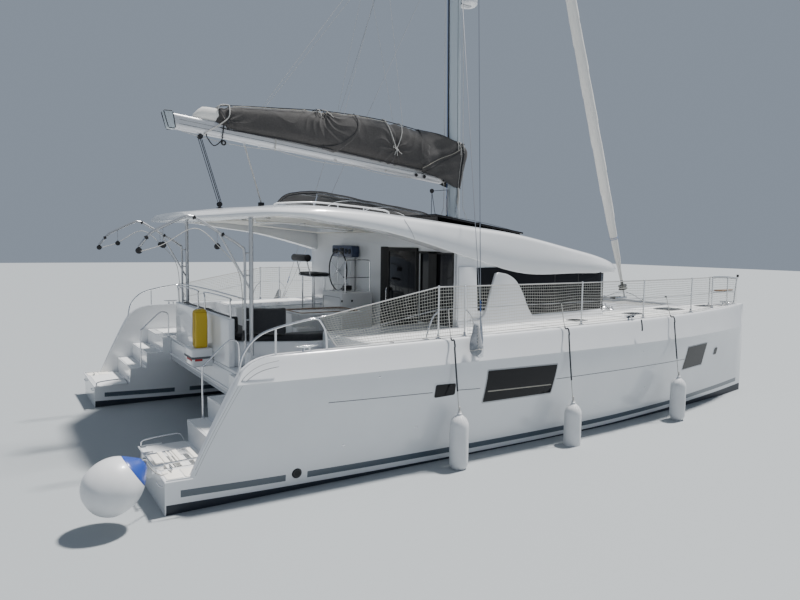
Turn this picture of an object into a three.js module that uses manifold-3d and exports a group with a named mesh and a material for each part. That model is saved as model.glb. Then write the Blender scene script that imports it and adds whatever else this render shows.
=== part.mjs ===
// Cruising catamaran with a bulkhead helm, a rigid top over the cockpit and a stowed rig.
// Millimetres, +X forward, +Y to port, +Z up, origin on the centreline at the waterline amidships.
import * as THREE from 'three';
import { mergeVertices } from 'three/addons/utils/BufferGeometryUtils.js';
import Module from 'manifold-3d';

const wasm = await Module();
wasm.setup();

// Driving dimensions
const STERN_X = -6400;
const BOW_X = 6400;
const HULL_Y = 2950; // centreplane of each hull
const INNER_W = 850; // flat inner side of a hull, measured from its centreplane
const DRAFT = 1250;
const MAST_TOP_Z = 20200;
const SEAM_Z = 1500; // joint of hull moulding and deck moulding
const SHEER_Z = 1890; // deck height at x = 0
const SHEER_SLOPE = 0.0145;
const GAP = 0.3; // assembly gap between pieces
const SOLE_Z = 1300; // cockpit and saloon floor
const TUNNEL_Z = 850; // underside of the bridgedeck
const BRIDGE_AFT_X = -5000;
const BRIDGE_FWD_X = 3900;
const BULKHEAD_X = -1600;
const CABIN_Y = 2800; // outside of the cabin sides
const WALL = 40;
const CABIN_CORNER_X = 1850;
const CABIN_NOSE_X = 2450;
const PLATFORM_Z = 430;
const BEAM_X = 5950; // forward crossbeam
const BEAM_Z = 1780;
const BEAM_R = 80;
const MAST_X = 420;
const MAST_Z = 3400;
const RAKE = 0.0175; // mast leans aft
const MAST_CHORD = 300;
const MAST_WIDTH = 180;
const BOOM_PIVOT = [160, 4600];
const BOOM_END = [-5500, 5200];
const STAY_FOOT = [6010, 1900];
const STAY_HEAD_Z = 19400;
const CHAINPLATE_X = -1950;
const RAIL_Y = 3660;
const RAIL_Z = 2610;
const RUDDER_X = -5620;
const DRIVE_X = -4560;
const DRIVE_Z = -780;
const WHEEL = { x: -1810, y: 1040, z: 2640, radius: 410 };
const LADDER = { x: -6445, z: 490, y0: -3230, y1: -2730, length: 560 };

const deckZ = (x) => SHEER_Z + SHEER_SLOPE * x;
const mastX = (z) => MAST_X - RAKE * (z - MAST_Z);

// Finishes
const paint = (color, roughness, metalness = 0) => new THREE.MeshStandardMaterial({ color, roughness, metalness });
const GELCOAT = paint(0xf1f3f4, 0.22);
const NONSKID = paint(0xdadcdb, 0.75);
const STEEL = paint(0xc9ccd0, 0.2, 1);
const ALUMINIUM = paint(0x9fa3a8, 0.4, 0.9);
const TINTED = paint(0x14181c, 0.05);
const DARK_CLOTH = paint(0x3b3e42, 0.9);
const SAILCLOTH = paint(0xd8cfc0, 0.85);
const NETTING = paint(0xb9b3a4, 0.9);
const WIRE = paint(0x8f9396, 0.35, 1);
const UPHOLSTERY = paint(0x9a948a, 0.9);
const WOOD = paint(0x9c7448, 0.6);
const BLACK = paint(0x17181a, 0.5);
const BRONZE = paint(0xa8803f, 0.35, 0.9);
const PRIMER = paint(0x2b2f33, 0.6);
const FENDER = paint(0xf4f4f2, 0.45);
const YELLOW_CASE = paint(0xe0a514, 0.6);

// Solids
function toSolid(geometry) {
  const bare = geometry.clone();
  bare.deleteAttribute('normal');
  bare.deleteAttribute('uv');
  const merged = mergeVertices(bare, 1e-3);
  return new wasm.Manifold(
    new wasm.Mesh({
      numProp: 3,
      vertProperties: new Float32Array(merged.getAttribute('position').array),
      triVerts: new Uint32Array(merged.getIndex().array),
    }),
  );
}

function toGeometry(solid) {
  const mesh = solid.getMesh();
  const geometry = new THREE.BufferGeometry();
  geometry.setAttribute('position', new THREE.BufferAttribute(new Float32Array(mesh.vertProperties), 3));
  geometry.setIndex(new THREE.BufferAttribute(new Uint32Array(mesh.triVerts), 1));
  geometry.computeVertexNormals();
  return geometry;
}

function moved(solid, x, y, z) {
  return toSolid(toGeometry(solid).translate(x, y, z));
}

function mirrored(solid) {
  const geometry = toGeometry(solid).scale(1, -1, 1);
  const index = geometry.getIndex();
  for (let i = 0; i < index.count; i += 3) {
    const first = index.getX(i);
    index.setX(i, index.getX(i + 2));
    index.setX(i + 2, first);
  }
  return toSolid(geometry);
}

const union = (solids) => solids.reduce((whole, solid) => whole.add(solid));

function box(x0, x1, y0, y1, z0, z1) {
  const geometry = new THREE.BoxGeometry(x1 - x0, y1 - y0, z1 - z0);
  return toSolid(geometry.translate((x0 + x1) / 2, (y0 + y1) / 2, (z0 + z1) / 2));
}

const outline = (points) => new THREE.Shape(points.map(([a, b]) => new THREE.Vector2(a, b)));
const extruded = (points, depth) => new THREE.ExtrudeGeometry(outline(points), { depth, bevelEnabled: false });

// Outline in X and Z, pushed across from y0 to y1
function prismY(points, y0, y1) {
  return toSolid(extruded(points, y1 - y0).rotateX(Math.PI / 2).translate(0, y1, 0));
}

// Outline in X and Y, pushed up from z0 to z1
function prismZ(points, z0, z1) {
  return toSolid(extruded(points, z1 - z0).translate(0, 0, z0));
}

// Outline in Y and Z, pushed forward from x0 to x1
function prismX(points, x0, x1) {
  const turn = new THREE.Matrix4().makeBasis(
    new THREE.Vector3(0, 1, 0),
    new THREE.Vector3(0, 0, 1),
    new THREE.Vector3(1, 0, 0),
  );
  return toSolid(extruded(points, x1 - x0).applyMatrix4(turn).translate(x0, 0, 0));
}

const UP = new THREE.Vector3(0, 1, 0);

// Straight rod between two points, with a radius at each end
function rod(from, to, r0, r1 = r0, sides = 8) {
  const a = new THREE.Vector3(...from);
  const b = new THREE.Vector3(...to);
  const geometry = new THREE.CylinderGeometry(r1, r0, a.distanceTo(b), sides);
  geometry.applyQuaternion(new THREE.Quaternion().setFromUnitVectors(UP, b.clone().sub(a).normalize()));
  const middle = a.add(b).multiplyScalar(0.5);
  return toSolid(geometry.translate(middle.x, middle.y, middle.z));
}

// Turned solid about the line from one point towards another; profile rows are [radius, distance]
function turned(profile, from, to, sides) {
  const a = new THREE.Vector3(...from);
  const direction = new THREE.Vector3(...to).sub(a).normalize();
  const points = profile.map(([r, d]) => new THREE.Vector2(r, d));
  const geometry = new THREE.LatheGeometry(points, sides);
  geometry.applyQuaternion(new THREE.Quaternion().setFromUnitVectors(UP, direction));
  return toSolid(geometry.translate(a.x, a.y, a.z));
}

// Closed skin over rings of equal length, each counter-clockwise seen from the last ring's side
function skin(rings, capTriangles) {
  const count = rings[0].length;
  const index = [];
  for (let r = 0; r + 1 < rings.length; r += 1) {
    for (let i = 0; i < count; i += 1) {
      const a = r * count + i;
      const b = r * count + ((i + 1) % count);
      index.push(a, b, b + count, a, b + count, a + count);
    }
  }
  const end = (rings.length - 1) * count;
  capTriangles(rings[0]).forEach(([i, j, k]) => index.push(i, k, j));
  capTriangles(rings[rings.length - 1]).forEach(([i, j, k]) => index.push(end + i, end + j, end + k));
  const geometry = new THREE.BufferGeometry();
  geometry.setAttribute('position', new THREE.Float32BufferAttribute(rings.flat(2), 3));
  geometry.setIndex(index);
  return toSolid(geometry);
}

// Loft through rings that are stacked along one axis (0, 1 or 2)
function loft(rings, axis = 0) {
  const u = (axis + 1) % 3;
  const v = (axis + 2) % 3;
  const flat = (ring) => ring.map((point) => new THREE.Vector2(point[u], point[v]));
  const leftTurn = (ring) => THREE.ShapeUtils.area(flat(ring)) > 0;
  const stack = leftTurn(rings[0]) ? rings : rings.map((ring) => [...ring].reverse());
  return skin(stack, (ring) => THREE.ShapeUtils.triangulateShape(flat(ring), []));
}

// Bent tube through points, mitred at each bend
function pipe(points, radius, sides = 8) {
  const path = points.map((point) => new THREE.Vector3(...point));
  const legs = path.slice(1).map((point, i) => point.clone().sub(path[i]).normalize());
  const turn = new THREE.Quaternion().setFromUnitVectors(new THREE.Vector3(0, 0, 1), legs[0]);
  let ring = Array.from({ length: sides }, (_, i) => {
    const angle = ((i + 0.5) * 2 * Math.PI) / sides;
    const onRing = new THREE.Vector3(radius * Math.cos(angle), radius * Math.sin(angle), 0);
    return onRing.applyQuaternion(turn).add(path[0]);
  });
  const rings = [ring];
  path.slice(1).forEach((corner, i) => {
    const normal = legs[i].clone().add(legs[Math.min(i + 1, legs.length - 1)]).normalize();
    ring = ring.map((point) => {
      const reach = corner.clone().sub(point).dot(normal) / legs[i].dot(normal);
      return point.clone().addScaledVector(legs[i], reach);
    });
    rings.push(ring);
  });
  const fan = (points3) => points3.slice(2).map((_, i) => [0, i + 1, i + 2]);
  return skin(rings.map((points3) => points3.map((point) => point.toArray())), fan);
}

// Smooth value of a column at x, through the rows of a table whose first column is x
function along(table, column, x) {
  const last = table.length - 1;
  const at = Math.max(0, Math.min(last - 1, table.findIndex((row) => row[0] >= x) - 1));
  const slope = (i) => {
    const low = table[Math.max(0, i - 1)];
    const high = table[Math.min(last, i + 1)];
    return (high[column] - low[column]) / (high[0] - low[0]);
  };
  const [a, b] = [table[at], table[at + 1]];
  const span = b[0] - a[0];
  const t = (x - a[0]) / span;
  const h00 = (1 + 2 * t) * (1 - t) ** 2;
  const h10 = t * (1 - t) ** 2;
  const h01 = t * t * (3 - 2 * t);
  const h11 = t * t * (t - 1);
  return h00 * a[column] + h10 * span * slope(at) + h01 * b[column] + h11 * span * slope(at + 1);
}

const boat = new THREE.Group();

function add(name, solid, material) {
  const mesh = new THREE.Mesh(toGeometry(solid), material.clone());
  mesh.name = name;
  boat.add(mesh);
  return solid;
}

function addPair(name, solid, material, cutters = []) {
  const trimmed = (side) => cutters.reduce((rest, cut) => rest.subtract(cut), side);
  const [starboard, port] = [solid, mirrored(solid)].map(trimmed);
  add(`${name}_starboard`, starboard, material);
  add(`${name}_port`, port, material);
  return [starboard, port];
}

// Hulls. Widths are from the hull's own centreplane; column inner is the top of the inner side.
// Columns: x, keel, waterline, side, deck, inner
const STATIONS = [
  [STERN_X, -50, 655, 720, 780, INNER_W],
  [-5000, -290, 650, 820, 858, INNER_W],
  [-2500, -500, 640, 872, 898, INNER_W],
  [1000, -560, 590, 862, 896, INNER_W],
  [3000, -500, 440, 728, 790, INNER_W],
  [BRIDGE_FWD_X, -440, 345, 590, 672, INNER_W],
  [5200, -300, 190, 350, 430, 520],
  [6100, -170, 62, 128, 170, 190],
  [BOW_X, -110, 14, 22, 28, 28],
];
const STATION_XS = [
  -6400, -5900, -5400, -4900, -4300, -3600, -2800, -1900, -900, 200, 1200, 2100, 2900, 3500, 3900, 4300, 4700, 5100,
  5500, 5850, 6150, 6320, 6400,
];
const hullY = (w) => -HULL_Y - w;

function hullRing(x) {
  const [keel, waterline, side, deck, inner] = [1, 2, 3, 4, 5].map((column) => along(STATIONS, column, x));
  const top = Math.min(inner, INNER_W);
  const foot = Math.min(waterline * 1.02, top);
  const profile = [
    [deck - 14, SEAM_Z],
    [side, 1150],
    [waterline + (side - waterline) * 0.3, 320],
    [waterline, 0],
    [waterline * 0.84, keel * 0.5],
    [waterline * 0.5, keel * 0.9],
    [waterline * 0.16, keel],
    [-waterline * 0.16, keel],
    [-waterline * 0.5, keel * 0.9],
    [-waterline * 0.84, keel * 0.5],
    [-foot, 0],
    [-foot - (top - foot) * 0.45, 420],
    [-top, TUNNEL_Z],
    [-top, SEAM_Z],
  ];
  return profile.map(([w, z]) => [x, hullY(w), z]);
}

function deckRing(x) {
  const deck = along(STATIONS, 4, x);
  const inner = Math.min(along(STATIONS, 5, x), INNER_W);
  const top = deckZ(x);
  const lip = Math.min(1, deck / 160);
  const profile = [
    [deck, SEAM_Z + GAP],
    [deck, top - 110 * lip],
    [deck - 26 * lip, top - 34 * lip],
    [deck - 100 * lip, top],
    [-inner, top],
    [-inner, SEAM_Z + GAP],
  ];
  return profile.map(([w, z]) => [x, hullY(w), z]);
}

// Stern: the topsides slope down to the bathing platform, with steps inside the bulwark
const BULWARK_W = 640;
const STERN_SLOPE = [
  [-6700, PLATFORM_Z],
  [-6110, PLATFORM_Z],
  [-5860, 960],
  [-5560, 1530],
  [-5430, 1690],
  [-5260, 1780],
  [-5050, deckZ(-5050)],
  [-5050, 2600],
  [-6700, 2600],
];
// Columns: forward end of tread, tread height
const STEPS = [
  [-5760, PLATFORM_Z],
  [-5460, 720],
  [-5150, 1010],
  [-3950, SOLE_Z],
  [-3650, 1570],
];
const ENGINE_LID = { x0: -5040, x1: -4110, y0: -3440, y1: -2310, thick: 30, edge: 5 };
const ENGINE_BAY = { x0: -4980, x1: -4170, y0: -3370, y1: -2400, z0: 250 };

function sternCutter() {
  const slope = prismY(STERN_SLOPE, -4200, -1900);
  const treads = STEPS.map(([x1, z]) => box(-6700, x1, hullY(BULWARK_W), -1900, z, 2600));
  const lid = ENGINE_LID;
  const { x0, x1, y0, y1, edge } = lid;
  const recess = box(x0 - edge, x1 + edge, y0 - edge, y1 + edge, SOLE_Z - lid.thick - GAP, 1600);
  const bay = box(ENGINE_BAY.x0, ENGINE_BAY.x1, ENGINE_BAY.y0, ENGINE_BAY.y1, ENGINE_BAY.z0, 1600);
  return union([slope, ...treads, recess, bay]);
}

const cutter = sternCutter();
const innerLimit = box(-7000, 7000, -5000, -HULL_Y + INNER_W, -2000, 3000);
const rudderBore = rod([RUDDER_X, -HULL_Y, -900], [RUDDER_X, -HULL_Y, 262], 30.9, 30.9, 16);
const hullSolid = loft(STATION_XS.map(hullRing)).intersect(innerLimit).subtract(cutter).subtract(rudderBore);
const ladderLug = (y0) => box(LADDER.x - 25, STERN_X + 70, y0, y0 + 12, PLATFORM_Z - 15, LADDER.z + 25);
const ladderLugs = ladderLug(LADDER.y0 - 57).add(ladderLug(LADDER.y1 + 45));
const deckSolid = loft(STATION_XS.map(deckRing)).intersect(innerLimit).subtract(cutter);
const hullStarboard = add('hull_starboard', hullSolid.add(ladderLugs), GELCOAT);
add('hull_port', mirrored(hullSolid), GELCOAT);
const [deckStarboard, deckPort] = addPair('deck', deckSolid, GELCOAT);

// Below the hulls
const foil = (chord, thick, x, y, z) =>
  [0, 0.04, 0.25, 0.6, 1, 0.6, 0.25, 0.04].map((part, i) => {
    const half = [0, 0.24, 0.5, 0.38, 0, -0.38, -0.5, -0.24][i];
    return [x + chord * (0.5 - part), y + thick * half, z];
  });
const hullBelow = moved(hullStarboard, 0, 0, -GAP);

const keelFin = loft([foil(1750, 210, 150, -HULL_Y, -DRAFT), foil(2250, 300, 150, -HULL_Y, -380)], 2);
addPair('keel', keelFin.subtract(hullBelow), GELCOAT);

const RUDDER_TOP = -250;
const rudderBlade = loft(
  [foil(300, 46, RUDDER_X - 30, -HULL_Y, -1130), foil(430, 72, RUDDER_X - 40, -HULL_Y, RUDDER_TOP)],
  2,
);
const rudderStock = rod([RUDDER_X, -HULL_Y, -700], [RUDDER_X, -HULL_Y, 255], 30, 30, 16);
addPair('rudder', rudderBlade.add(rudderStock), GELCOAT);

const leg = loft([foil(230, 90, DRIVE_X, -HULL_Y, DRIVE_Z), foil(360, 130, DRIVE_X + 40, -HULL_Y, -60)], 2);
const gearcase = turned(
  [[0, 0], [52, 0], [58, 60], [60, 300], [38, 400], [0, 430]],
  [DRIVE_X - 210, -HULL_Y, DRIVE_Z],
  [DRIVE_X, -HULL_Y, DRIVE_Z],
  12,
);
const shaftHole = rod([DRIVE_X - 240, -HULL_Y, DRIVE_Z], [DRIVE_X - 130, -HULL_Y, DRIVE_Z], 15.85, 15.85, 12);
addPair('saildrive', leg.subtract(hullBelow).add(gearcase).subtract(shaftHole), ALUMINIUM);

function propeller() {
  const hubX = DRIVE_X - 300;
  const hubShape = [[0, 0], [30, 12], [46, 40], [50, 84], [0, 84]];
  const hub = turned(hubShape, [hubX, -HULL_Y, DRIVE_Z], [0, -HULL_Y, DRIVE_Z], 12);
  const shaft = rod([hubX + 40, -HULL_Y, DRIVE_Z], [DRIVE_X - 134, -HULL_Y, DRIVE_Z], 15, 15, 12);
  const blades = [0, 1, 2].map((i) => {
    const blade = new THREE.SphereGeometry(1, 10, 6).scale(6, 58, 90);
    blade.rotateZ(0.55).translate(0, 0, 120).rotateX((i * 2 * Math.PI) / 3);
    return toSolid(blade.translate(hubX + 46, -HULL_Y, DRIVE_Z));
  });
  return union([hub, shaft, ...blades]);
}
addPair('propeller', propeller(), BRONZE);

const bay = ENGINE_BAY;
addPair('engine', box(-4900, -4250, -3200, -2700, bay.z0 + GAP, 820), PRIMER);
const lid = ENGINE_LID;
addPair('engine_lid', box(lid.x0, lid.x1, lid.y0, lid.y1, SOLE_Z - lid.thick, SOLE_Z), NONSKID);

// Bridgedeck with the cockpit and saloon sole, the foredeck and its two lockers
const BRIDGE_Y = HULL_Y - INNER_W - GAP;
const FOREDECK_X = 1650;
const LOCKER = { x0: 2760, x1: 3660, y0: 230, y1: 1230, z0: 1250, thick: 30, edge: 5, ledge: 40 };
const BRIDGE_PROFILE = [
  [BRIDGE_AFT_X, TUNNEL_Z],
  [2600, TUNNEL_Z],
  [BRIDGE_FWD_X, 1200],
  [BRIDGE_FWD_X, deckZ(BRIDGE_FWD_X)],
  [FOREDECK_X, deckZ(FOREDECK_X)],
  [FOREDECK_X, SOLE_Z],
  [BRIDGE_AFT_X, SOLE_Z],
];
const deckSlab = (x0, x1, y0, y1, below, above) =>
  prismY(
    [[x0, deckZ(x0) - below], [x1, deckZ(x1) - below], [x1, deckZ(x1) + above], [x0, deckZ(x0) + above]],
    y0,
    y1,
  );
const lockerLid = deckSlab(LOCKER.x0, LOCKER.x1, -LOCKER.y1, -LOCKER.y0, LOCKER.thick, 0);
const lockerHole = union([
  deckSlab(
    LOCKER.x0 - LOCKER.edge,
    LOCKER.x1 + LOCKER.edge,
    -LOCKER.y1 - LOCKER.edge,
    -LOCKER.y0 + LOCKER.edge,
    LOCKER.thick + GAP,
    200,
  ),
  box(
    LOCKER.x0 + LOCKER.ledge,
    LOCKER.x1 - LOCKER.ledge,
    -LOCKER.y1 + LOCKER.ledge,
    -LOCKER.y0 - LOCKER.ledge,
    LOCKER.z0,
    2100,
  ),
]);
const bridgedeck = add(
  'bridgedeck',
  prismY(BRIDGE_PROFILE, -BRIDGE_Y, BRIDGE_Y).subtract(lockerHole).subtract(mirrored(lockerHole)),
  GELCOAT,
);
addPair('locker_lid', lockerLid, NONSKID);

// Rigid top over cockpit and saloon. Columns: x, half width, upper edge, lower edge
const TOP_ROWS = [
  [-5500, 1250, 3630, 3555],
  [-5400, 1450, 3640, 3558],
  [-5120, 1880, 3665, 3568],
  [-4860, 2300, 3690, 3578],
  [-4600, 2640, 3705, 3588],
  [-4250, 2790, 3720, 3570],
  [-3900, 2830, 3725, 3520],
  [-3090, 2840, 3675, 3420],
  [-2590, 2850, 3630, 3320],
  [-1970, 2850, 3575, 3165],
  [-1310, 2850, 3510, 2990],
  [-150, 2850, 3390, 2730],
  [1200, 2840, 3150, 2715],
  [1950, 2800, 3010, 2710],
  [2550, 2560, 2880, 2710],
  [2860, 2100, 2800, 2712],
  [3000, 1300, 2765, 2714],
];
const CROWN = 150;

function topRing([x, half, upper, lower]) {
  const crown = CROWN * Math.min(1, (upper - lower) / 250);
  const right = [
    [half - 20, lower],
    [half, lower + (upper - lower) * 0.35],
    [half - 60, upper - 12],
    [half - 170, upper + crown * 0.12],
    [half * 0.62, upper + crown * 0.7],
    [half * 0.25, upper + crown * 0.97],
  ];
  const left = [...right].reverse().map(([y, z]) => [-y, z]);
  return [...right, ...left].map(([y, z]) => [x, y, z]);
}

const ROOF_THICK = 110;
const HELM_HATCH = { x0: -3250, x1: -1800, y0: 500, y1: 1980 };
const CEILING = [
  [-4600, 2500],
  ...TOP_ROWS.filter(([x]) => x > -4700 && x < 1900).map(([x, , upper]) => [x, upper - ROOF_THICK]),
  [1950, 2900],
  [2300, 2760],
  [2300, 2500],
];
const { x0: hatchAft, x1: hatchFore, y0: hatchIn, y1: hatchOut } = HELM_HATCH;
const hardtop = add(
  'hardtop',
  loft(TOP_ROWS.map(topRing))
    .subtract(prismY(CEILING, -2480, 2480))
    .subtract(box(hatchAft, hatchFore, hatchIn, hatchOut, 3000, 4200)),
  GELCOAT,
);
const underTop = moved(hardtop, 0, 0, -GAP);
const overTop = moved(hardtop, 0, 0, GAP);
const overDeck = union([moved(deckStarboard, 0, 0, GAP), moved(deckPort, 0, 0, GAP)]);
const overBridge = moved(bridgedeck, 0, 0, GAP);

// Cabin sides with two windows each
const SIDE_WALL = [
  [BULKHEAD_X + WALL / 2 + GAP, 1700],
  [CABIN_CORNER_X - GAP, 1700],
  [CABIN_CORNER_X - GAP, 2820],
  [-150, 2860],
  [-1310, 3200],
  [BULKHEAD_X + WALL / 2 + GAP, 3240],
];
const FORWARD_WINDOW = [[-20, 2020], [1760, 2020], [1760, 2660], [-290, 2680]];
const AFT_WINDOW = [[-1420, 2130], [-880, 2130], [-800, 2730], [-1420, 2860]];
const wallY = [-CABIN_Y, -CABIN_Y + WALL];
const paneY = [-CABIN_Y + WALL + GAP, -CABIN_Y + WALL + 9];
const sideWall = prismY(SIDE_WALL, ...wallY)
  .subtract(prismY(FORWARD_WINDOW, -3000, -2600))
  .subtract(prismY(AFT_WINDOW, -3000, -2600));
addPair('cabin_side', sideWall, GELCOAT, [overDeck, underTop]);

const SIDE_PANE = [
  [BULKHEAD_X + WALL, 1980],
  [CABIN_CORNER_X - WALL, 1980],
  [CABIN_CORNER_X - WALL, 2820],
  [-150, 2860],
  [-1310, 3150],
  [BULKHEAD_X + WALL, 3150],
];
addPair('side_glass', prismY(SIDE_PANE, ...paneY), TINTED, [underTop]);

// Cabin front: a faceted wall in plan, with one band of glass
const frontLine = (inset) => [
  [CABIN_CORNER_X, -CABIN_Y + inset],
  [2200 - inset * 0.8, -2450 + inset * 0.8],
  [2380 - inset, -1500],
  [CABIN_NOSE_X - inset, -500],
  [CABIN_NOSE_X - inset, 500],
  [2380 - inset, 1500],
  [2200 - inset * 0.8, 2450 - inset * 0.8],
  [CABIN_CORNER_X, CABIN_Y - inset],
];
const frontBand = (outer, inner, z0, z1) => prismZ([...frontLine(outer), ...frontLine(inner).reverse()], z0, z1);
const FRONT_SILL = 2040;
const FRONT_HEAD = 2640;
const frontWindow = frontBand(-60, 120, FRONT_SILL, FRONT_HEAD).intersect(box(1960, 3000, -2660, 2660, 1900, 3000));
const frontWall = frontBand(0, WALL, 1700, 2800).subtract(overDeck).subtract(overBridge).subtract(underTop);
add('cabin_front', frontWall.subtract(frontWindow), GELCOAT);
const frontPane = frontBand(14, 24, FRONT_SILL + GAP, FRONT_HEAD - GAP);
add('front_glass', frontPane.intersect(box(1960 + GAP, 3000, -2660 + GAP, 2660 - GAP, 1900, 3000)), TINTED);

// Bulkhead between cockpit and saloon, with the sliding door and a fixed pane
const DOOR = { y0: -1700, y1: -760, z0: 1345, z1: 3120, thick: 30, lap: 30 };
const PANE = { y0: -2720, y1: -1760, z0: 1900, z1: 3060 };
const BULKHEAD = [
  [-BRIDGE_Y, SOLE_Z + GAP],
  [BRIDGE_Y, SOLE_Z + GAP],
  [BRIDGE_Y, 1700],
  [CABIN_Y - WALL - GAP, 1700],
  [CABIN_Y - WALL - GAP, 3440],
  [-CABIN_Y + WALL + GAP, 3440],
  [-CABIN_Y + WALL + GAP, 1700],
  [-BRIDGE_Y, 1700],
];
const through = ({ y0, y1, z0, z1 }) => box(BULKHEAD_X - 200, BULKHEAD_X + 200, y0, y1, z0, z1);
const paneIn = ({ y0, y1, z0, z1 }) => box(BULKHEAD_X - 5, BULKHEAD_X + 5, y0 + GAP, y1 - GAP, z0 + GAP, z1 - GAP);
const doorX = BULKHEAD_X - WALL / 2 - 5;
const doorBottom = SOLE_Z + 6;
const doorRail = box(doorX - DOOR.thick, BULKHEAD_X, DOOR.y0 - 35, 220, SOLE_Z + GAP, doorBottom - GAP);
add(
  'aft_bulkhead',
  prismX(BULKHEAD, BULKHEAD_X - WALL / 2, BULKHEAD_X + WALL / 2)
    .subtract(through(DOOR))
    .subtract(through(PANE))
    .subtract(overDeck)
    .subtract(underTop)
    .add(doorRail),
  GELCOAT,
);
add('bulkhead_pane', paneIn(PANE), TINTED);
const doorLeaf = box(
  doorX - DOOR.thick,
  doorX,
  DOOR.y0 - DOOR.lap,
  DOOR.y1 + DOOR.lap,
  doorBottom,
  DOOR.z1 + DOOR.lap,
);
add('saloon_door', doorLeaf, TINTED);

// Saloon furniture
const sofa = prismZ(
  [[500, 350], [1600, 350], [1600, 2050], [-1250, 2050], [-1250, 1450], [950, 1450], [950, 950], [500, 950]],
  SOLE_Z + GAP,
  1740,
);
add('saloon_sofa', sofa, UPHOLSTERY);
const tableLeg = box(-120, 40, 960, 1120, SOLE_Z + GAP, 2010);
add('saloon_table', tableLeg.add(box(-650, 480, 700, 1380, 2005, 2040)), WOOD);
add('galley', box(-1200, 1500, -2050, -1500, SOLE_Z + GAP, 2200), WOOD);

// Cockpit furniture
const BENCH_TOP = 1690;
const bench = prismZ(
  [
    [-4930, -1550],
    [-3850, -2080],
    [-1950, -2080],
    [-1950, -1560],
    [-4330, -1560],
    [-4330, 1500],
    [-4930, 1500],
  ],
  SOLE_Z + GAP,
  BENCH_TOP,
);
const benchBack = box(BRIDGE_AFT_X, -4900, -1640, 1640, SOLE_Z + GAP, 2050);
add('cockpit_bench', bench.add(benchBack), GELCOAT);
const cushionSeat = prismZ(
  [
    [-4890, -1560],
    [-3830, -2070],
    [-1970, -2070],
    [-1970, -1600],
    [-4350, -1600],
    [-4350, 1480],
    [-4890, 1480],
  ],
  BENCH_TOP + GAP,
  BENCH_TOP + 100,
);
add('bench_cushion', cushionSeat, DARK_CLOTH);
const cockpitLeg = rod([-3100, -900, SOLE_Z + GAP], [-3100, -900, 2010], 60, 60, 12);
add('cockpit_table', cockpitLeg.add(box(-3700, -2500, -1300, -500, 2000, 2035)), GELCOAT);

// Helm station on the port side of the bulkhead: floor, step, locker, console, and a seat on tube legs
const HELM_FLOOR = 1840;
const HELM_BOX_TOP = 2320;
const SEAT_Z = 2560;
const SEAT_LEGS = [[-2620, 660], [-2620, 1150], [-2360, 660], [-2360, 1150]];
const helmBase = box(-3050, -1640, 560, 2080, SOLE_Z + GAP, HELM_FLOOR);
const helmStep = box(-3050, -2650, 300, 565, SOLE_Z + GAP, 1570);
const helmBox = box(-2400, -1730, -300, 565, SOLE_Z + GAP, HELM_BOX_TOP);
const console = prismY(
  [[-1640, HELM_FLOOR - 10], [-1760, HELM_FLOOR - 10], [-1740, 2850], [-1640, 3080]],
  WHEEL.y - 440,
  WHEEL.y + 440,
);
const seatLegs = SEAT_LEGS.map(([x, y]) => rod([x, y, HELM_FLOOR - 10], [x, y, SEAT_Z + 5], 16, 16, 8));
const seatPad = box(-2700, -2290, 560, 1250, SEAT_Z, SEAT_Z + 70);
const seatStays = [660, 1150].map((y) => rod([-2660, y, SEAT_Z + 40], [-2745, y, 2900], 13, 13, 8));
const seatRoll = rod([-2750, 560, 2915], [-2750, 1250, 2915], 68, 68, 12);
const wheelHole = rod([-1800, WHEEL.y, WHEEL.z], [-1700, WHEEL.y, WHEEL.z], 20.7, 20.7, 16);
const helmParts = [helmBase, helmStep, helmBox, console, ...seatLegs, seatPad, ...seatStays, seatRoll];
add('helm_station', union(helmParts).subtract(wheelHole), GELCOAT);

function steeringWheel() {
  const centre = new THREE.Vector3(WHEEL.x, WHEEL.y, WHEEL.z);
  const rim = new THREE.TorusGeometry(WHEEL.radius, 15, 8, 32).rotateY(Math.PI / 2).translate(...centre);
  const spokes = [0, 1, 2, 3, 4].map((i) => {
    const angle = Math.PI / 2 + (i * 2 * Math.PI) / 5;
    const tip = [WHEEL.x, WHEEL.y + Math.cos(angle) * WHEEL.radius, WHEEL.z + Math.sin(angle) * WHEEL.radius];
    return rod([WHEEL.x, WHEEL.y, WHEEL.z], tip, 9, 9, 6);
  });
  const hub = rod([WHEEL.x - 25, WHEEL.y, WHEEL.z], [WHEEL.x + 25, WHEEL.y, WHEEL.z], 45, 45, 12);
  const shaft = rod([WHEEL.x, WHEEL.y, WHEEL.z], [-1703, WHEEL.y, WHEEL.z], 20, 20, 16);
  return union([toSolid(rim), hub, shaft, ...spokes]);
}
add('helm_wheel', steeringWheel(), BLACK);

// Fabric canopy over the helm, on a bent tube frame that stands on the rigid top
const CANOPY_ARCH = [
  [-2850, 4050],
  [-2620, 4170],
  [-2350, 4215],
  [-1830, 4140],
  [-860, 4020],
  [-50, 3884],
  [280, 3765],
];
const canopyLine = (drop) => CANOPY_ARCH.map(([x, z]) => [x, z - drop]);
const canopy = prismY([...canopyLine(0), ...canopyLine(22).reverse()], 420, 2060);
add('helm_canopy', canopy, DARK_CLOTH);
const roofZ = (x) => along(TOP_ROWS, 2, x);
const hoop = ([x, z], footX) =>
  pipe(
    [
      [footX, 400, roofZ(footX) + 20],
      [x, 460, z - 60],
      [x, 520, z - 35.6],
      [x, 1960, z - 35.6],
      [x, 2020, z - 60],
      [footX, 2080, roofZ(footX)],
    ],
    13,
  );
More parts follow.
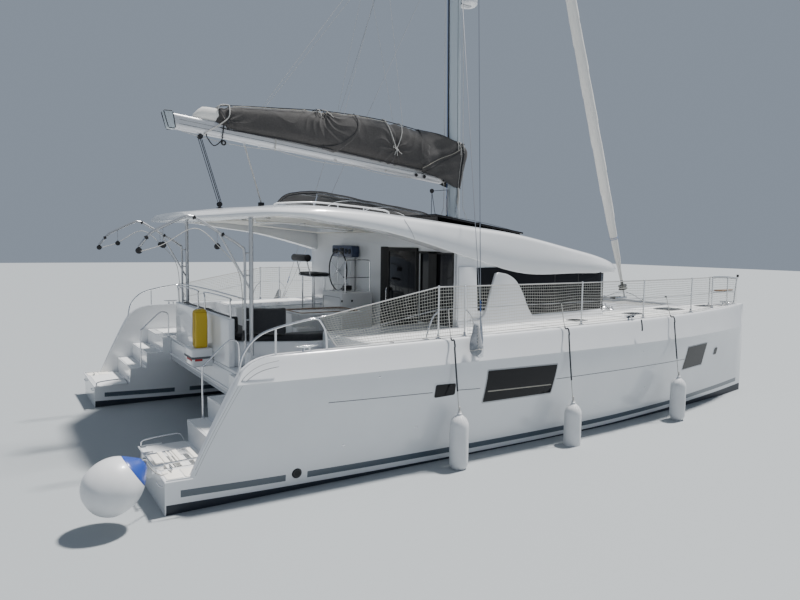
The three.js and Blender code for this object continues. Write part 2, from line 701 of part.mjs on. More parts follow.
// Columns: x, z
const CANOPY_SPINE = [
  [-2750, 4064],
  [-2620, 4132],
  [-2350, 4177],
  [-1830, 4102],
  [-860, 3982],
  [-100, 3854],
];
const canopyFrame = union([
  hoop([-2750, 4102], -2650),
  hoop([-1500, 4099], -1900),
  hoop([-100, 3892], 100),
  pipe(CANOPY_SPINE.map(([x, z]) => [x, 1240, z]), 11),
]);
add('canopy_frame', canopyFrame.subtract(overTop).subtract(moved(canopy, 0, 0, -GAP)), STEEL);

// Davits with the aft posts of the rigid top
const DAVIT_Y = -1850;
const POST_X = -4715;
const ARM_X = -4815;
// Columns: x, z
const DAVIT_ARM = [
  [ARM_X, 1500],
  [ARM_X, 3110],
  [-5210, 3360],
  [-5550, 3560],
  [-5680, 3565],
  [-6110, 3345],
  [-6300, 3130],
];
const davitFoot = (POST_X + ARM_X) / 2;
const davit = union([
  pipe([[POST_X, DAVIT_Y, 1500], [POST_X, DAVIT_Y, 3700]], 24, 10),
  pipe(DAVIT_ARM.map(([x, z]) => [x, DAVIT_Y, z]), 20),
  pipe([[POST_X, DAVIT_Y, 2480], [-5200, DAVIT_Y, 3354]], 14),
  pipe([[POST_X, DAVIT_Y, 1560], [ARM_X, DAVIT_Y, 1560]], 20),
  rod([davitFoot, DAVIT_Y, SOLE_Z + GAP], [davitFoot, DAVIT_Y, 1560], 60, 50, 12),
]);
addPair('davit', davit, STEEL, [underTop]);

// Mast with spreaders, mast step and the top of the forestay
const MAST_SIDES = 16;
const MAST_LEVELS = [3350, 17500, MAST_TOP_Z];
const mastRing = (z, shape) =>
  Array.from({ length: MAST_SIDES }, (_, i) => {
    const angle = (i * 2 * Math.PI) / MAST_SIDES;
    const chord = (MAST_CHORD / 2) * shape * Math.cos(angle);
    return [mastX(z) + chord, (MAST_WIDTH / 2) * shape * Math.sin(angle), z];
  });
const mastTube = loft(MAST_LEVELS.map((z, i) => mastRing(z, [1, 1, 0.72][i])), 2);
// Columns: height, length of one spreader, sweep aft
const SPREADERS = [
  [9900, 1420, 560],
  [14900, 1080, 430],
];
const spreaderTip = ([z, length, sweep]) => [mastX(z) - sweep, -length, z + 60];
const spreaders = SPREADERS.flatMap((row) => {
  const tip = spreaderTip(row);
  const root = [mastX(row[0]), 0, row[0]];
  return [rod(root, tip, 42, 24), rod(root, [tip[0], -tip[1], tip[2]], 42, 24)];
});
const stayHead = [mastX(STAY_HEAD_Z) + MAST_CHORD / 2 - 60, 0, STAY_HEAD_Z];
const stayFoot = [STAY_FOOT[0], 0, STAY_FOOT[1]];
const stayAt = (part) => stayFoot.map((value, i) => value + (stayHead[i] - value) * part);
const JIB_START = 0.012;
const JIB_END = 0.955;
const stayTop = rod(stayAt(JIB_END + 0.00003), stayHead, 7, 7, 8);
const [pivotX, pivotZ] = BOOM_PIVOT;
const lugPlate = box(pivotX, mastX(pivotZ) - 60, -30, 30, pivotZ - 32, pivotZ + 32);
const lugEye = rod([pivotX, 0, pivotZ - 32], [pivotX, 0, pivotZ + 32], 30, 30, 12);
const lugBore = rod([pivotX, 0, pivotZ - 60], [pivotX, 0, pivotZ + 60], 10.7, 10.7, 12);
const mastStep = box(MAST_X - 230, MAST_X + 230, -170, 170, 3310, 3530);
const vane = pipe([[mastX(MAST_TOP_Z), 0, MAST_TOP_Z - 60], [mastX(MAST_TOP_Z), 0, 20640]], 9);
const mast = union([mastTube, ...spreaders, mastStep, stayTop, lugPlate, lugEye, vane]).subtract(lugBore);
add('mast', mast.subtract(overTop), ALUMINIUM);

// Standing rigging on each side, from a chainplate on the topsides to both spreaders and the masthead
const capFoot = [CHAINPLATE_X, -3905, 1640];
const clear = (tip) => [tip[0], tip[1] - 18, tip[2]];
const tips = SPREADERS.map((row) => clear(spreaderTip(row)));
const rigTop = [mastX(19300), -83, 19300];
const lowerTop = [mastX(9700), -98.5, 9700];
const chainplate = box(CHAINPLATE_X - 45, CHAINPLATE_X + 45, -3916, -3780, 1560, 1745);
const shrouds = union([
  pipe([capFoot, ...tips, rigTop], 9),
  pipe([[CHAINPLATE_X + 30, -3905, 1700], lowerTop], 8),
  chainplate.subtract(moved(deckStarboard, 0, -GAP, 0)),
]);
addPair('shrouds', shrouds, WIRE);

// Boom with its fork and pin, and the sail bag on top
const boomAt = (x) => pivotZ + 20 + ((BOOM_END[1] - pivotZ - 20) * (x - pivotX)) / (BOOM_END[0] - pivotX);
function boomRing(x, grow) {
  const half = 82 + grow;
  const tall = 125 + grow;
  const shape = [[-0.55, -1], [0.55, -1], [1, -0.5], [1, 0.72], [0.72, 1], [-0.72, 1], [-1, 0.72], [-1, -0.5]];
  return shape.map(([y, z]) => [x, y * half, boomAt(x) + z * tall]);
}
const boomBody = (grow) => loft([boomRing(BOOM_END[0] - grow, grow), boomRing(60 + grow, grow)]);
const cheekEye = (z0, z1) => rod([pivotX, 0, z0], [pivotX, 0, z1], 28, 28, 12);
const cheek = (z0, z1) => box(40, pivotX, -28, 28, z0, z1).add(cheekEye(z0, z1));
const boomPin = rod([pivotX, 0, pivotZ - 70], [pivotX, 0, pivotZ + 70], 10, 10, 12);
const boom = union([boomBody(0), cheek(pivotZ - 66, pivotZ - 38), cheek(pivotZ + 38, pivotZ + 66), boomPin]);
add('boom', boom, ALUMINIUM);

// Columns: x, half width, lower edge above the boom's middle, height above the boom's middle
const BAG_ROWS = [
  [-4700, 60, 40, 380],
  [-4450, 130, 20, 450],
  [-3600, 205, 30, 600],
  [-2600, 245, 25, 760],
  [-1500, 265, 5, 850],
  [-700, 260, 0, 840],
  [-330, 235, 0, 820],
];
function bagRing([x, half, low, high]) {
  const right = [[0.75, 0], [1, 0.22], [0.96, 0.55], [0.6, 0.88], [0.15, 1]];
  const left = [...right].reverse().map(([y, t]) => [-y, t]);
  return [...right, ...left].map(([y, t]) => [x, y * half, boomAt(x) + low + (high - low) * t]);
}
add('sail_bag', loft(BAG_ROWS.map(bagRing)).subtract(boomBody(1)), DARK_CLOTH);

// Furled headsail with its drum, turning on the forestay
const stayLength = Math.hypot(stayHead[0] - stayFoot[0], stayHead[2] - stayFoot[2]);
const JIB_PROFILE = [
  [0, 0],
  [60, 0],
  [115, 12],
  [115, 110],
  [40, 122],
  [32, 240],
  [70, 900],
  [112, 2600],
  [108, 7500],
  [88, 12500],
  [52, 16600],
  [30, stayLength * (JIB_END - JIB_START)],
  [0, stayLength * (JIB_END - JIB_START)],
];
add('furled_jib', turned(JIB_PROFILE, stayAt(JIB_START), stayHead, 12), SAILCLOTH);

// Dark panel on low feet, on the rigid top beside the mast
const PANEL = { x0: -1250, x1: 850, y0: -1700, y1: -400, lift: 70, thick: 35 };
const panelTop = (x) => roofZ(x) + CROWN + PANEL.lift;
const panelSheet = prismY(
  [
    [PANEL.x0, panelTop(PANEL.x0)],
    [PANEL.x1, panelTop(PANEL.x1)],
    [PANEL.x1, panelTop(PANEL.x1) + PANEL.thick],
    [PANEL.x0, panelTop(PANEL.x0) + PANEL.thick],
  ],
  PANEL.y0,
  PANEL.y1,
);
const panelFeet = [PANEL.x0 + 60, (PANEL.x0 + PANEL.x1) / 2, PANEL.x1 - 60].map((x) =>
  box(x - 20, x + 20, PANEL.y0 + 40, PANEL.y1 - 40, roofZ(x) + 20, panelTop(x) + 20),
);
add('roof_panel', union([panelSheet, ...panelFeet]).subtract(overTop), BLACK);

// Forward crossbeam, centre beam and trampolines
const crossTube = rod([BEAM_X, -2820, BEAM_Z], [BEAM_X, 2820, BEAM_Z], BEAM_R, BEAM_R, 16);
const centreBeam = prismY(
  [[BRIDGE_FWD_X + GAP, 1560], [BEAM_X, 1700], [BEAM_X, 1850], [BRIDGE_FWD_X + GAP, deckZ(BRIDGE_FWD_X)]],
  -150,
  150,
);
const stayEye = pipe([[BEAM_X + 20, 0, BEAM_Z], stayFoot, stayAt(JIB_START - 0.00003)], 22, 10);
const crossbeam = union([crossTube, centreBeam, stayEye])
  .subtract(moved(deckStarboard, 0, GAP, 0))
  .subtract(moved(deckPort, 0, -GAP, 0));
add('crossbeam', crossbeam, ALUMINIUM);

const NET_IN = -150 - GAP;
const netting = prismZ(
  [[BRIDGE_FWD_X + GAP, NET_IN], [BRIDGE_FWD_X + GAP, -2400], [5100, -2700], [5900, -2900], [5900, NET_IN]],
  1798,
  1810,
);
const trampoline = netting.subtract(moved(deckStarboard, 0, GAP, 0)).subtract(moved(crossbeam, -GAP, 0, 0));
addPair('trampoline', trampoline, NETTING);

// Guard rails: aft rail, gate, stanchions, wires and pulpit
// Columns: x, distance from the centreline
const STANCHIONS = [
  [-2550, RAIL_Y],
  [-2070, RAIL_Y],
  [410, RAIL_Y],
  [2090, 3600],
  [3690, 3480],
];
const PULPIT_FOOT = [4720, 3260];
const wireHeights = [RAIL_Z, RAIL_Z - 330];
const posts = [...STANCHIONS, PULPIT_FOOT].map(([x, y]) => rod([x, -y, 1700], [x, -y, RAIL_Z + 8], 13, 13, 8));
const wireBetween = ([x0, y0], [x1, y1], z) => rod([x0, -y0, z], [x1, -y1, z], 5, 5, 6);
const wires = wireHeights.flatMap((z) =>
  [...STANCHIONS.slice(1), PULPIT_FOOT].map((post, i) => wireBetween(STANCHIONS[i], post, z)),
);
const PULPIT = [
  [4720, -3260, RAIL_Z],
  [5500, -3110, 2590],
  [6120, -2960, 2540],
  [6180, -2900, 2540],
  [6080, -2860, 2540],
  [5350, -2790, 2570],
];
const pulpitRail = pipe(PULPIT, 14);
const pulpitLegs = union([
  rod([5500, -3110, 1700], [5500, -3110, 2595], 14),
  rod([6080, -2920, 1800], [6120, -2940, 2545], 14),
  rod([5350, -2790, 1700], [5350, -2790, 2574], 14),
  rod([4720, -3260, 2280], [5500, -3110, 2270], 10),
  rod([5500, -3110, 2270], [6100, -2930, 2240], 10),
]);
// Columns: x, z
const AFT_RAIL = [
  [-5530, 1520],
  [-5470, 1830],
  [-5300, 2040],
  [-5040, 2150],
  [-4530, 2240],
  [-4410, 2180],
  [-4345, 2020],
  [-4330, 1700],
];
const aftRail = pipe(AFT_RAIL.map(([x, z]) => [x, -RAIL_Y, z]), 15);
const aftPost = rod([-5040, -RAIL_Y, 1700], [-5040, -RAIL_Y, 2150], 14);
const aftWires = [
  rod([-2550, -RAIL_Y, RAIL_Z], [-4530, -RAIL_Y, 2240], 5, 5, 6),
  rod([-2550, -RAIL_Y, RAIL_Z - 330], [-4342, -RAIL_Y, 1960], 5, 5, 6),
];
const rails = union([...posts, ...wires, pulpitRail, pulpitLegs, aftRail, aftPost, ...aftWires]);
addPair(
  'guard_rails',
  rails.subtract(moved(deckStarboard, 0, 0, GAP)).subtract(moved(hullStarboard, 0, 0, GAP)),
  STEEL,
);

// Swim ladder folded up on the starboard bathing platform
const ladderRail = (y) => pipe([[LADDER.x, y, LADDER.z], [LADDER.x + LADDER.length, y, LADDER.z + 20]], 13);
const ladder = union([
  ladderRail(LADDER.y0),
  ladderRail(LADDER.y1),
  rod([LADDER.x, LADDER.y0 - 45 + GAP, LADDER.z], [LADDER.x, LADDER.y1 + 45 - GAP, LADDER.z], 12),
  ...[0.36, 0.68, 1].map((part) => {
    const x = LADDER.x + LADDER.length * part;
    return box(x - 35, x + 5, LADDER.y0, LADDER.y1, LADDER.z + 2, LADDER.z + 26);
  }),
]);
add('swim_ladder', ladder, STEEL);

// Fenders on the starboard side, hung from the guard rail
// Columns: x, height of the body's middle
const FENDERS = [
  [-2390, 360],
  [-85, 250],
  [2800, 370],
];
const FENDER_SHAPE = [
  [0, -470],
  [26, -470],
  [34, -420],
  [110, -350],
  [138, -270],
  [138, 270],
  [110, 350],
  [34, 420],
  [26, 470],
  [0, 470],
];
FENDERS.forEach(([x, middle], i) => {
  const w = along(STATIONS, 4, x);
  const y = hullY(w + 148);
  const railLean = x > 2090 ? 0.075 : 0;
  const railY = x > 2090 ? -3600 + railLean * (x - 2090) : -RAIL_Y;
  const body = turned(FENDER_SHAPE, [x, y, middle], [x, y, middle + 1], 12);
  const rope = pipe(
    [
      [x, y, middle + 440],
      [x, hullY(w + 10), deckZ(x) - 110],
      [x, hullY(w - 14), deckZ(x) - 18],
      [x, hullY(w - 95), deckZ(x) + 12],
      [x, railY, RAIL_Z - 318],
    ],
    8,
    8,
  );
  const wireAt = (reach) => [x + reach, railY + reach * railLean, RAIL_Z - 330];
  const wireRoom = rod(wireAt(-60), wireAt(60), 5.5, 5.5, 12);
  add(`fender_${i + 1}`, body.add(rope).subtract(wireRoom), FENDER);
});
const BALL = [-6980, -3720, 500];
const BALL_AXIS = [0.84, 0, 0.54];
const BALL_SHAPE = [
  [0, -320],
  [105, -308],
  [205, -252],
  [285, -150],
  [312, 0],
  [290, 135],
  [225, 250],
  [130, 340],
  [60, 400],
  [0, 410],
];
const ballAt = (distance) => BALL.map((value, i) => value + distance * BALL_AXIS[i]);
const ballBody = turned(BALL_SHAPE, BALL, ballAt(1), 16);
const ballRope = pipe([ballAt(390), [-6405, -3450, 442], [-6320, -3420, 437]], 8);
const platformRoom = box(STERN_X - GAP, -6200, -3600, -3100, 0, PLATFORM_Z + GAP);
add('ball_fender', ballBody.add(ballRope).subtract(platformRoom), FENDER);

// Life raft canister on the aft edge of the bridgedeck, and the lifebuoy bag that stands on it
const RAFT = { x: -5170, y: -600, z0: 1200, z1: 1500 };
add('liferaft', box(-5340, BRIDGE_AFT_X - GAP, RAFT.y - 250, RAFT.y + 250, RAFT.z0, RAFT.z1), GELCOAT);
const BAG_PROFILE = [
  [0, 0],
  [105, 0],
  [125, 60],
  [125, 540],
  [70, 620],
  [0, 620],
];
const bagFoot = [RAFT.x, RAFT.y - 80, RAFT.z1 + GAP];
add('lifebuoy_bag', turned(BAG_PROFILE, bagFoot, [bagFoot[0], bagFoot[1], bagFoot[2] + 1], 10), YELLOW_CASE);

export default boat;
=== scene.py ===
"""Cruising sailing catamaran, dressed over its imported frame.

Metres. +X points to the bows, +Y to port, +Z up, and z = 0 is the waterline.
"""

import logging
from dataclasses import dataclass
from enum import Enum
from math import atan2, copysign, cos, dist, exp, hypot, pi, radians, sin, sqrt
from typing import Callable, Sequence

import bmesh
import bpy
from mathutils import Matrix, Vector


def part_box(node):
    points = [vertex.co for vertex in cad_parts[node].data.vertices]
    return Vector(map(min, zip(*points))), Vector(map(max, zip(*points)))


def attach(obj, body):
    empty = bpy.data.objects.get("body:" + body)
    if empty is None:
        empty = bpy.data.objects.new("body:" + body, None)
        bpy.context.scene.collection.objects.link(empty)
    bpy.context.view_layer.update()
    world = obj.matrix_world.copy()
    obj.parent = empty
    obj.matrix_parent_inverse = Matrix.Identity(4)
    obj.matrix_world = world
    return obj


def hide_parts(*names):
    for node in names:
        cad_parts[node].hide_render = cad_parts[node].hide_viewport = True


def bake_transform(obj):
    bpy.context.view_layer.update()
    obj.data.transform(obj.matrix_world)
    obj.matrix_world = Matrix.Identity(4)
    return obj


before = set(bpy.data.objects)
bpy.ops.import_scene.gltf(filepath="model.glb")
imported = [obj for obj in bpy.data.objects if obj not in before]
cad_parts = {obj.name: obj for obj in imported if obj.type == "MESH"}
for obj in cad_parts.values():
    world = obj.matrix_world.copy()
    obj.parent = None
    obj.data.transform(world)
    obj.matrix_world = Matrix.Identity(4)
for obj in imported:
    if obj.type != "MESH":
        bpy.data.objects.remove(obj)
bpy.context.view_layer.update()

logging.basicConfig(level=logging.INFO, format="%(message)s")
LOG = logging.getLogger("catamaran")

Point = tuple[float, float, float]
Pair = tuple[float, float]
Row = tuple[float, ...]
Outline = Sequence[Pair]
Shape = bmesh.types.BMesh
BOAT = "boat"
UP: Point = (0, 0, 1)


class Side(Enum):
    """Which hull a piece belongs to; the value is the sign of its y."""

    STARBOARD = -1
    PORT = 1

    @property
    def word(self) -> str:
        """The side's name as it stands in node names."""
        return self.name.lower()


class Grain(Enum):
    """Fine relief or tone that a finish carries."""

    PLAIN = "plain"
    GELCOAT = "gelcoat"
    NONSKID = "nonskid"
    CLOTH = "cloth"
    SAIL = "sail"
    BRUSHED = "brushed"
    VINYL = "vinyl"
    WOOD = "wood"
    ROPE = "rope"


@dataclass(frozen=True)
class Finish:
    """One finish: a colour and how it takes the light."""

    name: str
    color: Point
    roughness: float = 0.5
    metallic: float = 0
    coat: float = 0
    transmission: float = 0
    gloss: float = 0.5
    grain: Grain = Grain.PLAIN
    slot: str = "gelcoat"

    def material(self) -> bpy.types.Material:
        """The material of this finish, made once."""
        found = bpy.data.materials.get(self.name)
        return found if found else self._make()

    def _make(self) -> bpy.types.Material:
        """Builds the node tree."""
        material = bpy.data.materials.new(self.name)
        material.use_nodes = True
        nodes = material.node_tree.nodes
        shader = nodes["Principled BSDF"]
        shader.inputs["Base Color"].default_value = (*self.color, 1)
        shader.inputs["Roughness"].default_value = self.roughness
        shader.inputs["Metallic"].default_value = self.metallic
        shader.inputs["Coat Weight"].default_value = self.coat
        shader.inputs["Specular IOR Level"].default_value = self.gloss
        shader.inputs["Coat Roughness"].default_value = 0.06
        shader.inputs["Transmission Weight"].default_value = self.transmission
        if self.grain is Grain.CLOTH:
            shader.inputs["Sheen Weight"].default_value = 0.25
            shader.inputs["Sheen Roughness"].default_value = 0.5
        if self.grain is not Grain.PLAIN:
            self._add_grain(material.node_tree, shader)
        return material

    def _add_grain(self, tree: bpy.types.NodeTree, shader: bpy.types.Node) -> None:
        """Adds tone and relief on Object coordinates.

        Args:
            tree: the material's node tree.
            shader: its Principled shader.
        """
        # scale, stretch, tone depth, bump distance, bump strength
        scale, stretch, tone, distance, strength = {
            Grain.GELCOAT: (1.6, (1, 1, 1), 0.035, 0, 0), Grain.NONSKID: (260, (1, 1, 1), 0.06, 0.002, 0.7),
            Grain.CLOTH: (34, (1, 1, 1), 0.22, 0.004, 0.5), Grain.SAIL: (12, (1, 1, 0.4), 0.12, 0.006, 0.4),
            Grain.BRUSHED: (60, (1, 1, 0.05), 0.05, 0.0005, 0.3), Grain.VINYL: (5, (1, 1, 1), 0.06, 0, 0),
            Grain.WOOD: (9, (0.12, 1, 1), 0.35, 0.0006, 0.3), Grain.ROPE: (90, (1, 1, 1), 0.25, 0.002, 0.8)
        }[self.grain]
        nodes, links = tree.nodes, tree.links
        where = nodes.new("ShaderNodeTexCoord")
        mapping = nodes.new("ShaderNodeMapping")
        mapping.inputs["Scale"].default_value = stretch
        noise = nodes.new("ShaderNodeTexNoise")
        noise.inputs["Scale"].default_value = scale
        noise.inputs["Detail"].default_value = 4
        links.new(where.outputs["Object"], mapping.inputs["Vector"])
        links.new(mapping.outputs["Vector"], noise.inputs["Vector"])
        ramp = nodes.new("ShaderNodeValToRGB")
        ramp.color_ramp.elements[0].position = 0.35
        ramp.color_ramp.elements[1].position = 0.65
        low = tuple(c * (1 - tone) for c in self.color)
        ramp.color_ramp.elements[0].color = (*low, 1)
        ramp.color_ramp.elements[1].color = (*self.color, 1)
        links.new(noise.outputs["Fac"], ramp.inputs["Fac"])
        links.new(ramp.outputs["Color"], shader.inputs["Base Color"])
        if distance:
            bump = nodes.new("ShaderNodeBump")
            bump.inputs["Strength"].default_value = strength
            bump.inputs["Distance"].default_value = distance
            links.new(noise.outputs["Fac"], bump.inputs["Height"])
            links.new(bump.outputs["Normal"], shader.inputs["Normal"])


GELCOAT = Finish("white gelcoat", (0.8, 0.815, 0.83), 0.2, coat=0.6, grain=Grain.GELCOAT)
CEILING_WHITE = Finish("ceiling white", (0.9, 0.87, 0.8), 0.5, grain=Grain.GELCOAT)
NONSKID = Finish("non-slip deck", (0.72, 0.73, 0.73), 0.7, grain=Grain.NONSKID, slot="nonskid")
STRIPE = Finish("grey stripe", (0.075, 0.1, 0.125), 0.3, coat=0.5)
ANTIFOUL = Finish("dark boot paint", (0.022, 0.028, 0.04), 0.55)
GROOVE = Finish("joint line", (0.1, 0.11, 0.12), 0.6)
# Grey of seals and bezels, also used for a painted shadow line along the hull's knuckle.
SEAL_AND_SHADOW_GREY = Finish("light seal", (0.42, 0.43, 0.44), 0.5)
TINTED = Finish("tinted glass", (0.045, 0.05, 0.058), 0.03, gloss=0.3, transmission=0.55, slot="tinted_glass")
DARK_GLASS = Finish("dark glazing", (0.01, 0.01, 0.012), 0.05, gloss=0.22, slot="tinted_glass")
STEEL = Finish("polished steel", (0.72, 0.73, 0.75), 0.14, 1, slot="steel")
WIRE = Finish("wire rope", (0.45, 0.46, 0.48), 0.3, 1, slot="wire")
ALLOY = Finish("anodised alloy", (0.52, 0.53, 0.55), 0.32, 0.9, grain=Grain.BRUSHED, slot="alloy")
BOOM_PAINT = Finish("silver boom", (0.62, 0.63, 0.65), 0.3, 0.35, slot="alloy")
BLACK = Finish("black fitting", (0.012, 0.012, 0.014), 0.35, slot="black_plastic")
RUBBER = Finish("black seal", (0.02, 0.02, 0.02), 0.8, slot="black_plastic")
CANVAS = Finish("charcoal canvas", (0.062, 0.058, 0.056), 0.85, grain=Grain.CLOTH, slot="dark_cloth")
# Dark binding and piping, also used for painted shade in a crease of the sail bag.
CANVAS_TRIM_AND_CREASE_SHADE = Finish("canvas binding", (0.025, 0.026, 0.03), 0.8, slot="dark_cloth")
SAIL = Finish("sailcloth", (0.66, 0.63, 0.57), 0.75, grain=Grain.SAIL, slot="sailcloth")
NET = Finish("net twine", (0.62, 0.6, 0.53), 0.85, slot="netting")
ROPE_WHITE = Finish("white rope", (0.6, 0.59, 0.56), 0.85, grain=Grain.ROPE, slot="netting")
# Dark rope, also used as painted shade on the fender ropes where they lie against the topsides.
DARK_ROPE_AND_ROPE_SHADE = Finish("dark rope", (0.05, 0.055, 0.065), 0.85, grain=Grain.ROPE, slot="netting")
ROPE_RED = Finish("flecked rope", (0.42, 0.1, 0.08), 0.85, grain=Grain.ROPE, slot="netting")
ROPE_BLUE = Finish("blue rope", (0.07, 0.14, 0.35), 0.85, grain=Grain.ROPE, slot="netting")
VINYL = Finish("white vinyl", (0.74, 0.75, 0.76), 0.38, coat=0.2, grain=Grain.VINYL, slot="fender_vinyl")
VINYL_BLUE = Finish("blue vinyl", (0.02, 0.06, 0.32), 0.35, coat=0.2, slot="fender_vinyl")
YELLOW = Finish("yellow case", (0.62, 0.43, 0.02), 0.55, grain=Grain.VINYL, slot="yellow_case")
YELLOW_DARK = Finish("case seam", (0.4, 0.25, 0.01), 0.7, slot="yellow_case")
RED = Finish("red band", (0.45, 0.03, 0.03), 0.5)
SEAT_DARK = Finish("seat cloth", (0.02, 0.021, 0.025), 0.8, grain=Grain.CLOTH, slot="dark_cloth")
UPHOLSTERY = Finish("saloon cloth", (0.52, 0.47, 0.4), 0.8, grain=Grain.CLOTH, slot="upholstery")
TIMBER = Finish("satin timber", (0.26, 0.15, 0.075), 0.35, grain=Grain.WOOD, slot="wood")
BRONZE = Finish("cast bronze", (0.42, 0.28, 0.11), 0.3, 1, slot="bronze")
ENGINE_GREY = Finish("engine paint", (0.16, 0.17, 0.19), 0.4, slot="engine_paint")
POD_BLUE = Finish("instrument pod", (0.014, 0.03, 0.085), 0.35, coat=0.3, slot="black_plastic")
WEBBING = Finish("beige webbing", (0.5, 0.47, 0.4), 0.8, grain=Grain.ROPE, slot="sailcloth")
MAST_GREY = Finish("mast grey", (0.5, 0.56, 0.6), 0.42, 0.2, slot="alloy")
LENS = Finish("lamp lens", (0.8, 0.82, 0.84), 0.08, coat=1, transmission=0.6, slot="tinted_glass")
NET_WHITE = Finish("white netting", (0.66, 0.66, 0.64), 0.8, slot="netting")
GREY_BOOT = Finish("grey padded boot", (0.27, 0.29, 0.32), 0.8, grain=Grain.CLOTH, slot="dark_cloth")


def along(table: Sequence[Row], column: int, x: float) -> float:
    """Smooth value of a table's column at x.

    Args:
        table: rows whose first column is x.
        column: the column wanted.
        x: the place.

    Returns:
        The cubic value between the two rows around x.
    """
    last = len(table) - 1
    x = min(max(x, table[0][0]), table[-1][0])
    at = next((i for i, row in enumerate(table) if row[0] >= x), 0) - 1
    at = max(0, min(last - 1, at))

    def slope(i: int) -> float:
        """Slope of the column at a row."""
        low, high = table[max(0, i - 1)], table[min(last, i + 1)]
        return (high[column] - low[column]) / (high[0] - low[0])

    a, b = table[at], table[at + 1]
    span = b[0] - a[0]
    t = (x - a[0]) / span
    h00 = (1 + 2 * t) * (1 - t) ** 2
    h10 = t * (1 - t) ** 2
    h01 = t * t * (3 - 2 * t)
    h11 = t * t * (t - 1)
    return h00 * a[column] + h10 * span * slope(at) + h01 * b[column] + h11 * span * slope(at + 1)


def spread(low: float, high: float, count: int) -> list[float]:
    """Evenly spaced values from low to high, both included."""
    return [low + (high - low) * i / (count - 1) for i in range(count)]


def eased(start: float, end: float, steps: int) -> list[float]:
    """Numbers from start to end, closer together at both ends."""
    return [start + (end - start) * (0.5 - 0.5 * cos(pi * i / steps)) for i in range(steps + 1)]


def turns(count: int) -> list[float]:
    """Evenly spaced angles of one turn."""
    return spread(0, 2 * pi, count + 1)[:-1]


def between(start: Sequence[float], end: Sequence[float], t: float) -> Row:
    """The point at share t of the way from start to end."""
    return tuple(a + (b - a) * t for a, b in zip(start, end))


def length_of(points: Sequence[Point]) -> float:
    """Length of the line through points."""
    return sum(dist(a, b) for a, b in zip(points, points[1:]))


def rounded(corners: Sequence[tuple[float, float, float]], steps: int = 5) -> list[Pair]:
    """A closed outline with its corners rounded.

    Args:
        corners: (u, v, radius) rows in order.
        steps: points on each rounded corner.

    Returns:
        (u, v) points.
    """
    out: list[Pair] = []
    for i, (u, v, radius) in enumerate(corners):
        here = Vector((u, v))
        before = Vector(corners[i - 1][:2]) - here
        after = Vector(corners[(i + 1) % len(corners)][:2]) - here
        reach = min(radius, before.length * 0.49, after.length * 0.49)
        if reach < 1e-5:
            out.append((u, v))
            continue
        a = here + before.normalized() * reach
        b = here + after.normalized() * reach
        for k in range(steps + 1):
            t = k / steps
            p = a * (1 - t) ** 2 + here * 2 * t * (1 - t) + b * t * t
            out.append((p.x, p.y))
    return out


def oblong(u0: float, u1: float, v0: float, v1: float, radius: float, steps: int = 5) -> list[Pair]:
    """A rectangle with rounded corners."""
    return rounded([(u0, v0, radius), (u1, v0, radius), (u1, v1, radius), (u0, v1, radius)], steps)


def smooth_line(points: Sequence[Sequence[float]], per_span: int = 6) -> list[tuple[float, ...]]:
    """A soft curve through points.

    Args:
        points: the points, in two or three dimensions.
        per_span: new points for each span.

    Returns:
        Points on a Catmull-Rom curve.
    """
    out: list[tuple[float, ...]] = []
    last = len(points) - 1
    for i in range(last):
        p0, p1 = points[max(0, i - 1)], points[i]
        p2, p3 = points[i + 1], points[min(last, i + 2)]
        for k in range(per_span):
            t = k / per_span
            out.append(
                tuple(
                    0.5 * (
                        2 * b + (c - a) * t + (2 * a - 5 * b + 4 * c - d) * t * t + (3 * b - a - 3 * c + d)
                        * t**3
                    ) for a, b, c, d in zip(p0, p1, p2, p3)
                )
            )
    out.append(tuple(points[last]))
    return out


def box_part(low: Point, high: Point, bevel: float = 0, segments: int = 2) -> Shape:
    """A box with softened edges."""
    bm = bmesh.new()
    size = [high[i] - low[i] for i in range(3)]
    middle = [(high[i] + low[i]) / 2 for i in range(3)]
    bmesh.ops.create_cube(bm, size=1, matrix=Matrix.Translation(middle) @ Matrix.Diagonal((*size, 1)))
    if bevel:
        soften(bm, bevel, segments)
    return bm


def soften(bm: Shape, width: float, segments: int = 2, angle: float = 30) -> None:
    """Bevels the edges that turn more than an angle.

    Args:
        bm: the shape.
        width: width of the bevel.
        segments: steps of the bevel.
        angle: smallest turn, in degrees.
    """
    sharp = [e for e in bm.edges if len(e.link_faces) == 2 and e.calc_face_angle(0) > radians(angle)]
    bmesh.ops.bevel(
        bm, geom=sharp, offset=width, segments=segments, profile=0.5, affect="EDGES", material=-1,
        clamp_overlap=True
    )


class Plane(Enum):
    """The plane in which an outline is drawn, and the axis that it is drawn out along."""

    XZ = "xz"
    XY = "xy"
    YZ = "yz"

    def place(self, u: float, v: float, depth: float) -> Point:
        """The point at (u, v) in this plane, at a depth along the third axis."""
        return {"xz": (u, depth, v), "xy": (u, v, depth), "yz": (depth, u, v)}[self.value]


def prism_part(
    outline: Outline, plane: Plane, start: float, end: float, bevel: float = 0, segments: int = 2
) -> Shape:
    """An outline drawn out between two depths.

    Args:
        outline: (u, v) points in order.
        plane: the outline's plane.
        start: first depth.
        end: second depth.
        bevel: width of the softened edges.
        segments: steps of the softened edges.

    Returns:
        The closed shape.
    """
    bm = bmesh.new()
    face = bm.faces.new([bm.verts.new(plane.place(u, v, start)) for u, v in outline])
    grown = bmesh.ops.extrude_face_region(bm, geom=[face])["geom"]
    shift = Vector(plane.place(0, 0, end)) - Vector(plane.place(0, 0, start))
    bmesh.ops.translate(bm, vec=shift, verts=[g for g in grown if isinstance(g, bmesh.types.BMVert)])
    bmesh.ops.recalc_face_normals(bm, faces=bm.faces)
    if bevel:
        soften(bm, bevel, segments)
    return bm


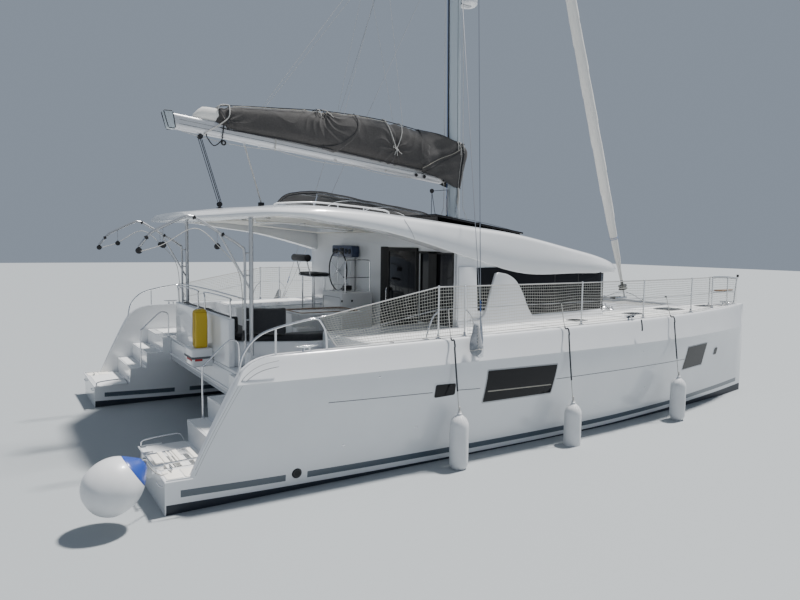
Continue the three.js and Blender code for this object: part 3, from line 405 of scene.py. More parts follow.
def sheet_grid(
    across: int, down: int, place: Callable[[float, float], Sequence[float]], wrap: bool = False
) -> Shape:
    """A grid laid on a surface.

    Args:
        across: spans in u.
        down: spans in v.
        place: the point for u and v, each from 0 to 1.
        wrap: whether the first and last v meet.

    Returns:
        The open surface.
    """
    bm = bmesh.new()
    bmesh.ops.create_grid(bm, x_segments=across, y_segments=down, size=0.5)
    for vert in bm.verts:
        u = round((vert.co.x + 0.5) * across) / across
        v = round((vert.co.y + 0.5) * down) / down
        vert.co = place(u, v)
    if wrap:
        bmesh.ops.remove_doubles(bm, verts=bm.verts, dist=1e-6)
    return bm


def loft_part(rings: Sequence[Sequence[Point]], cap: bool = True) -> Shape:
    """A skin through closed rings that have the same number of points.

    Args:
        rings: the rings, in order.
        cap: whether the ends are closed.

    Returns:
        The skin.
    """
    stations, around = len(rings) - 1, len(rings[0])

    def place(u: float, v: float) -> Point:
        """The ring's point at u and v."""
        return rings[round(u * stations)][round(v * around) % around]

    bm = sheet_grid(stations, around, place, wrap=True)
    if cap:
        bmesh.ops.holes_fill(bm, edges=[e for e in bm.edges if e.is_boundary], sides=0)
    bmesh.ops.recalc_face_normals(bm, faces=bm.faces)
    return bm


def tube_part(
    points: Sequence[Point], radius: float, sides: int = 8, closed: bool = False, radii: Sequence[float] = ()
) -> Shape:
    """A round tube along points.

    Args:
        points: the middle line.
        radius: the tube's radius.
        sides: faces around it.
        closed: whether the line is a loop.
        radii: one radius for each point, instead of radius.

    Returns:
        The closed tube.
    """
    line = [Vector(p) for p in points]
    count = len(line)
    tangents = []
    for i in range(count):
        ahead = line[(i + 1) % count] if closed else line[min(count - 1, i + 1)]
        behind = line[i - 1] if closed else line[max(0, i - 1)]
        tangents.append((ahead - behind).normalized())
    side = tangents[0].orthogonal().normalized()
    rings: list[list[Point]] = []
    for i in range(count):
        side = (side - tangents[i] * side.dot(tangents[i])).normalized()
        up = tangents[i].cross(side)
        size = radii[i] if radii else radius
        rings.append([tuple(line[i] + (side * cos(a) + up * sin(a)) * size) for a in turns(sides)])
    if closed:
        rings.append(rings[0])
        bm = loft_part(rings, cap=False)
        bmesh.ops.remove_doubles(bm, verts=bm.verts, dist=1e-6)
        bmesh.ops.recalc_face_normals(bm, faces=bm.faces)
        return bm
    return loft_part(rings)


def turn_to(origin: Sequence[float], direction: Sequence[float]) -> Matrix:
    """The matrix that takes +Z to a direction and the origin to a point."""
    turn = Vector((0, 0, 1)).rotation_difference(Vector(direction).normalized())
    return Matrix.Translation(origin) @ turn.to_matrix().to_4x4()


def lathe_part(profile: Outline, origin: Point, direction: Point = UP, sides: int = 24) -> Shape:
    """A profile of (radius, height) spun round a direction.

    Args:
        profile: the rows, from one end on the axis to the other.
        origin: where height 0 is.
        direction: the way of growing height.
        sides: faces around.

    Returns:
        The closed shape.
    """
    bm = bmesh.new()
    verts = [bm.verts.new((r, 0, h)) for r, h in profile]
    edges = [bm.edges.new(pair) for pair in zip(verts, verts[1:])]
    bmesh.ops.spin(
        bm, geom=verts + edges, cent=(0, 0, 0), axis=(0, 0, 1), angle=2 * pi, steps=sides, use_merge=True
    )
    bmesh.ops.remove_doubles(bm, verts=bm.verts, dist=1e-6)
    bmesh.ops.recalc_face_normals(bm, faces=bm.faces)
    bmesh.ops.transform(bm, matrix=turn_to(origin, direction), verts=bm.verts)
    return bm


def rod_part(start: Point, end: Point, r0: float, r1: float = 0, sides: int = 12) -> Shape:
    """A straight rod between two points."""
    a, b = Vector(start), Vector(end)
    bm = bmesh.new()
    place = turn_to((a + b) / 2, b - a)
    bmesh.ops.create_cone(
        bm, cap_ends=True, segments=sides, radius1=r0, radius2=r1 or r0, depth=(b - a).length, matrix=place
    )
    return bm


def ball_part(centre: Point, size: Point, sides: int = 12) -> Shape:
    """A ball or an egg."""
    bm = bmesh.new()
    place = Matrix.Translation(centre) @ Matrix.Diagonal((*size, 1))
    bmesh.ops.create_uvsphere(bm, u_segments=sides, v_segments=max(6, sides // 2), radius=1, matrix=place)
    return bm


def net_part(
    across: int, down: int, place: Callable[[float, float], Sequence[float]], thickness: float
) -> Shape:
    """A knotted net of square meshes on a surface."""
    bm = sheet_grid(across, down, place)
    bmesh.ops.wireframe(
        bm, faces=bm.faces, thickness=thickness, use_replace=True, use_boundary=True, use_even_offset=False
    )
    bmesh.ops.recalc_face_normals(bm, faces=bm.faces)
    return bm


def frame_part(node: str, dissolve: float = 1) -> Shape:
    """A merged copy of a frame node's mesh, with its flat faces joined."""
    bm = bmesh.new()
    bm.from_mesh(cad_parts[node].data)
    bmesh.ops.remove_doubles(bm, verts=bm.verts, dist=2e-5)
    if dissolve:
        bmesh.ops.dissolve_limit(bm, angle_limit=radians(dissolve), verts=bm.verts, edges=bm.edges)
    return bm


def mirror_y(bm: Shape) -> Shape:
    """Turns a starboard shape into its port twin, in place."""
    bmesh.ops.scale(bm, vec=(1, -1, 1), verts=bm.verts)
    bmesh.ops.reverse_faces(bm, faces=bm.faces)
    return bm


def carve(part: Shape, cutters: Sequence[Shape]) -> Shape:
    """Cuts shapes out of a shape.

    Args:
        part: the shape, which is used up.
        cutters: closed shapes, which are used up.

    Returns:
        What is left of the shape.
    """
    made = []
    for bm in (part, *cutters):
        mesh = bpy.data.meshes.new("carving")
        bm.to_mesh(mesh)
        bm.free()
        thing = bpy.data.objects.new("carving", mesh)
        bpy.context.collection.objects.link(thing)
        made.append(thing)
    for tool in made[1:]:
        cut = made[0].modifiers.new("cut", "BOOLEAN")
        cut.operation = "DIFFERENCE"
        cut.solver = "EXACT"
        cut.object = tool
    shaped = made[0].evaluated_get(bpy.context.evaluated_depsgraph_get())
    result = bmesh.new()
    result.from_mesh(shaped.data)
    for thing in made:
        bpy.data.meshes.remove(thing.data)
    bmesh.ops.remove_doubles(result, verts=result.verts, dist=1e-5)
    return result


class Piece:
    """One named piece of the boat, put together from shapes."""

    def __init__(self, name: str, body: str = BOAT, side: Side = Side.STARBOARD) -> None:
        """Starts an empty piece that rides on a body; a port piece turns over what is added."""
        self.name = name
        self.body = body
        self.side = side
        self.bm = bmesh.new()
        self.finishes: list[Finish] = []

    def index(self, finish: Finish) -> int:
        """The place of a finish among this piece's materials."""
        if finish not in self.finishes:
            self.finishes.append(finish)
        return self.finishes.index(finish)

    def add(self, part: Shape, finish: Finish, keep: bool = False) -> "Piece":
        """Adds a starboard shape on this piece's side."""
        return self.join(mirror_y(part) if self.side is Side.PORT else part, finish, keep)

    def tube(
        self, finish: Finish, points: Sequence[Point], radius: float, sides: int = 8, closed: bool = False
    ) -> None:
        """Adds a round tube along points."""
        self.add(tube_part(points, radius, sides, closed), finish)

    def lathe(
        self, finish: Finish, profile: Outline, origin: Point, direction: Point = UP, sides: int = 24
    ) -> None:
        """Adds a profile of (radius, height) spun round a direction."""
        self.add(lathe_part(profile, origin, direction, sides), finish)

    def rod(
        self, finish: Finish, start: Point, end: Point, r0: float, r1: float = 0, sides: int = 12
    ) -> None:
        """Adds a straight rod between two points."""
        self.add(rod_part(start, end, r0, r1, sides), finish)

    def box(self, finish: Finish, low: Point, high: Point, bevel: float = 0, segments: int = 2) -> None:
        """Adds a box with softened edges."""
        self.add(box_part(low, high, bevel, segments), finish)

    def ball(self, finish: Finish, centre: Point, size: Point, sides: int = 12) -> None:
        """Adds a ball or an egg."""
        self.add(ball_part(centre, size, sides), finish)

    def dress(self, node: str, finish: Finish, edge: float, segments: int = 2, angle: float = 30) -> None:
        """Adds a frame node's own shape with softened edges."""
        shape = frame_part(node)
        soften(shape, edge, segments, angle)
        self.join(shape, finish)

    def join(self, part: Shape, finish: Finish, keep: bool = False) -> "Piece":
        """Adds a shape as it lies, in one finish.

        Args:
            part: the shape, which is used up.
            finish: its finish.
            keep: whether the shape's own material numbers stay.

        Returns:
            This piece.
        """
        index = self.index(finish)
        for face in part.faces:
            face.smooth = True
            if not keep:
                face.material_index = index
        mesh = bpy.data.meshes.new("part")
        part.to_mesh(mesh)
        part.free()
        self.bm.from_mesh(mesh)
        bpy.data.meshes.remove(mesh)
        return self

    def both(self, part: Shape, finish: Finish) -> "Piece":
        """Adds a starboard shape and its port twin."""
        twin = mirror_y(part.copy())
        return self.add(part, finish).add(twin, finish)

    def done(self, nodes: Sequence[str] = (), angle: float = 32, bevel: float = 0) -> bpy.types.Object:
        """Makes the object.

        Args:
            nodes: the frame nodes that this piece stands for.
            angle: faces that meet at more than this many degrees keep a sharp edge.
            bevel: width of a live bevel on sharp edges.

        Returns:
            The object, riding on its body.
        """
        mesh = bpy.data.meshes.new(self.name)
        self.bm.normal_update()
        self.bm.to_mesh(mesh)
        self.bm.free()
        thing = bpy.data.objects.new(self.name, mesh)
        bpy.context.collection.objects.link(thing)
        for finish in self.finishes:
            mesh.materials.append(finish.material())
        mesh.set_sharp_from_angle(angle=radians(angle))
        if bevel:
            edge = thing.modifiers.new("edge", "BEVEL")
            edge.width = bevel
            edge.segments = 2
            edge.limit_method = "ANGLE"
            edge.angle_limit = radians(angle)
            edge.harden_normals = False
        if self.body:
            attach(thing, self.body)
        if nodes:
            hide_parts(*nodes)
        LOG.info("%s: %d faces", self.name, len(mesh.polygons))
        return thing


def inflate(part: Shape, cap: float, voxel: float = 0.02, pressure: float = 4) -> Shape:
    """Swells a closed shape as a stuffed cover does.

    Args:
        part: the closed shape, which is used up.
        cap: how far a point may move.
        voxel: grain of the new mesh.
        pressure: pressure inside.

    Returns:
        The swollen shape.
    """
    mesh = bpy.data.meshes.new("stuffing")
    part.to_mesh(mesh)
    part.free()
    thing = bpy.data.objects.new("stuffing", mesh)
    bpy.context.collection.objects.link(thing)
    grain = thing.modifiers.new("grain", "REMESH")
    grain.mode = "VOXEL"
    grain.voxel_size = voxel
    fine = bpy.data.meshes.new_from_object(thing.evaluated_get(bpy.context.evaluated_depsgraph_get()))
    thing.modifiers.remove(grain)
    thing.data = fine
    start = [vert.co.copy() for vert in fine.vertices]
    cloth = thing.modifiers.new("stuffed", "CLOTH")
    cloth.settings.use_pressure = True
    cloth.settings.uniform_pressure_force = pressure
    cloth.settings.tension_stiffness = 20
    cloth.settings.compression_stiffness = 20
    cloth.settings.bending_stiffness = 2
    cloth.settings.effector_weights.gravity = 0
    cloth.collision_settings.use_collision = False
    for step in range(1, 21):
        bpy.context.scene.frame_set(step)
    swollen = thing.evaluated_get(bpy.context.evaluated_depsgraph_get()).to_mesh()
    result = bmesh.new()
    result.from_mesh(swollen)
    result.verts.ensure_lookup_table()
    for vert, was in zip(result.verts, start):
        move = vert.co - was
        if move.length > cap:
            vert.co = was + move.normalized() * cap
    thing.evaluated_get(bpy.context.evaluated_depsgraph_get()).to_mesh_clear()
    bpy.data.objects.remove(thing)
    bpy.data.meshes.remove(mesh)
    bpy.data.meshes.remove(fine)
    bpy.context.scene.frame_set(1)
    bmesh.ops.smooth_vert(
        result, verts=result.verts, factor=0.4, use_axis_x=True, use_axis_y=True, use_axis_z=True
    )
    return result


# Sizes of the hulls that the frame has too. Columns: x, keel, waterline, side, deck, inner
STATIONS: Sequence[Row] = (
    (-6.4, -0.05, 0.655, 0.72, 0.78, 0.85), (-5, -0.29, 0.65, 0.82, 0.858, 0.85),
    (-2.5, -0.5, 0.64, 0.872, 0.898, 0.85), (1, -0.56, 0.59, 0.862, 0.896, 0.85),
    (3, -0.5, 0.44, 0.728, 0.79, 0.85), (3.9, -0.44, 0.345, 0.59, 0.672, 0.85),
    (5.2, -0.3, 0.19, 0.35, 0.43, 0.52), (6.1, -0.17, 0.062, 0.128, 0.17, 0.19),
    (6.4, -0.11, 0.014, 0.022, 0.028, 0.028)
)
HULL_Y = 2.95
INNER_W = 0.85
SEAM_Z = 1.5
TUNNEL_Z = 0.85
PLATFORM_Z = 0.43
SOLE_Z = 1.3
BULWARK_W = 0.64
NONSKID_THICK = 0.0022
RAIL_Y = -3.66
WALL_Y = -2.8015
BULKHEAD_X = -1.6404
NET_Z = 1.806


def deck_z(x: float) -> float:
    """Height of the side deck."""
    return 1.89 + 0.0145 * x


def outer_profile(x: float) -> list[Pair]:
    """(width from the hull's middle, z) rows of the outer side, from the deck joint down to the keel."""
    keel, water, side, deck = (along(STATIONS, c, x) for c in (1, 2, 3, 4))
    return [
        (deck - 0.014, SEAM_Z), (side, 1.15), (water + (side - water) * 0.3, 0.32), (water, 0),
        (water * 0.84, keel * 0.5), (water * 0.5, keel * 0.9), (water * 0.16, keel)
    ]


def hull_side(x: float, z: float) -> float:
    """The y of the starboard hull's outer skin at a height between the waterline and the deck edge."""
    if z > SEAM_Z:
        return -HULL_Y - along(STATIONS, 4, x)
    line = smooth_line(outer_profile(x), 8)
    for (w0, z0), (w1, z1) in zip(line, line[1:]):
        if z1 <= z <= z0:
            t = (z - z0) / (z1 - z0)
            return -HULL_Y - (w0 + (w1 - w0) * t)
    return -HULL_Y - line[0][0]


# How far the painted lines dip below level. Columns: x, height
LINE_DIP: Sequence[Row] = (
    (-6.4, 0), (-4.8, -0.05), (-2.4, -0.09), (0, -0.1), (2.8, -0.075), (3.6, -0.05), (6.2, 0.03)
)


@dataclass
class Hulls:
    """The two hulls with their decks and painted stripes."""

    stations: int = 96
    slope: Outline = (
        (-6.7, 0.43), (-6.11, 0.43), (-5.86, 0.96), (-5.56, 1.53), (-5.43, 1.69), (-5.26, 1.78),
        (-5.05, 1.8168)
    )
    treads: Outline = ((-5.76, 0.43), (-5.46, 0.72), (-5.15, 1.01), (-3.95, 1.3), (-3.65, 1.57))
    stripe_low: float = 0.2
    stripe_high: float = 0.288
    boot_high: float = 0.125
    stripe_spans: Outline = ((-6.22, -4.9), (-4.6, 6.15))

    def hull_ring(self, x: float) -> list[Point]:
        """One section of the starboard hull."""
        keel, water, inner = (along(STATIONS, c, x) for c in (1, 2, 5))
        top = min(inner, INNER_W)
        foot = min(water * 1.02, top)
        outer = smooth_line(outer_profile(x), 5)
        bottom = smooth_line([(water * 0.16, keel), (-water * 0.16, keel)], 3)[1:-1]
        inner_low = smooth_line(
            [(-water * 0.16, keel), (-water * 0.5, keel * 0.9), (-water * 0.84, keel * 0.5), (-foot, 0)], 5
        )
        inner_high = smooth_line([(-foot, 0), (-foot - (top - foot) * 0.45, 0.42), (-top, TUNNEL_Z)], 5)[1:]
        upper = [(-top, z) for z in spread(TUNNEL_Z, SEAM_Z, 4)[1:]]
        return [(x, -HULL_Y - w, z) for w, z in (*outer, *bottom, *inner_low, *inner_high, *upper)]

    def deck_ring(self, x: float) -> list[Point]:
        """One section of the starboard deck and bulwark."""
        deck = along(STATIONS, 4, x)
        inner = min(along(STATIONS, 5, x), INNER_W)
        top = deck_z(x)
        lip = min(1, deck / 0.16)
        tall = top - SEAM_Z
        band = smooth_line(
            [
                (deck, SEAM_Z + 0.0003), (deck - 0.038 * lip, SEAM_Z + tall * 0.3),
                (deck - 0.072 * lip, SEAM_Z + tall * 0.58), (deck - 0.1 * lip, SEAM_Z + tall * 0.82),
                (deck - 0.122 * lip, SEAM_Z + tall * 0.955), (deck - 0.16 * lip, top)
            ], 4
        )
        chamfer = [*band, (-inner, top), (-inner, SEAM_Z + 0.0003)]
        return [(x, -HULL_Y - w, z) for w, z in chamfer]

    def xs(self) -> list[float]:
        """Places of the sections, closer together at the ends."""
        return eased(-6.4, 6.4, self.stations)

    def stern_cutters(self) -> list[Shape]:
        """What the stern slope, the steps and the engine bay take away."""
        curve = smooth_line(self.slope[1:], 6)
        line = [(-6.9, 0.43), *curve, (-5.05, 2.8), (-6.9, 2.8)]
        slope = prism_part(line, Plane.XZ, -4.2, -1.9)
        steps = [(-6.9, 0.43)]
        for i, (x, z) in enumerate(self.treads):
            steps += [(x, z), (x, self.treads[i + 1][1] if i + 1 < len(self.treads) else 2.7)]
        steps.append((-6.9, 2.7))
        stair = prism_part(steps, Plane.XZ, -HULL_Y - BULWARK_W, -1.9, 0)
        lid = box_part((-5.045, -3.445, 1.2697), (-4.105, -2.305, 1.6))
        bay = box_part((-4.98, -3.37, 0.25), (-4.17, -2.4, 1.6))
        return [slope, stair, lid, bay]

    def stripe(self, bm: Shape, piece: Piece) -> None:
        """Paints the boot band, the stripe and the antifouling on the hull's own faces."""
        for vert in bm.verts:
            vert.co.z -= along(LINE_DIP, 1, vert.co.x)
        cuts = [((0, 0, z), (0, 0, 1)) for z in (self.boot_high, self.stripe_low, self.stripe_high)]
        cuts += [((x, 0, 0), (1, 0, 0)) for span in self.stripe_spans for x in span]
        for where, normal in cuts:
            bmesh.ops.bisect_plane(
                bm, geom=[*bm.verts, *bm.edges, *bm.faces], plane_co=where, plane_no=normal
            )
        white, grey, boot = (piece.index(f) for f in (GELCOAT, STRIPE, ANTIFOUL))
        for face in bm.faces:
            middle = face.calc_center_median()
            face.material_index = white
            steep = abs(face.normal.z) < 0.75 and abs(face.normal.x) < 0.9
            if middle.z < self.boot_high and middle.x > -6.39:
                face.material_index = boot
            elif steep and self.stripe_low < middle.z < self.stripe_high:
                if any(low < middle.x < high for low, high in self.stripe_spans):
                    face.material_index = grey
        for vert in bm.verts:
            vert.co.z += along(LINE_DIP, 1, vert.co.x)

    def build(self) -> None:
        """Makes both hulls with their decks."""
        for side in Side:
            self.build_side(side)

    def build_side(self, side: Side) -> None:
        """Makes one hull with its deck."""
        bore = rod_part((-5.62, -HULL_Y, -0.9), (-5.62, -HULL_Y, 0.262), 0.0309, sides=16)
        shell = carve(loft_part([self.hull_ring(x) for x in self.xs()]), [*self.stern_cutters(), bore])
        hull = Piece(f"hull_shell_{side.word}", side=side)
        self.stripe(shell, hull)
        hull.add(shell, GELCOAT, keep=True)
        if side is Side.STARBOARD:
            for y in (-3.287, -2.685):
                hull.box(STEEL, (-6.47, y, 0.415), (-6.33, y + 0.012, 0.515), 0.004)
        hull.done([f"hull_{side.word}"], angle=28)
        deck = Piece(f"deck_moulding_{side.word}", side=side)
        deck.add(carve(loft_part([self.deck_ring(x) for x in self.xs()]), self.stern_cutters()), GELCOAT)
        deck.done([f"deck_{side.word}"], angle=28, bevel=0.008)


@dataclass
class HullSides:
    """Windows, portlights, joint lines, outlets and marks on the topsides of one hull, with a painted shadow
    line under the band.
    """

    side: Side
    window: Outline = ((-1.782, 0.847), (-0.369, 0.839), (-0.315, 1.308), (-1.743, 1.333))
    fore_window: Outline = ((3.395, 0.836), (4.199, 0.855), (4.241, 1.292), (3.434, 1.282))
    portlight: Outline = ((-2.7, 1.03), (-2.35, 1.04), (-2.35, 1.2), (-2.69, 1.21))
    fore_portlight: Outline = ((4.676, 1.006), (4.8, 1.009), (4.816, 1.141), (4.691, 1.138))
    joint_line: Outline = (
        (-4.37, 1.15), (-2.5, 1.1), (-2.233, 1.092), (-1.797, 1.075), (-0.29, 1.062), (1.291, 1.06),
        (2.9, 1.051), (3.42, 1.05)
    )
    outlet: Pair = (-4.75, 0.235)

    def panel(self, corners: Outline, grow: float, proud: float, depth: float, radius: float) -> Shape:
        """A plate that follows the topsides.

        Args:
            corners: (x, z) corners, counterclockwise from low and aft.
            grow: how far the outline is pushed out.
            proud: how far the face stands off the hull.
            depth: the plate's thickness.
            radius: radius of the corners.

        Returns:
            The closed plate.
        """
        mid = Vector((sum(c[0] for c in corners) / 4, sum(c[1] for c in corners) / 4))
        pushed = []
        for x, z in corners:
            away = Vector((x, z)) - mid
            pushed.append((x + copysign(grow, away.x), z + copysign(grow, away.y), radius))
        outline = rounded(pushed, 5)
        bm = bmesh.new()
        face = bm.faces.new([bm.verts.new((x, 0, z)) for x, z in outline])
        bmesh.ops.triangulate(bm, faces=[face])
        bmesh.ops.subdivide_edges(bm, edges=bm.edges, cuts=3, use_grid_fill=True)
        for vert in bm.verts:
            vert.co.y = hull_side(vert.co.x, vert.co.z) - proud
        grown = bmesh.ops.extrude_face_region(bm, geom=list(bm.faces))["geom"]
        bmesh.ops.translate(
            bm, vec=(0, depth, 0), verts=[g for g in grown if isinstance(g, bmesh.types.BMVert)]
        )
        bmesh.ops.recalc_face_normals(bm, faces=bm.faces)
        return bm

    def line(self, points: Outline, radius: float, proud: float = 0) -> Shape:
        """A thin round line along the topsides."""
        soft = smooth_line(points, 8) if len(points) < 12 else points
        return tube_part([(x, hull_side(x, z) - proud, z) for x, z in soft], radius, 6)

    def build(self) -> None:
        """Makes the topside fittings of this hull."""
        piece = Piece(f"hull_windows_{self.side.word}", side=self.side)
        for corners, radius in ((self.window, 0.02), (self.fore_window, 0.02)):
            piece.add(self.panel(corners, 0.022, 0.002, 0.02, 0.03), SEAL_AND_SHADOW_GREY)
            piece.add(self.panel(corners, 0, 0.006, 0.02, radius), DARK_GLASS)
        for corners in (self.portlight, self.fore_portlight):
            piece.add(self.panel(corners, 0.03, 0.004, 0.02, 0.055), GELCOAT)
            piece.add(self.panel(corners, 0.01, 0.007, 0.02, 0.04), SEAL_AND_SHADOW_GREY)
            piece.add(self.panel(corners, -0.006, 0.01, 0.02, 0.03), DARK_GLASS)
        # A pale line across the large window's dark glass, drawn in the webbing's colour.
        piece.add(self.line([(-1.718, 1.013), (-0.398, 0.982)], 0.0115, 0.002), WEBBING)
        piece.done(angle=25)
        marks = Piece(f"hull_lines_{self.side.word}", side=self.side)
        soft = smooth_line(self.joint_line, 12)
        for low, high in ((-4.4, -2.73), (-2.31, -1.8), (-0.31, 3.38)):
            marks.add(self.line([p for p in soft if low <= p[0] <= high], 0.0055, -0.0015), GROOVE)
        # Grey line along the knuckle under the band: a painted shadow line.
        seam = [(-5.52 + 0.24 * i, 1.503) for i in range(49)]
        marks.tube(SEAL_AND_SHADOW_GREY, [(x, hull_side(x, 1.49) + 0.003, z) for x, z in seam], 0.006, 6)
        x, z = self.outlet
        y = hull_side(x, z)
        marks.lathe(
            BLACK, [(0, 0.02), (0.052, 0.02), (0.064, 0.012), (0.07, 0), (0.07, -0.03), (0, -0.03)],
            (x, y, z), (0, -1, 0), 32
        )
        marks.lathe(
            RUBBER, [(0, 0.024), (0.036, 0.023), (0.04, 0.018), (0.04, 0), (0, 0)], (x, y, z), (0, -1, 0), 24
        )
        for px, pz, r in (
            (-3.62, 1.42, 0.014), (-2.95, 0.62, 0.016), (0.9, 0.5, 0.016), (2.2, 0.62, 0.014),
            (-4.1, 0.52, 0.018), (1.9, 1.33, 0.012)
        ):
            y = hull_side(px, pz)
            marks.lathe(
                STEEL, [(0, 0.004), (r * 0.6, 0.004), (r, 0.001), (r, -0.02), (0, -0.02)], (px, y, pz),
                (0, -1, 0), 16
            )
        marks.done(angle=30)


# Rows of the rigid top. Columns: x, half width, upper edge, lower edge
TOP_ROWS: Sequence[Row] = (
    (-5.5, 1.25, 3.63, 3.555), (-5.4, 1.45, 3.64, 3.558), (-5.12, 1.88, 3.665, 3.568),
    (-4.86, 2.3, 3.69, 3.578), (-4.6, 2.64, 3.705, 3.588), (-4.25, 2.79, 3.72, 3.57),
    (-3.9, 2.83, 3.725, 3.52), (-3.09, 2.84, 3.675, 3.42), (-2.59, 2.85, 3.63, 3.32),
    (-1.97, 2.85, 3.575, 3.165), (-1.31, 2.85, 3.51, 2.99), (-0.15, 2.85, 3.39, 2.73),
    (1.2, 2.84, 3.15, 2.715), (1.95, 2.8, 3.01, 2.71), (2.55, 2.56, 2.88, 2.71), (2.86, 2.1, 2.8, 2.712),
    (3, 1.3, 2.765, 2.714)
)
CROWN = 0.15
CEILING_DROP = 0.11


def top_profile(x: float) -> list[Pair]:
    """(y, z) rows of the rigid top's port half, from the lower edge to the crown."""
    half, upper, lower = (along(TOP_ROWS, c, x) for c in (1, 2, 3))
    tall = max(0.02, upper - lower)
    crown = CROWN * min(1, tall / 0.25)
    edge = rounded(
        [
            (half - 0.3, lower, 0), (half - 0.012, lower, 0.02), (half, lower + tall * 0.42, tall * 0.3),
            (half - 0.075, upper - 0.012, 0.07), (half - 0.4, upper + crown * 0.28, 0)
        ], 5
    )[1:-1]
    top = smooth_line(
        [
            (half - 0.22, upper + crown * 0.13), (half * 0.8, upper + crown * 0.42),
            (half * 0.55, upper + crown * 0.76), (half * 0.25, upper + crown * 0.96), (0, upper + crown)
        ], 4
    )
    return [*edge, *top]


def roof_z(x: float, y: float) -> float:
    """Height of the rigid top's upper surface."""
    line = top_profile(x)[8:]
    y = abs(y)
    for (y0, z0), (y1, z1) in zip(line, line[1:]):
        if y1 <= y <= y0:
            return z0 + (z1 - z0) * (y0 - y) / max(1e-6, y0 - y1)
    return line[0][1]


def ceiling_z(x: float) -> float:
    """Height of the ceiling."""
    return along(TOP_ROWS, 2, x) - CEILING_DROP


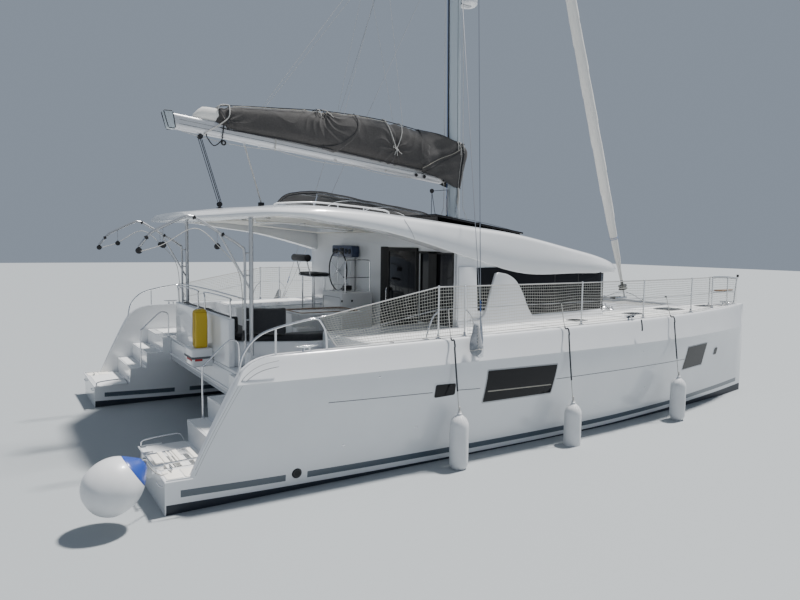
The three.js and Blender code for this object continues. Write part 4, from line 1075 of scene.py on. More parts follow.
@dataclass
class RigidTop:
    """The rigid top over cockpit and saloon with its rails, hatches and panel."""

    sections: int = 84
    hatch: tuple[float, float, float, float] = (-3.25, -1.8, 0.5, 1.98)

    def ring(self, x: float) -> list[Point]:
        """One closed section."""
        port = top_profile(x)
        starboard = [(-y, z) for y, z in reversed(port[:-1])]
        return [(x, y, z) for y, z in (*port, *starboard)]

    def shell(self) -> Shape:
        """The top with its ceiling and the helm hatch cut."""
        xs = eased(-5.5, 3, self.sections)
        body = loft_part([self.ring(x) for x in xs])
        soft = [(x, ceiling_z(x)) for x in spread(-4.55, 1.15, 24)]
        line = rounded(
            [
                (-4.6, 2.5, 0), (-4.6, 3.57, 0.04), *[(x, z, 0) for x, z in soft], (1.95, 2.9, 0),
                (2.3, 2.76, 0), (2.3, 2.5, 0)
            ]
        )
        ceiling = prism_part(line, Plane.XZ, -2.48, 2.48)
        x0, x1, y0, y1 = self.hatch
        plan = oblong(x0, x1, y0, y1, 0.14, 6)
        return carve(body, [ceiling, prism_part(plan, Plane.XY, 3, 4.2)])

    def build(self) -> None:
        """Makes the top and what stands on it."""
        top = Piece("rigid_top")
        top.add(self.shell(), GELCOAT)
        top.done(["hardtop"], angle=38, bevel=0.006)
        self.trims()
        self.handrails()
        self.hatches()
        self.panel()

    def trims(self) -> None:
        """Joint line across the top, the hatch's rim, ceiling panels and lamps."""
        piece = Piece("rigid_top_trim")
        rows = [
            (k, min(-2.44, -2.6 + 0.62 * max(0, 3.56 - z))) for k, (_, y, z) in enumerate(self.ring(-2.5))
            if y < 0 and z < 3.6
        ]
        seam = [self.ring(x)[k] for k, x in rows][:-3]
        piece.both(tube_part(seam, 0.0055, 6), SEAL_AND_SHADOW_GREY)
        x0, x1, y0, y1 = self.hatch
        plan = oblong(x0, x1, y0, y1, 0.14, 8)
        piece.tube(GELCOAT, [(x, y, roof_z(x, y) + 0.004) for x, y in plan], 0.022, 8, closed=True)
        under = [(x, ceiling_z(x)) for x in spread(-4.57, 1.1, 24)]
        liner = prism_part(
            [*[(x, z - 0.006) for x, z in under], *[(x, z + 0.002) for x, z in reversed(under)]], Plane.XZ,
            -2.46, 2.46
        )
        piece.add(carve(liner, [prism_part(plan, Plane.XY, 3, 4.2)]), CEILING_WHITE)
        for x in (-4.3, -3.2):
            for y in (-1.45, -0.3):
                z = ceiling_z(x) - 0.008
                piece.lathe(
                    STEEL, [(0, -0.012), (0.045, -0.012), (0.055, 0), (0.055, 0.01), (0, 0.01)], (x, y, z),
                    UP, 20
                )
                piece.lathe(
                    CEILING_WHITE, [(0, -0.016), (0.035, -0.016), (0.035, 0), (0, 0)], (x, y, z), UP, 16
                )
        for y in (-2.3, -0.02):
            rail = [(x, y, ceiling_z(x) - 0.012) for x in spread(-4.5, -1.75, 22)]
            piece.tube(CEILING_WHITE, rail, 0.016, 8)
        rail = [(x, -0.9, ceiling_z(x) - 0.07) for x in spread(-4.3, -2.5, 14)]
        rail = [
            (rail[0][0] - 0.02, -0.9, rail[0][2] + 0.085), *rail,
            (rail[-1][0] + 0.02, -0.9, rail[-1][2] + 0.085)
        ]
        piece.tube(STEEL, rail, 0.0125, 10)
        piece.done(angle=35)

    def handrails(self) -> None:
        """White grab rails on both edges of the top."""
        piece = Piece("roof_grab_rails")
        y = -2.3
        rail = [(x, y, roof_z(x, y) + 0.046) for x in spread(-4.48, -2.66, 18)]
        aft = [(-4.54, y, roof_z(-4.54, y) - 0.01), (-4.52, y, rail[0][2] - 0.02)]
        fore = [(-2.6, y, rail[-1][2] - 0.022), (-2.58, y, roof_z(-2.58, y) - 0.01)]
        piece.both(tube_part([*aft, *rail, *fore], 0.0125, 10), GELCOAT)
        for x in (-3.9, -3.5, -3.05):
            piece.both(rod_part((x, y, roof_z(x, y) - 0.01), (x, y, roof_z(x, y) + 0.045), 0.01), GELCOAT)
        piece.done(angle=40)

    def hatches(self) -> None:
        """Three dark acrylic hatches on the fore part of the top."""
        piece = Piece("roof_hatches")
        for x, y in ((1.75, -1.25), (1.75, 0.75), (0.95, 1.55)):
            slope = (roof_z(x + 0.3, y) - roof_z(x - 0.3, y)) / 0.6
            lean = (roof_z(x, y + 0.25) - roof_z(x, y - 0.25)) / 0.5
            for half, thick, lift, radius, finish in (
                (0.27, 0.03, 0, 0.06, ALLOY), (0.235, 0.014, 0.027, 0.05, DARK_GLASS)
            ):
                plan = oblong(-half, half, -half, half, radius, 6)
                part = prism_part(plan, Plane.XY, 0, thick, 0.006)
                tilt = Matrix(((1, 0, 0, 0), (0, 1, 0, 0), (slope, lean, 1, 0), (0, 0, 0, 1)))
                bmesh.ops.transform(
                    part, matrix=Matrix.Translation((x, y, roof_z(x, y) - 0.012 + lift)) @ tilt,
                    verts=part.verts
                )
                piece.add(part, finish)
        piece.done(angle=30)

    def panel(self) -> None:
        """The dark panel with thin dark lines across it."""
        piece = Piece("deck_panel")
        low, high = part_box("roof_panel")
        piece.dress("roof_panel", DARK_GLASS, 0.006, 2)
        for t in spread(0.08, 0.92, 7):
            y = low[1] + (high[1] - low[1]) * t
            line = []
            for x in spread(low[0] + 0.03, high[0] - 0.03, 12):
                line.append((x, y, along(TOP_ROWS, 2, x) + CROWN + 0.07 + 0.0365))
            piece.tube(RUBBER, line, 0.0035, 5)
        piece.done(["roof_panel"], angle=30)


@dataclass
class Cabin:
    """Saloon walls, the dark glazing that runs round them and the white side panels."""

    def build(self) -> None:
        """Makes the walls and the glazing."""
        for name in ("cabin_side_starboard", "cabin_side_port", "cabin_front"):
            piece = Piece(f"{name}_wall")
            piece.dress(name, GELCOAT, 0.005, 2, 40)
            piece.done([name], angle=30)
        self.side_glazing()
        self.front_glazing()
        self.side_panels()
        self.sills()

    def glass_outline(self) -> list[Pair]:
        """(x, z) outline of the dark band on a side wall, up to the rigid top."""
        upper = [(x, along(TOP_ROWS, 3, x) + 0.02) for x in spread(1.84, -1.25, 26)]
        start = [
            (-1.46, 2.835, 0.02), (-1.42, 2.12, 0.05), (-0.9, 2.12, 0.03), (-0.2, 2, 0.05), (1.84, 2, 0.02)
        ]
        head = [(x, z, 0) for x, z in upper if z < 2.845 or x > -0.3]
        return rounded([*start, *head, (-0.62, 2.845, 0)], 5)

    def side_glazing(self) -> None:
        """Dark band on each side wall, with thin uprights."""
        piece = Piece("side_glazing")
        piece.both(prism_part(self.glass_outline(), Plane.XZ, -2.812, WALL_Y, 0.003), DARK_GLASS)
        for x in (0.62, 1.22):
            piece.both(box_part((x - 0.012, -2.8155, 2.03), (x + 0.012, -2.811, 2.7), 0.002), RUBBER)
        piece.both(box_part((-0.2, -2.815, 1.985), (1.84, -2.8012, 2.003), 0.003), RUBBER)
        piece.done(angle=30)

    def front_line(self, out: float) -> list[Pair]:
        """Plan of the cabin front, pushed out."""
        corner = [
            (1.85, -2.8 - out), (2.2 + out * 0.8, -2.45 - out * 0.8), (2.38 + out, -1.5), (2.45 + out, -0.5)
        ]
        soft = smooth_line(corner, 6)
        return [*soft, *[(x, -y) for x, y in reversed(soft)]]

    def front_glazing(self) -> None:
        """Dark band round the front, with uprights at the turns, and the inner side panes."""
        piece = Piece("front_glazing")
        outer, inner = self.front_line(0.01), self.front_line(0.001)
        piece.add(prism_part([*outer, *reversed(inner)], Plane.XY, 2.01, 2.706, 0.002), DARK_GLASS)
        rims = self.front_line(0.014)
        for z in (2.005, 2.7):
            piece.tube(RUBBER, [(x, y, z) for x, y in rims], 0.009, 6)
        for i in (4, 10, 15, len(rims) - 16, len(rims) - 11, len(rims) - 5):
            x, y = rims[i]
            piece.rod(RUBBER, (x, y, 2), (x, y, 2.71), 0.011, sides=8)
        piece.done(["front_glass"], angle=30)
        for side in Side:
            inner_pane = Piece(f"side_pane_{side.word}")
            inner_pane.add(frame_part(f"side_glass_{side.word}"), TINTED)
            inner_pane.done([f"side_glass_{side.word}"])

    def side_panels(self) -> None:
        """White panel like a fin over each side band."""
        piece = Piece("side_fins")
        front = smooth_line(
            [
                (-0.74, 2.758), (-0.52, 2.715), (-0.33, 2.6), (-0.17, 2.38), (-0.05, 2.14), (0.1, 1.96),
                (0.3, 1.9)
            ], 5
        )
        aft = smooth_line(
            [(-1.48, 1.885), (-1.22, 1.93), (-1.05, 2.02), (-0.98, 2.16), (-0.9, 2.44), (-0.8, 2.74)], 5
        )
        outline = [*front, (0.36, 1.86), (-1.52, 1.84), *aft]
        piece.both(prism_part(list(reversed(outline)), Plane.XZ, -2.856, WALL_Y, 0.012, 3), GELCOAT)
        piece.both(
            prism_part(
                [(-1.56, 2.86), (-1.56, 1.86), (-1.46, 1.86), (-1.16, 2.12), (-1.2, 2.86)], Plane.XZ, -2.83,
                WALL_Y, 0.008, 2
            ), GELCOAT
        )
        piece.done(angle=30)

    def sills(self) -> None:
        """Rounded foot along each side wall, where it meets the deck."""
        piece = Piece("cabin_foot")
        section = (
            (-2.79, -0.02), (-2.79, 0.11), (-2.815, 0.11), (-2.85, 0.07), (-2.875, 0.02), (-2.89, -0.02)
        )
        rings = [[(x, y, deck_z(x) + h) for y, h in section] for x in spread(-1.58, 1.85, 18)]
        piece.both(loft_part(rings), GELCOAT)
        front = self.front_line(0)
        lip = tube_part([(x, y, max(deck_z(x) + 0.02, 1.92)) for x, y in front], 0.03, 8)
        piece.add(lip, GELCOAT)
        piece.done(angle=40)


@dataclass
class Bulkhead:
    """The glazed wall between cockpit and saloon, with its sliding door."""

    face: float = BULKHEAD_X

    def bar(self, low: Pair, high: Pair, proud: float, finish: Finish, piece: Piece) -> None:
        """A flat bar on the cockpit side of the wall.

        Args:
            low: its low (y, z) corner.
            high: its high (y, z) corner.
            proud: how far it stands off.
            finish: its finish.
            piece: the piece that takes it.
        """
        piece.box(finish, (self.face - proud, low[0], low[1]), (self.face + 0.0002, high[0], high[1]), 0.003)

    def build(self) -> None:
        """Makes wall, pane and door."""
        wall = Piece("aft_wall")
        wall.dress("aft_bulkhead", GELCOAT, 0.004, 2, 40)
        wall.done(["aft_bulkhead"], angle=30)
        pane = Piece("aft_pane")
        pane.add(frame_part("bulkhead_pane"), DARK_GLASS)
        pane.done(["bulkhead_pane"], angle=30)
        trim = Piece("aft_wall_frames")
        for low, high in ((-2.8, -2.757), (-2.31, -2.08), (-1.775, -1.745), (-1.31, -1.21)):
            self.bar((low, 1.9), (high, 3.09), 0.012, RUBBER, trim)
        for z in (1.885, 3.075):
            self.bar((-2.79, z - 0.02), (-1.25, z + 0.02), 0.012, RUBBER, trim)
        self.bar((-0.72, 1.32), (-0.45, 3.16), 0.006, RUBBER, trim)
        for z in (1.62, 1.72):
            trim.box(SEAL_AND_SHADOW_GREY, (-1.655, -2.6, z), (-1.6402, -1.9, z + 0.02), 0.004)
        trim.lathe(BLACK, [(0, 0.02), (0.05, 0.02), (0.062, 0), (0, 0)], (-1.64, -2.62, 1.55), (-1, 0, 0), 20)
        trim.done(angle=30)
        door = Piece("sliding_door", "door")
        low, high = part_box("saloon_door")
        door.box(DARK_GLASS, tuple(low), tuple(high), 0.003)
        for y in (low[1] + 0.028, high[1] - 0.028):
            door.box(
                RUBBER, (low[0] - 0.008, y - 0.028, low[2]), (high[0] + 0.0005, y + 0.028, high[2]), 0.004
            )
        for z in (low[2] + 0.035, high[2] - 0.03):
            door.box(
                RUBBER, (low[0] - 0.007, low[1] + 0.04, z - 0.035),
                (high[0] + 0.0004, high[1] - 0.04, z + 0.03), 0.004
            )
        handle_y = high[1] - 0.03
        grip = smooth_line(
            [
                (low[0] - 0.006, handle_y, 2.1), (low[0] - 0.045, handle_y, 2.13),
                (low[0] - 0.05, handle_y, 2.25), (low[0] - 0.045, handle_y, 2.37),
                (low[0] - 0.006, handle_y, 2.4)
            ], 5
        )
        door.tube(STEEL, grip, 0.009, 10)
        door.done(["saloon_door"], angle=30)


@dataclass
class Cockpit:
    """Sole, benches, cushions and table under the rigid top."""

    def build(self) -> None:
        """Makes the cockpit's parts."""
        floor = Piece("bridge_moulding")
        floor.dress("bridgedeck", GELCOAT, 0.012, 3, 35)
        floor.done(["bridgedeck"], angle=32)
        self.treads()
        self.bench()
        self.cushions()
        self.table()
        self.lounge()

    def treads(self) -> None:
        """Panels of non-slip on the cockpit sole."""
        piece = Piece("cockpit_non_slip")
        for x0, x1, y0, y1 in ((-3.78, -1.72, -1.4, 0.24), (-3.1, -1.72, -2.6, -2.16)):
            piece.add(prism_part(oblong(x0, x1, y0, y1, 0.06), Plane.XY, SOLE_Z, SOLE_Z + 0.0025), NONSKID)
        piece.done(angle=30)

    def bench(self) -> None:
        """The moulded bench with rounded edges and a recess line."""
        piece = Piece("cockpit_seat_moulding")
        piece.dress("cockpit_bench", GELCOAT, 0.02, 3, 35)
        for y in (-0.9, 0.3):
            lid = oblong(-4.78, -4.4, y, y + 0.75, 0.03, 4)
            piece.tube(GROOVE, [(x, v, 1.6905) for x, v in lid], 0.004, 5, closed=True)
        for y in (-1.2, -0.2, 0.8):
            piece.box(SEAL_AND_SHADOW_GREY, (-4.336, y, 1.38), (-4.3285, y + 0.62, 1.62), 0.003)
        piece.done(["cockpit_bench"], angle=32)

    def pad(
        self, name: str, outline: Sequence[tuple[float, float, float]], low: float, high: float,
        finish: Finish, swell: float = 0.02
    ) -> bpy.types.Object:
        """A padded seat cushion that swells between its piped edges.

        Args:
            name: the piece's name.
            outline: (x, y, radius) corners.
            low: its underside.
            high: its top before it swells.
            finish: its cloth.
            swell: how far the middle may rise.

        Returns:
            The cushion.
        """
        plan = rounded(outline, 4)
        bm = prism_part(plan, Plane.XY, low, high)
        soften(bm, min(0.02, (high - low) * 0.3), 2, 40)
        thing = inflate(bm, swell, 0.026)
        piece = Piece(name)
        piece.add(thing, finish)
        rim = rounded(outline, 8)
        for z in (low + 0.018, high - 0.012):
            piece.tube(CANVAS_TRIM_AND_CREASE_SHADE, [(x, y, z) for x, y in rim], 0.006, 6, closed=True)
        made = piece.done([], angle=60)
        return made

    def cushions(self) -> None:
        """Seat and back cushions of the bench."""
        low, high = 1.6903, 1.775
        runs = [
            [(-4.87, 0.02, 0.04), (-4.36, 0.02, 0.04), (-4.36, 1.46, 0.05), (-4.87, 1.46, 0.05)],
            [(-4.87, -1.52, 0.05), (-4.36, -1.6, 0.05), (-4.36, -0.01, 0.04), (-4.87, -0.01, 0.04)],
            [
                (-4.83, -1.57, 0.04), (-3.86, -2.04, 0.05), (-3.2, -2.04, 0.04), (-3.2, -1.63, 0.04),
                (-4.32, -1.63, 0.04)
            ], [(-3.17, -2.04, 0.04), (-2, -2.04, 0.05), (-2, -1.63, 0.05), (-3.17, -1.63, 0.04)]
        ]
        made = [self.pad(f"seat_cushion_{i + 1}", run, low, high, SEAT_DARK) for i, run in enumerate(runs)]
        for cushion in made:
            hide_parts("bench_cushion")
        for i, (y0, y1) in enumerate(((-1.5, -0.02), (0.01, 1.47))):
            bm = box_part((-4.895, y0, 1.8), (-4.8, y1, 2.07), 0.02, 2)
            shape = inflate(bm, 0.02, 0.026)
            piece = Piece(f"back_cushion_{i + 1}")
            piece.add(shape, SEAT_DARK)
            made_back = piece.done(angle=60)

    def table(self) -> None:
        """The cockpit table with folding leaves and a timber rim."""
        piece = Piece("cockpit_table_dressed")
        piece.dress("cockpit_table", GELCOAT, 0.01, 3, 35)
        low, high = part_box("cockpit_table")
        for x in spread(low[0] + 0.4, high[0] - 0.4, 2):
            piece.box(
                GROOVE, (x - 0.002, low[1] + 0.01, high[2] - 0.001),
                (x + 0.002, high[1] - 0.01, high[2] + 0.001), 0
            )
        grip = oblong(low[0] + 0.05, high[0] - 0.05, low[1] + 0.05, high[1] - 0.05, 0.08)
        piece.tube(TIMBER, [(x, y, high[2] + 0.005) for x, y in grip], 0.009, 8, closed=True)
        piece.done(["cockpit_table"], angle=32)

    def lounge(self) -> None:
        """Loose back cushion on the bench's slanted corner."""
        a, b = Vector((-4.8, -1.64, 0)), Vector((-4.18, -1.94, 0))
        run = (b - a).normalized()
        across = Vector((-run.y, run.x, 0))
        lean = Vector((0, 0, 1)) + across * 0.1
        bm = box_part((-0.5, -0.5, -0.5), (0.5, 0.5, 0.5))
        for vert in bm.verts:
            u, v, w = vert.co
            base = (a + b) / 2 + Vector((0, 0, 2.005))
            vert.co = base + run * (u * (b - a).length) + across * (v * 0.095 + 0.06) + lean * (w * 0.43)
        soften(bm, 0.025, 2)
        piece = Piece("corner_back_cushion")
        piece.add(inflate(bm, 0.02, 0.022), SEAT_DARK)
        piece.done(angle=60)


@dataclass
class Helm:
    """The raised helm on the port side."""

    wheel_at: Point = (-1.81, 1.04, 2.64)
    radius: float = 0.41
    legs: Outline = ((-2.6, 0.58), (-2.6, 1.07), (-2.34, 0.58), (-2.34, 1.07))

    def build(self) -> None:
        """Makes the helm station with its pod, wheel, seat and winches."""
        self.station()
        self.pod()
        self.wheel()
        self.seat()
        self.winches()

    def station(self) -> None:
        """Moulded floor, step, locker and console, with the grab rail on the locker."""
        piece = Piece("helm_moulding")
        for low, high, edge in (
            ((-3.05, 0.56, 1.3003), (-1.64, 2.08, 1.84), 0.022),
            ((-3.05, 0.3, 1.3003), (-2.65, 0.565, 1.57), 0.018),
            ((-2.4, -0.3, 1.3003), (-1.73, 0.565, 2.28), 0.03)
        ):
            piece.box(GELCOAT, low, high, edge, 3)
        y = self.wheel_at[1]
        sides = [
            (BULKHEAD_X, 1.83), (-1.76, 1.83), (-1.74, 2.88), (-1.72, 2.93), (-1.66, 3.08), (BULKHEAD_X, 3.1)
        ]
        piece.add(prism_part(sides, Plane.XZ, y - 0.44, y + 0.44, 0.014, 3), GELCOAT)
        for low, high, z in (((-2.98, 0.62), (-1.82, 2.02), 1.84), ((-3, 0.34), (-2.7, 0.54), 1.57)):
            plan = rounded([(*low, 0.05), (high[0], low[1], 0.05), (*high, 0.05), (low[0], high[1], 0.05)])
            piece.add(prism_part(plan, Plane.XY, z, z + 0.0025), NONSKID)
        door = oblong(-0.24, 0.5, 1.4, 2.18, 0.04, 4)
        piece.tube(GROOVE, [(-2.401, v, z) for v, z in door], 0.004, 5, closed=True)
        piece.box(BLACK, (-2.41, -0.304, 2.1), (-2.38, -0.296, 2.14), 0.002)
        for x, z in ((-2.18, 2.12), (-2.18, 1.52)):
            piece.lathe(BLACK, [(0, 0.006), (0.018, 0.005), (0.022, 0), (0, 0)], (x, -0.3, z), (0, -1, 0), 18)
        piece.done(["helm_station"], angle=32)
        rail = Piece("helm_grab_rail")
        top = [
            (-2.3, 2.27), (-2.3, 2.8), (-2.28, 2.88), (-2.2, 2.9), (-1.87, 2.9), (-1.79, 2.88), (-1.77, 2.8),
            (-1.77, 2.27)
        ]
        rail.tube(STEEL, [(x, -0.25, z) for x, z in smooth_line(top, 5)], 0.0125, 10)
        rail.rod(STEEL, (-2.3, -0.25, 2.56), (-1.77, -0.25, 2.56), 0.01)
        for x in (-2.3, -1.77):
            rail.lathe(
                STEEL, [(0, 0), (0.034, 0), (0.034, 0.006), (0.014, 0.012), (0, 0.012)], (x, -0.25, 2.28), UP,
                18
            )
        rail.done(angle=40)

    def pod(self) -> None:
        """Wide, low instrument pod over the console, and the throttle box on the locker."""
        pod = Piece("instrument_pod")
        face = rounded([(0.42, 2.93, 0.04), (1.32, 2.93, 0.04), (1.32, 3.17, 0.05), (0.42, 3.17, 0.05)], 5)
        pod.add(prism_part(face, Plane.YZ, -1.81, -1.6405, 0.018, 3), POD_BLUE)
        for y, r in ((0.52, 0.055), (0.67, 0.055), (1.08, 0.055), (1.22, 0.055)):
            rim = [(0, 0.008), (r * 0.84, 0.008), (r * 0.9, 0.014), (r, 0.01), (r, 0), (0, 0)]
            pod.lathe(BLACK, rim, (-1.81, y, 3.05), (-1, 0, 0), 28)
            pod.lathe(
                DARK_GLASS, [(0, 0.009), (r * 0.8, 0.009), (r * 0.8, 0), (0, 0)], (-1.8105, y, 3.05),
                (-1, 0, 0), 24
            )
        pod.box(DARK_GLASS, (-1.816, 0.77, 2.98), (-1.8, 0.97, 3.12), 0.006)
        door = oblong(0.76, 1.34, 2.02, 2.34, 0.03, 4)
        pod.tube(GROOVE, [(-1.7575, y, z) for y, z in door], 0.004, 5, closed=True)
        pod.box(BLACK, (-2.02, 0.3, 2.2803), (-1.86, 0.44, 2.37), 0.02, 3)
        for y in (0.335, 0.405):
            pod.rod(STEEL, (-1.94, y, 2.38), (-2, y, 2.53), 0.007)
            pod.ball(BLACK, (-2.002, y, 2.535), (0.016, 0.016, 0.016), 14)
        pod.done(angle=30)

    def wheel(self) -> None:
        """The steering wheel with its thin leather rim."""
        piece = Piece("steering_wheel", "wheel")
        x, y, z = self.wheel_at

        def at(angle: float, reach: float) -> Point:
            """A point of the wheel's plane."""
            return (x, y + cos(angle) * reach, z + sin(angle) * reach)

        piece.tube(BLACK, [at(a, self.radius) for a in turns(72)], 0.0145, 12, closed=True)
        for i in range(6):
            angle = pi / 2 + i * pi / 3
            piece.rod(STEEL, at(angle, 0.03), at(angle, self.radius - 0.008), 0.01, 0.0065, 10)
        for angle in turns(48):
            run = (0, -sin(angle), cos(angle))
            stitch = [(0.0146, -0.0012), (0.0155, 0), (0.0146, 0.0012)]
            piece.lathe(RUBBER, stitch, at(angle, self.radius), run, 10)
        hub = [
            (0, 0.03), (0.02, 0.029), (0.034, 0.022), (0.046, 0.008), (0.046, -0.02), (0.03, -0.025),
            (0.0195, -0.03), (0.0195, -0.105), (0, -0.105)
        ]
        piece.lathe(STEEL, hub, (x, y, z), (-1, 0, 0), 28)
        piece.done(["helm_wheel"], angle=35)

    def seat(self) -> None:
        """Helm seat on tube legs, with a roll for the back."""
        frame_piece = Piece("helm_seat_frame")
        for x, y in self.legs:
            frame_piece.rod(STEEL, (x, y, 1.838), (x, y, 2.552), 0.0155, sides=14)
            foot = [(0, 0), (0.04, 0), (0.04, 0.006), (0.018, 0.014), (0, 0.014)]
            frame_piece.lathe(STEEL, foot, (x, y, 1.842), UP, 18)
        for y in (0.58, 1.07):
            frame_piece.rod(STEEL, (-2.6, y, 2.1), (-2.34, y, 2.1), 0.01)
            frame_piece.rod(STEEL, (-2.64, y, 2.555), (-2.735, y, 2.9), 0.0125, sides=14)
        frame_piece.rod(STEEL, (-2.34, 0.58, 2.1), (-2.34, 1.07, 2.1), 0.01)
        frame_piece.box(ALLOY, (-2.66, 0.49, 2.545), (-2.26, 1.16, 2.559), 0.004)
        frame_piece.done(angle=40)
        cushion = Piece("helm_seat_cushion")
        cushion.add(
            inflate(box_part((-2.665, 0.48, 2.562), (-2.255, 1.17, 2.612), 0.018, 2), 0.016, 0.018), SEAT_DARK
        )
        cushion.done(angle=60)
        roll = Piece("helm_back_roll")
        profile = [
            (0, 0), (0.052, 0), (0.064, 0.006), (0.068, 0.02), (0.068, 0.67), (0.064, 0.684), (0.052, 0.69),
            (0, 0.69)
        ]
        roll.lathe(SEAT_DARK, profile, (-2.74, 0.48, 2.915), (0, 1, 0), 32)
        for y in (0.495, 1.155):
            roll.tube(
                CANVAS_TRIM_AND_CREASE_SHADE, [(-2.74 + 0.069 * cos(a), y, 2.915 + 0.069 * sin(a)) for a in turns(32)], 0.003,
                6, closed=True
            )
        roll.done(angle=50)

    def winches(self) -> None:
        """Two winches and rope clutches on the rigid top, beside the helm."""
        piece = Piece("helm_winches")
        for x, y, size in ((-2.05, 2.28, 1), (-1.45, 2.26, 0.9)):
            base = roof_z(x, y) - 0.012
            piece.add(winch_part((x, y, base), size), STEEL)
            piece.lathe(
                BLACK, [(0, 0), (0.105 * size, 0), (0.105 * size, 0.02), (0, 0.02)], (x, y, base - 0.006), UP,
                28
            )
        for i in range(5):
            y = 2.12 - 0.062 * i
            base = roof_z(-1.05, y) - 0.006
            body = box_part((-1.16, y - 0.024, base), (-0.94, y + 0.024, base + 0.055), 0.01)
            piece.add(body, BLACK)
            lever = box_part((-1.15, y - 0.012, base + 0.056), (-1.01, y + 0.012, base + 0.07), 0.004)
            piece.add(lever, (ALLOY, ROPE_BLUE, RED, ALLOY, BLACK)[i])
        piece.done(angle=35)


def winch_part(at: Point, size: float) -> Shape:
    """A self-tailing winch."""
    profile = [
        (0, 0), (0.095, 0), (0.098, 0.006), (0.096, 0.022), (0.078, 0.03), (0.066, 0.042), (0.058, 0.065),
        (0.06, 0.088), (0.068, 0.1), (0.078, 0.104), (0.08, 0.109), (0.064, 0.113), (0.064, 0.119),
        (0.081, 0.124), (0.082, 0.13), (0.07, 0.134), (0.04, 0.137), (0.022, 0.138), (0.02, 0.13), (0, 0.13)
    ]
    return lathe_part([(r * size, h * size) for r, h in profile], at, UP, 32)


@dataclass
class Canopy:
    """Cloth roof over the helm, arched across, its binding and the bent tubes below it."""

    arch: Outline = (
        (-2.6, 4.205), (-2.45, 4.205), (-2.3, 4.185), (-1.97, 4.148), (-1.59, 4.088), (-1.16, 4.035),
        (-0.63, 3.97), (-0.05, 3.884), (0.28, 3.765)
    )
    edges: Pair = (0.42, 2.48)
    hoops: Outline = ((-2.57, -2.66), (-1.5, -1.7), (-0.62, -0.6))

    def height(self, x: float, y: float = 0.42) -> float:
        """Height of the cloth over a place."""
        low, high = self.edges
        across = (2 * y - low - high) / (high - low)
        rise = along(((-2.6, 0.045), (-1.6, 0.088), (-0.6, 0.095), (0.28, 0.05)), 1, x)
        drop = 0.26 * max(0, across - 0.3) ** 2
        return along(self.arch, 1, x) + rise * (1 - across * across) - drop

    def build(self) -> None:
        """Makes the cloth and its binding."""
        low, high = self.edges
        start, end = self.arch[0][0], self.arch[-1][0]

        def place(u: float, v: float) -> Point:
            """A point of the cloth, which sags a little between its hoops and pulls in at its edges."""
            x = start + (end - start) * u
            hoop = min(abs(x - h[0]) for h in self.hoops)
            pull = min(1, hoop / 0.5)
            y = low + 0.03 * pull * sin(pi * u) + (high - low) * v
            sag = 0.016 * pull * sin(pi * v)
            wrinkle = 0.0035 * sin(31 * u + 9 * v) * sin(17 * v + 3 * u)
            return (x, y, self.height(x, y) - sag + wrinkle)

        sheet = sheet_grid(72, 36, place)
        bmesh.ops.solidify(sheet, geom=list(sheet.faces), thickness=0.004)
        bmesh.ops.recalc_face_normals(sheet, faces=sheet.faces)
        piece = Piece("canopy_cloth")
        piece.add(sheet, CANVAS)
        cloth = piece.done(["helm_canopy"], angle=50)
        reach = length_of(self.arch)
        width = length_of([place(0.4, v) for v in spread(0, 1, 37)])
        hem = Piece("canopy_binding")
        for v in (0, 1):
            hem.tube(CANVAS_TRIM_AND_CREASE_SHADE, [place(u, v) for u in spread(0, 1, 61)], 0.011, 6)
        for u in (0, 1):
            hem.tube(CANVAS_TRIM_AND_CREASE_SHADE, [place(u, v) for v in spread(0, 1, 37)], 0.01, 6)
        for x, _ in self.hoops[1:]:
            seam = [place((x - 0.03 - start) / (end - start), v) for v in spread(0.03, 0.97, 30)]
            hem.tube(CANVAS_TRIM_AND_CREASE_SHADE, [(a, b, c + 0.002) for a, b, c in seam], 0.0035, 5)
        binding = hem.done(angle=50)

    def tubes(self) -> None:
        """Hoops, the tubes that run fore and aft, and their feet."""
        piece = Piece("canopy_tubes")
        low, high = self.edges
        for i, (x, foot) in enumerate(self.hoops):
            over = [(x, y, self.height(x, y) - 0.04) for y in spread(low + 0.03, high - 0.03, 16)]
            far = (foot, high + 0.02, roof_z(foot, high + 0.02) - 0.005)
            far_leg = [over[-1], (x + (foot - x) * 0.15, high + 0.012, over[-1][2] - 0.07), far]
            feet = [far]
            # the aft hoop runs in a sleeve of the cloth
            piece.tube(STEEL if i else CANVAS_TRIM_AND_CREASE_SHADE, over, 0.014, 10)
            piece.tube(STEEL, far_leg, 0.0138, 10)
            if i == 0:
                near = (foot - 0.02, low - 0.01, roof_z(foot, low) - 0.005)
                piece.tube(STEEL, [near, (x - 0.01, low + 0.004, over[0][2] - 0.05), over[0]], 0.0138, 10)
                feet.append(near)
            for x1, y1, z1 in feet:
                piece.lathe(
                    STEEL,
                    [(0, -0.02), (0.032, -0.02), (0.032, 0.006), (0.02, 0.016), (0.016, 0.05), (0, 0.05)],
                    (x1, y1, z1 + 0.005), UP, 20
                )
        for y in (low + 0.03, (low + high) / 2):
            run = [(x, y, self.height(x, y) - 0.036) for x in spread(self.hoops[0][0], 0.24, 30)]
            piece.tube(STEEL, run, 0.011, 8)
        for y in (low + 0.03, high - 0.03):
            top = self.height(0.24, y) - 0.03
            piece.rod(STEEL, (0.24, y, roof_z(0.24, y) - 0.01), (0.24, y, top), 0.011)
        piece.done(["canopy_frame"], angle=40)


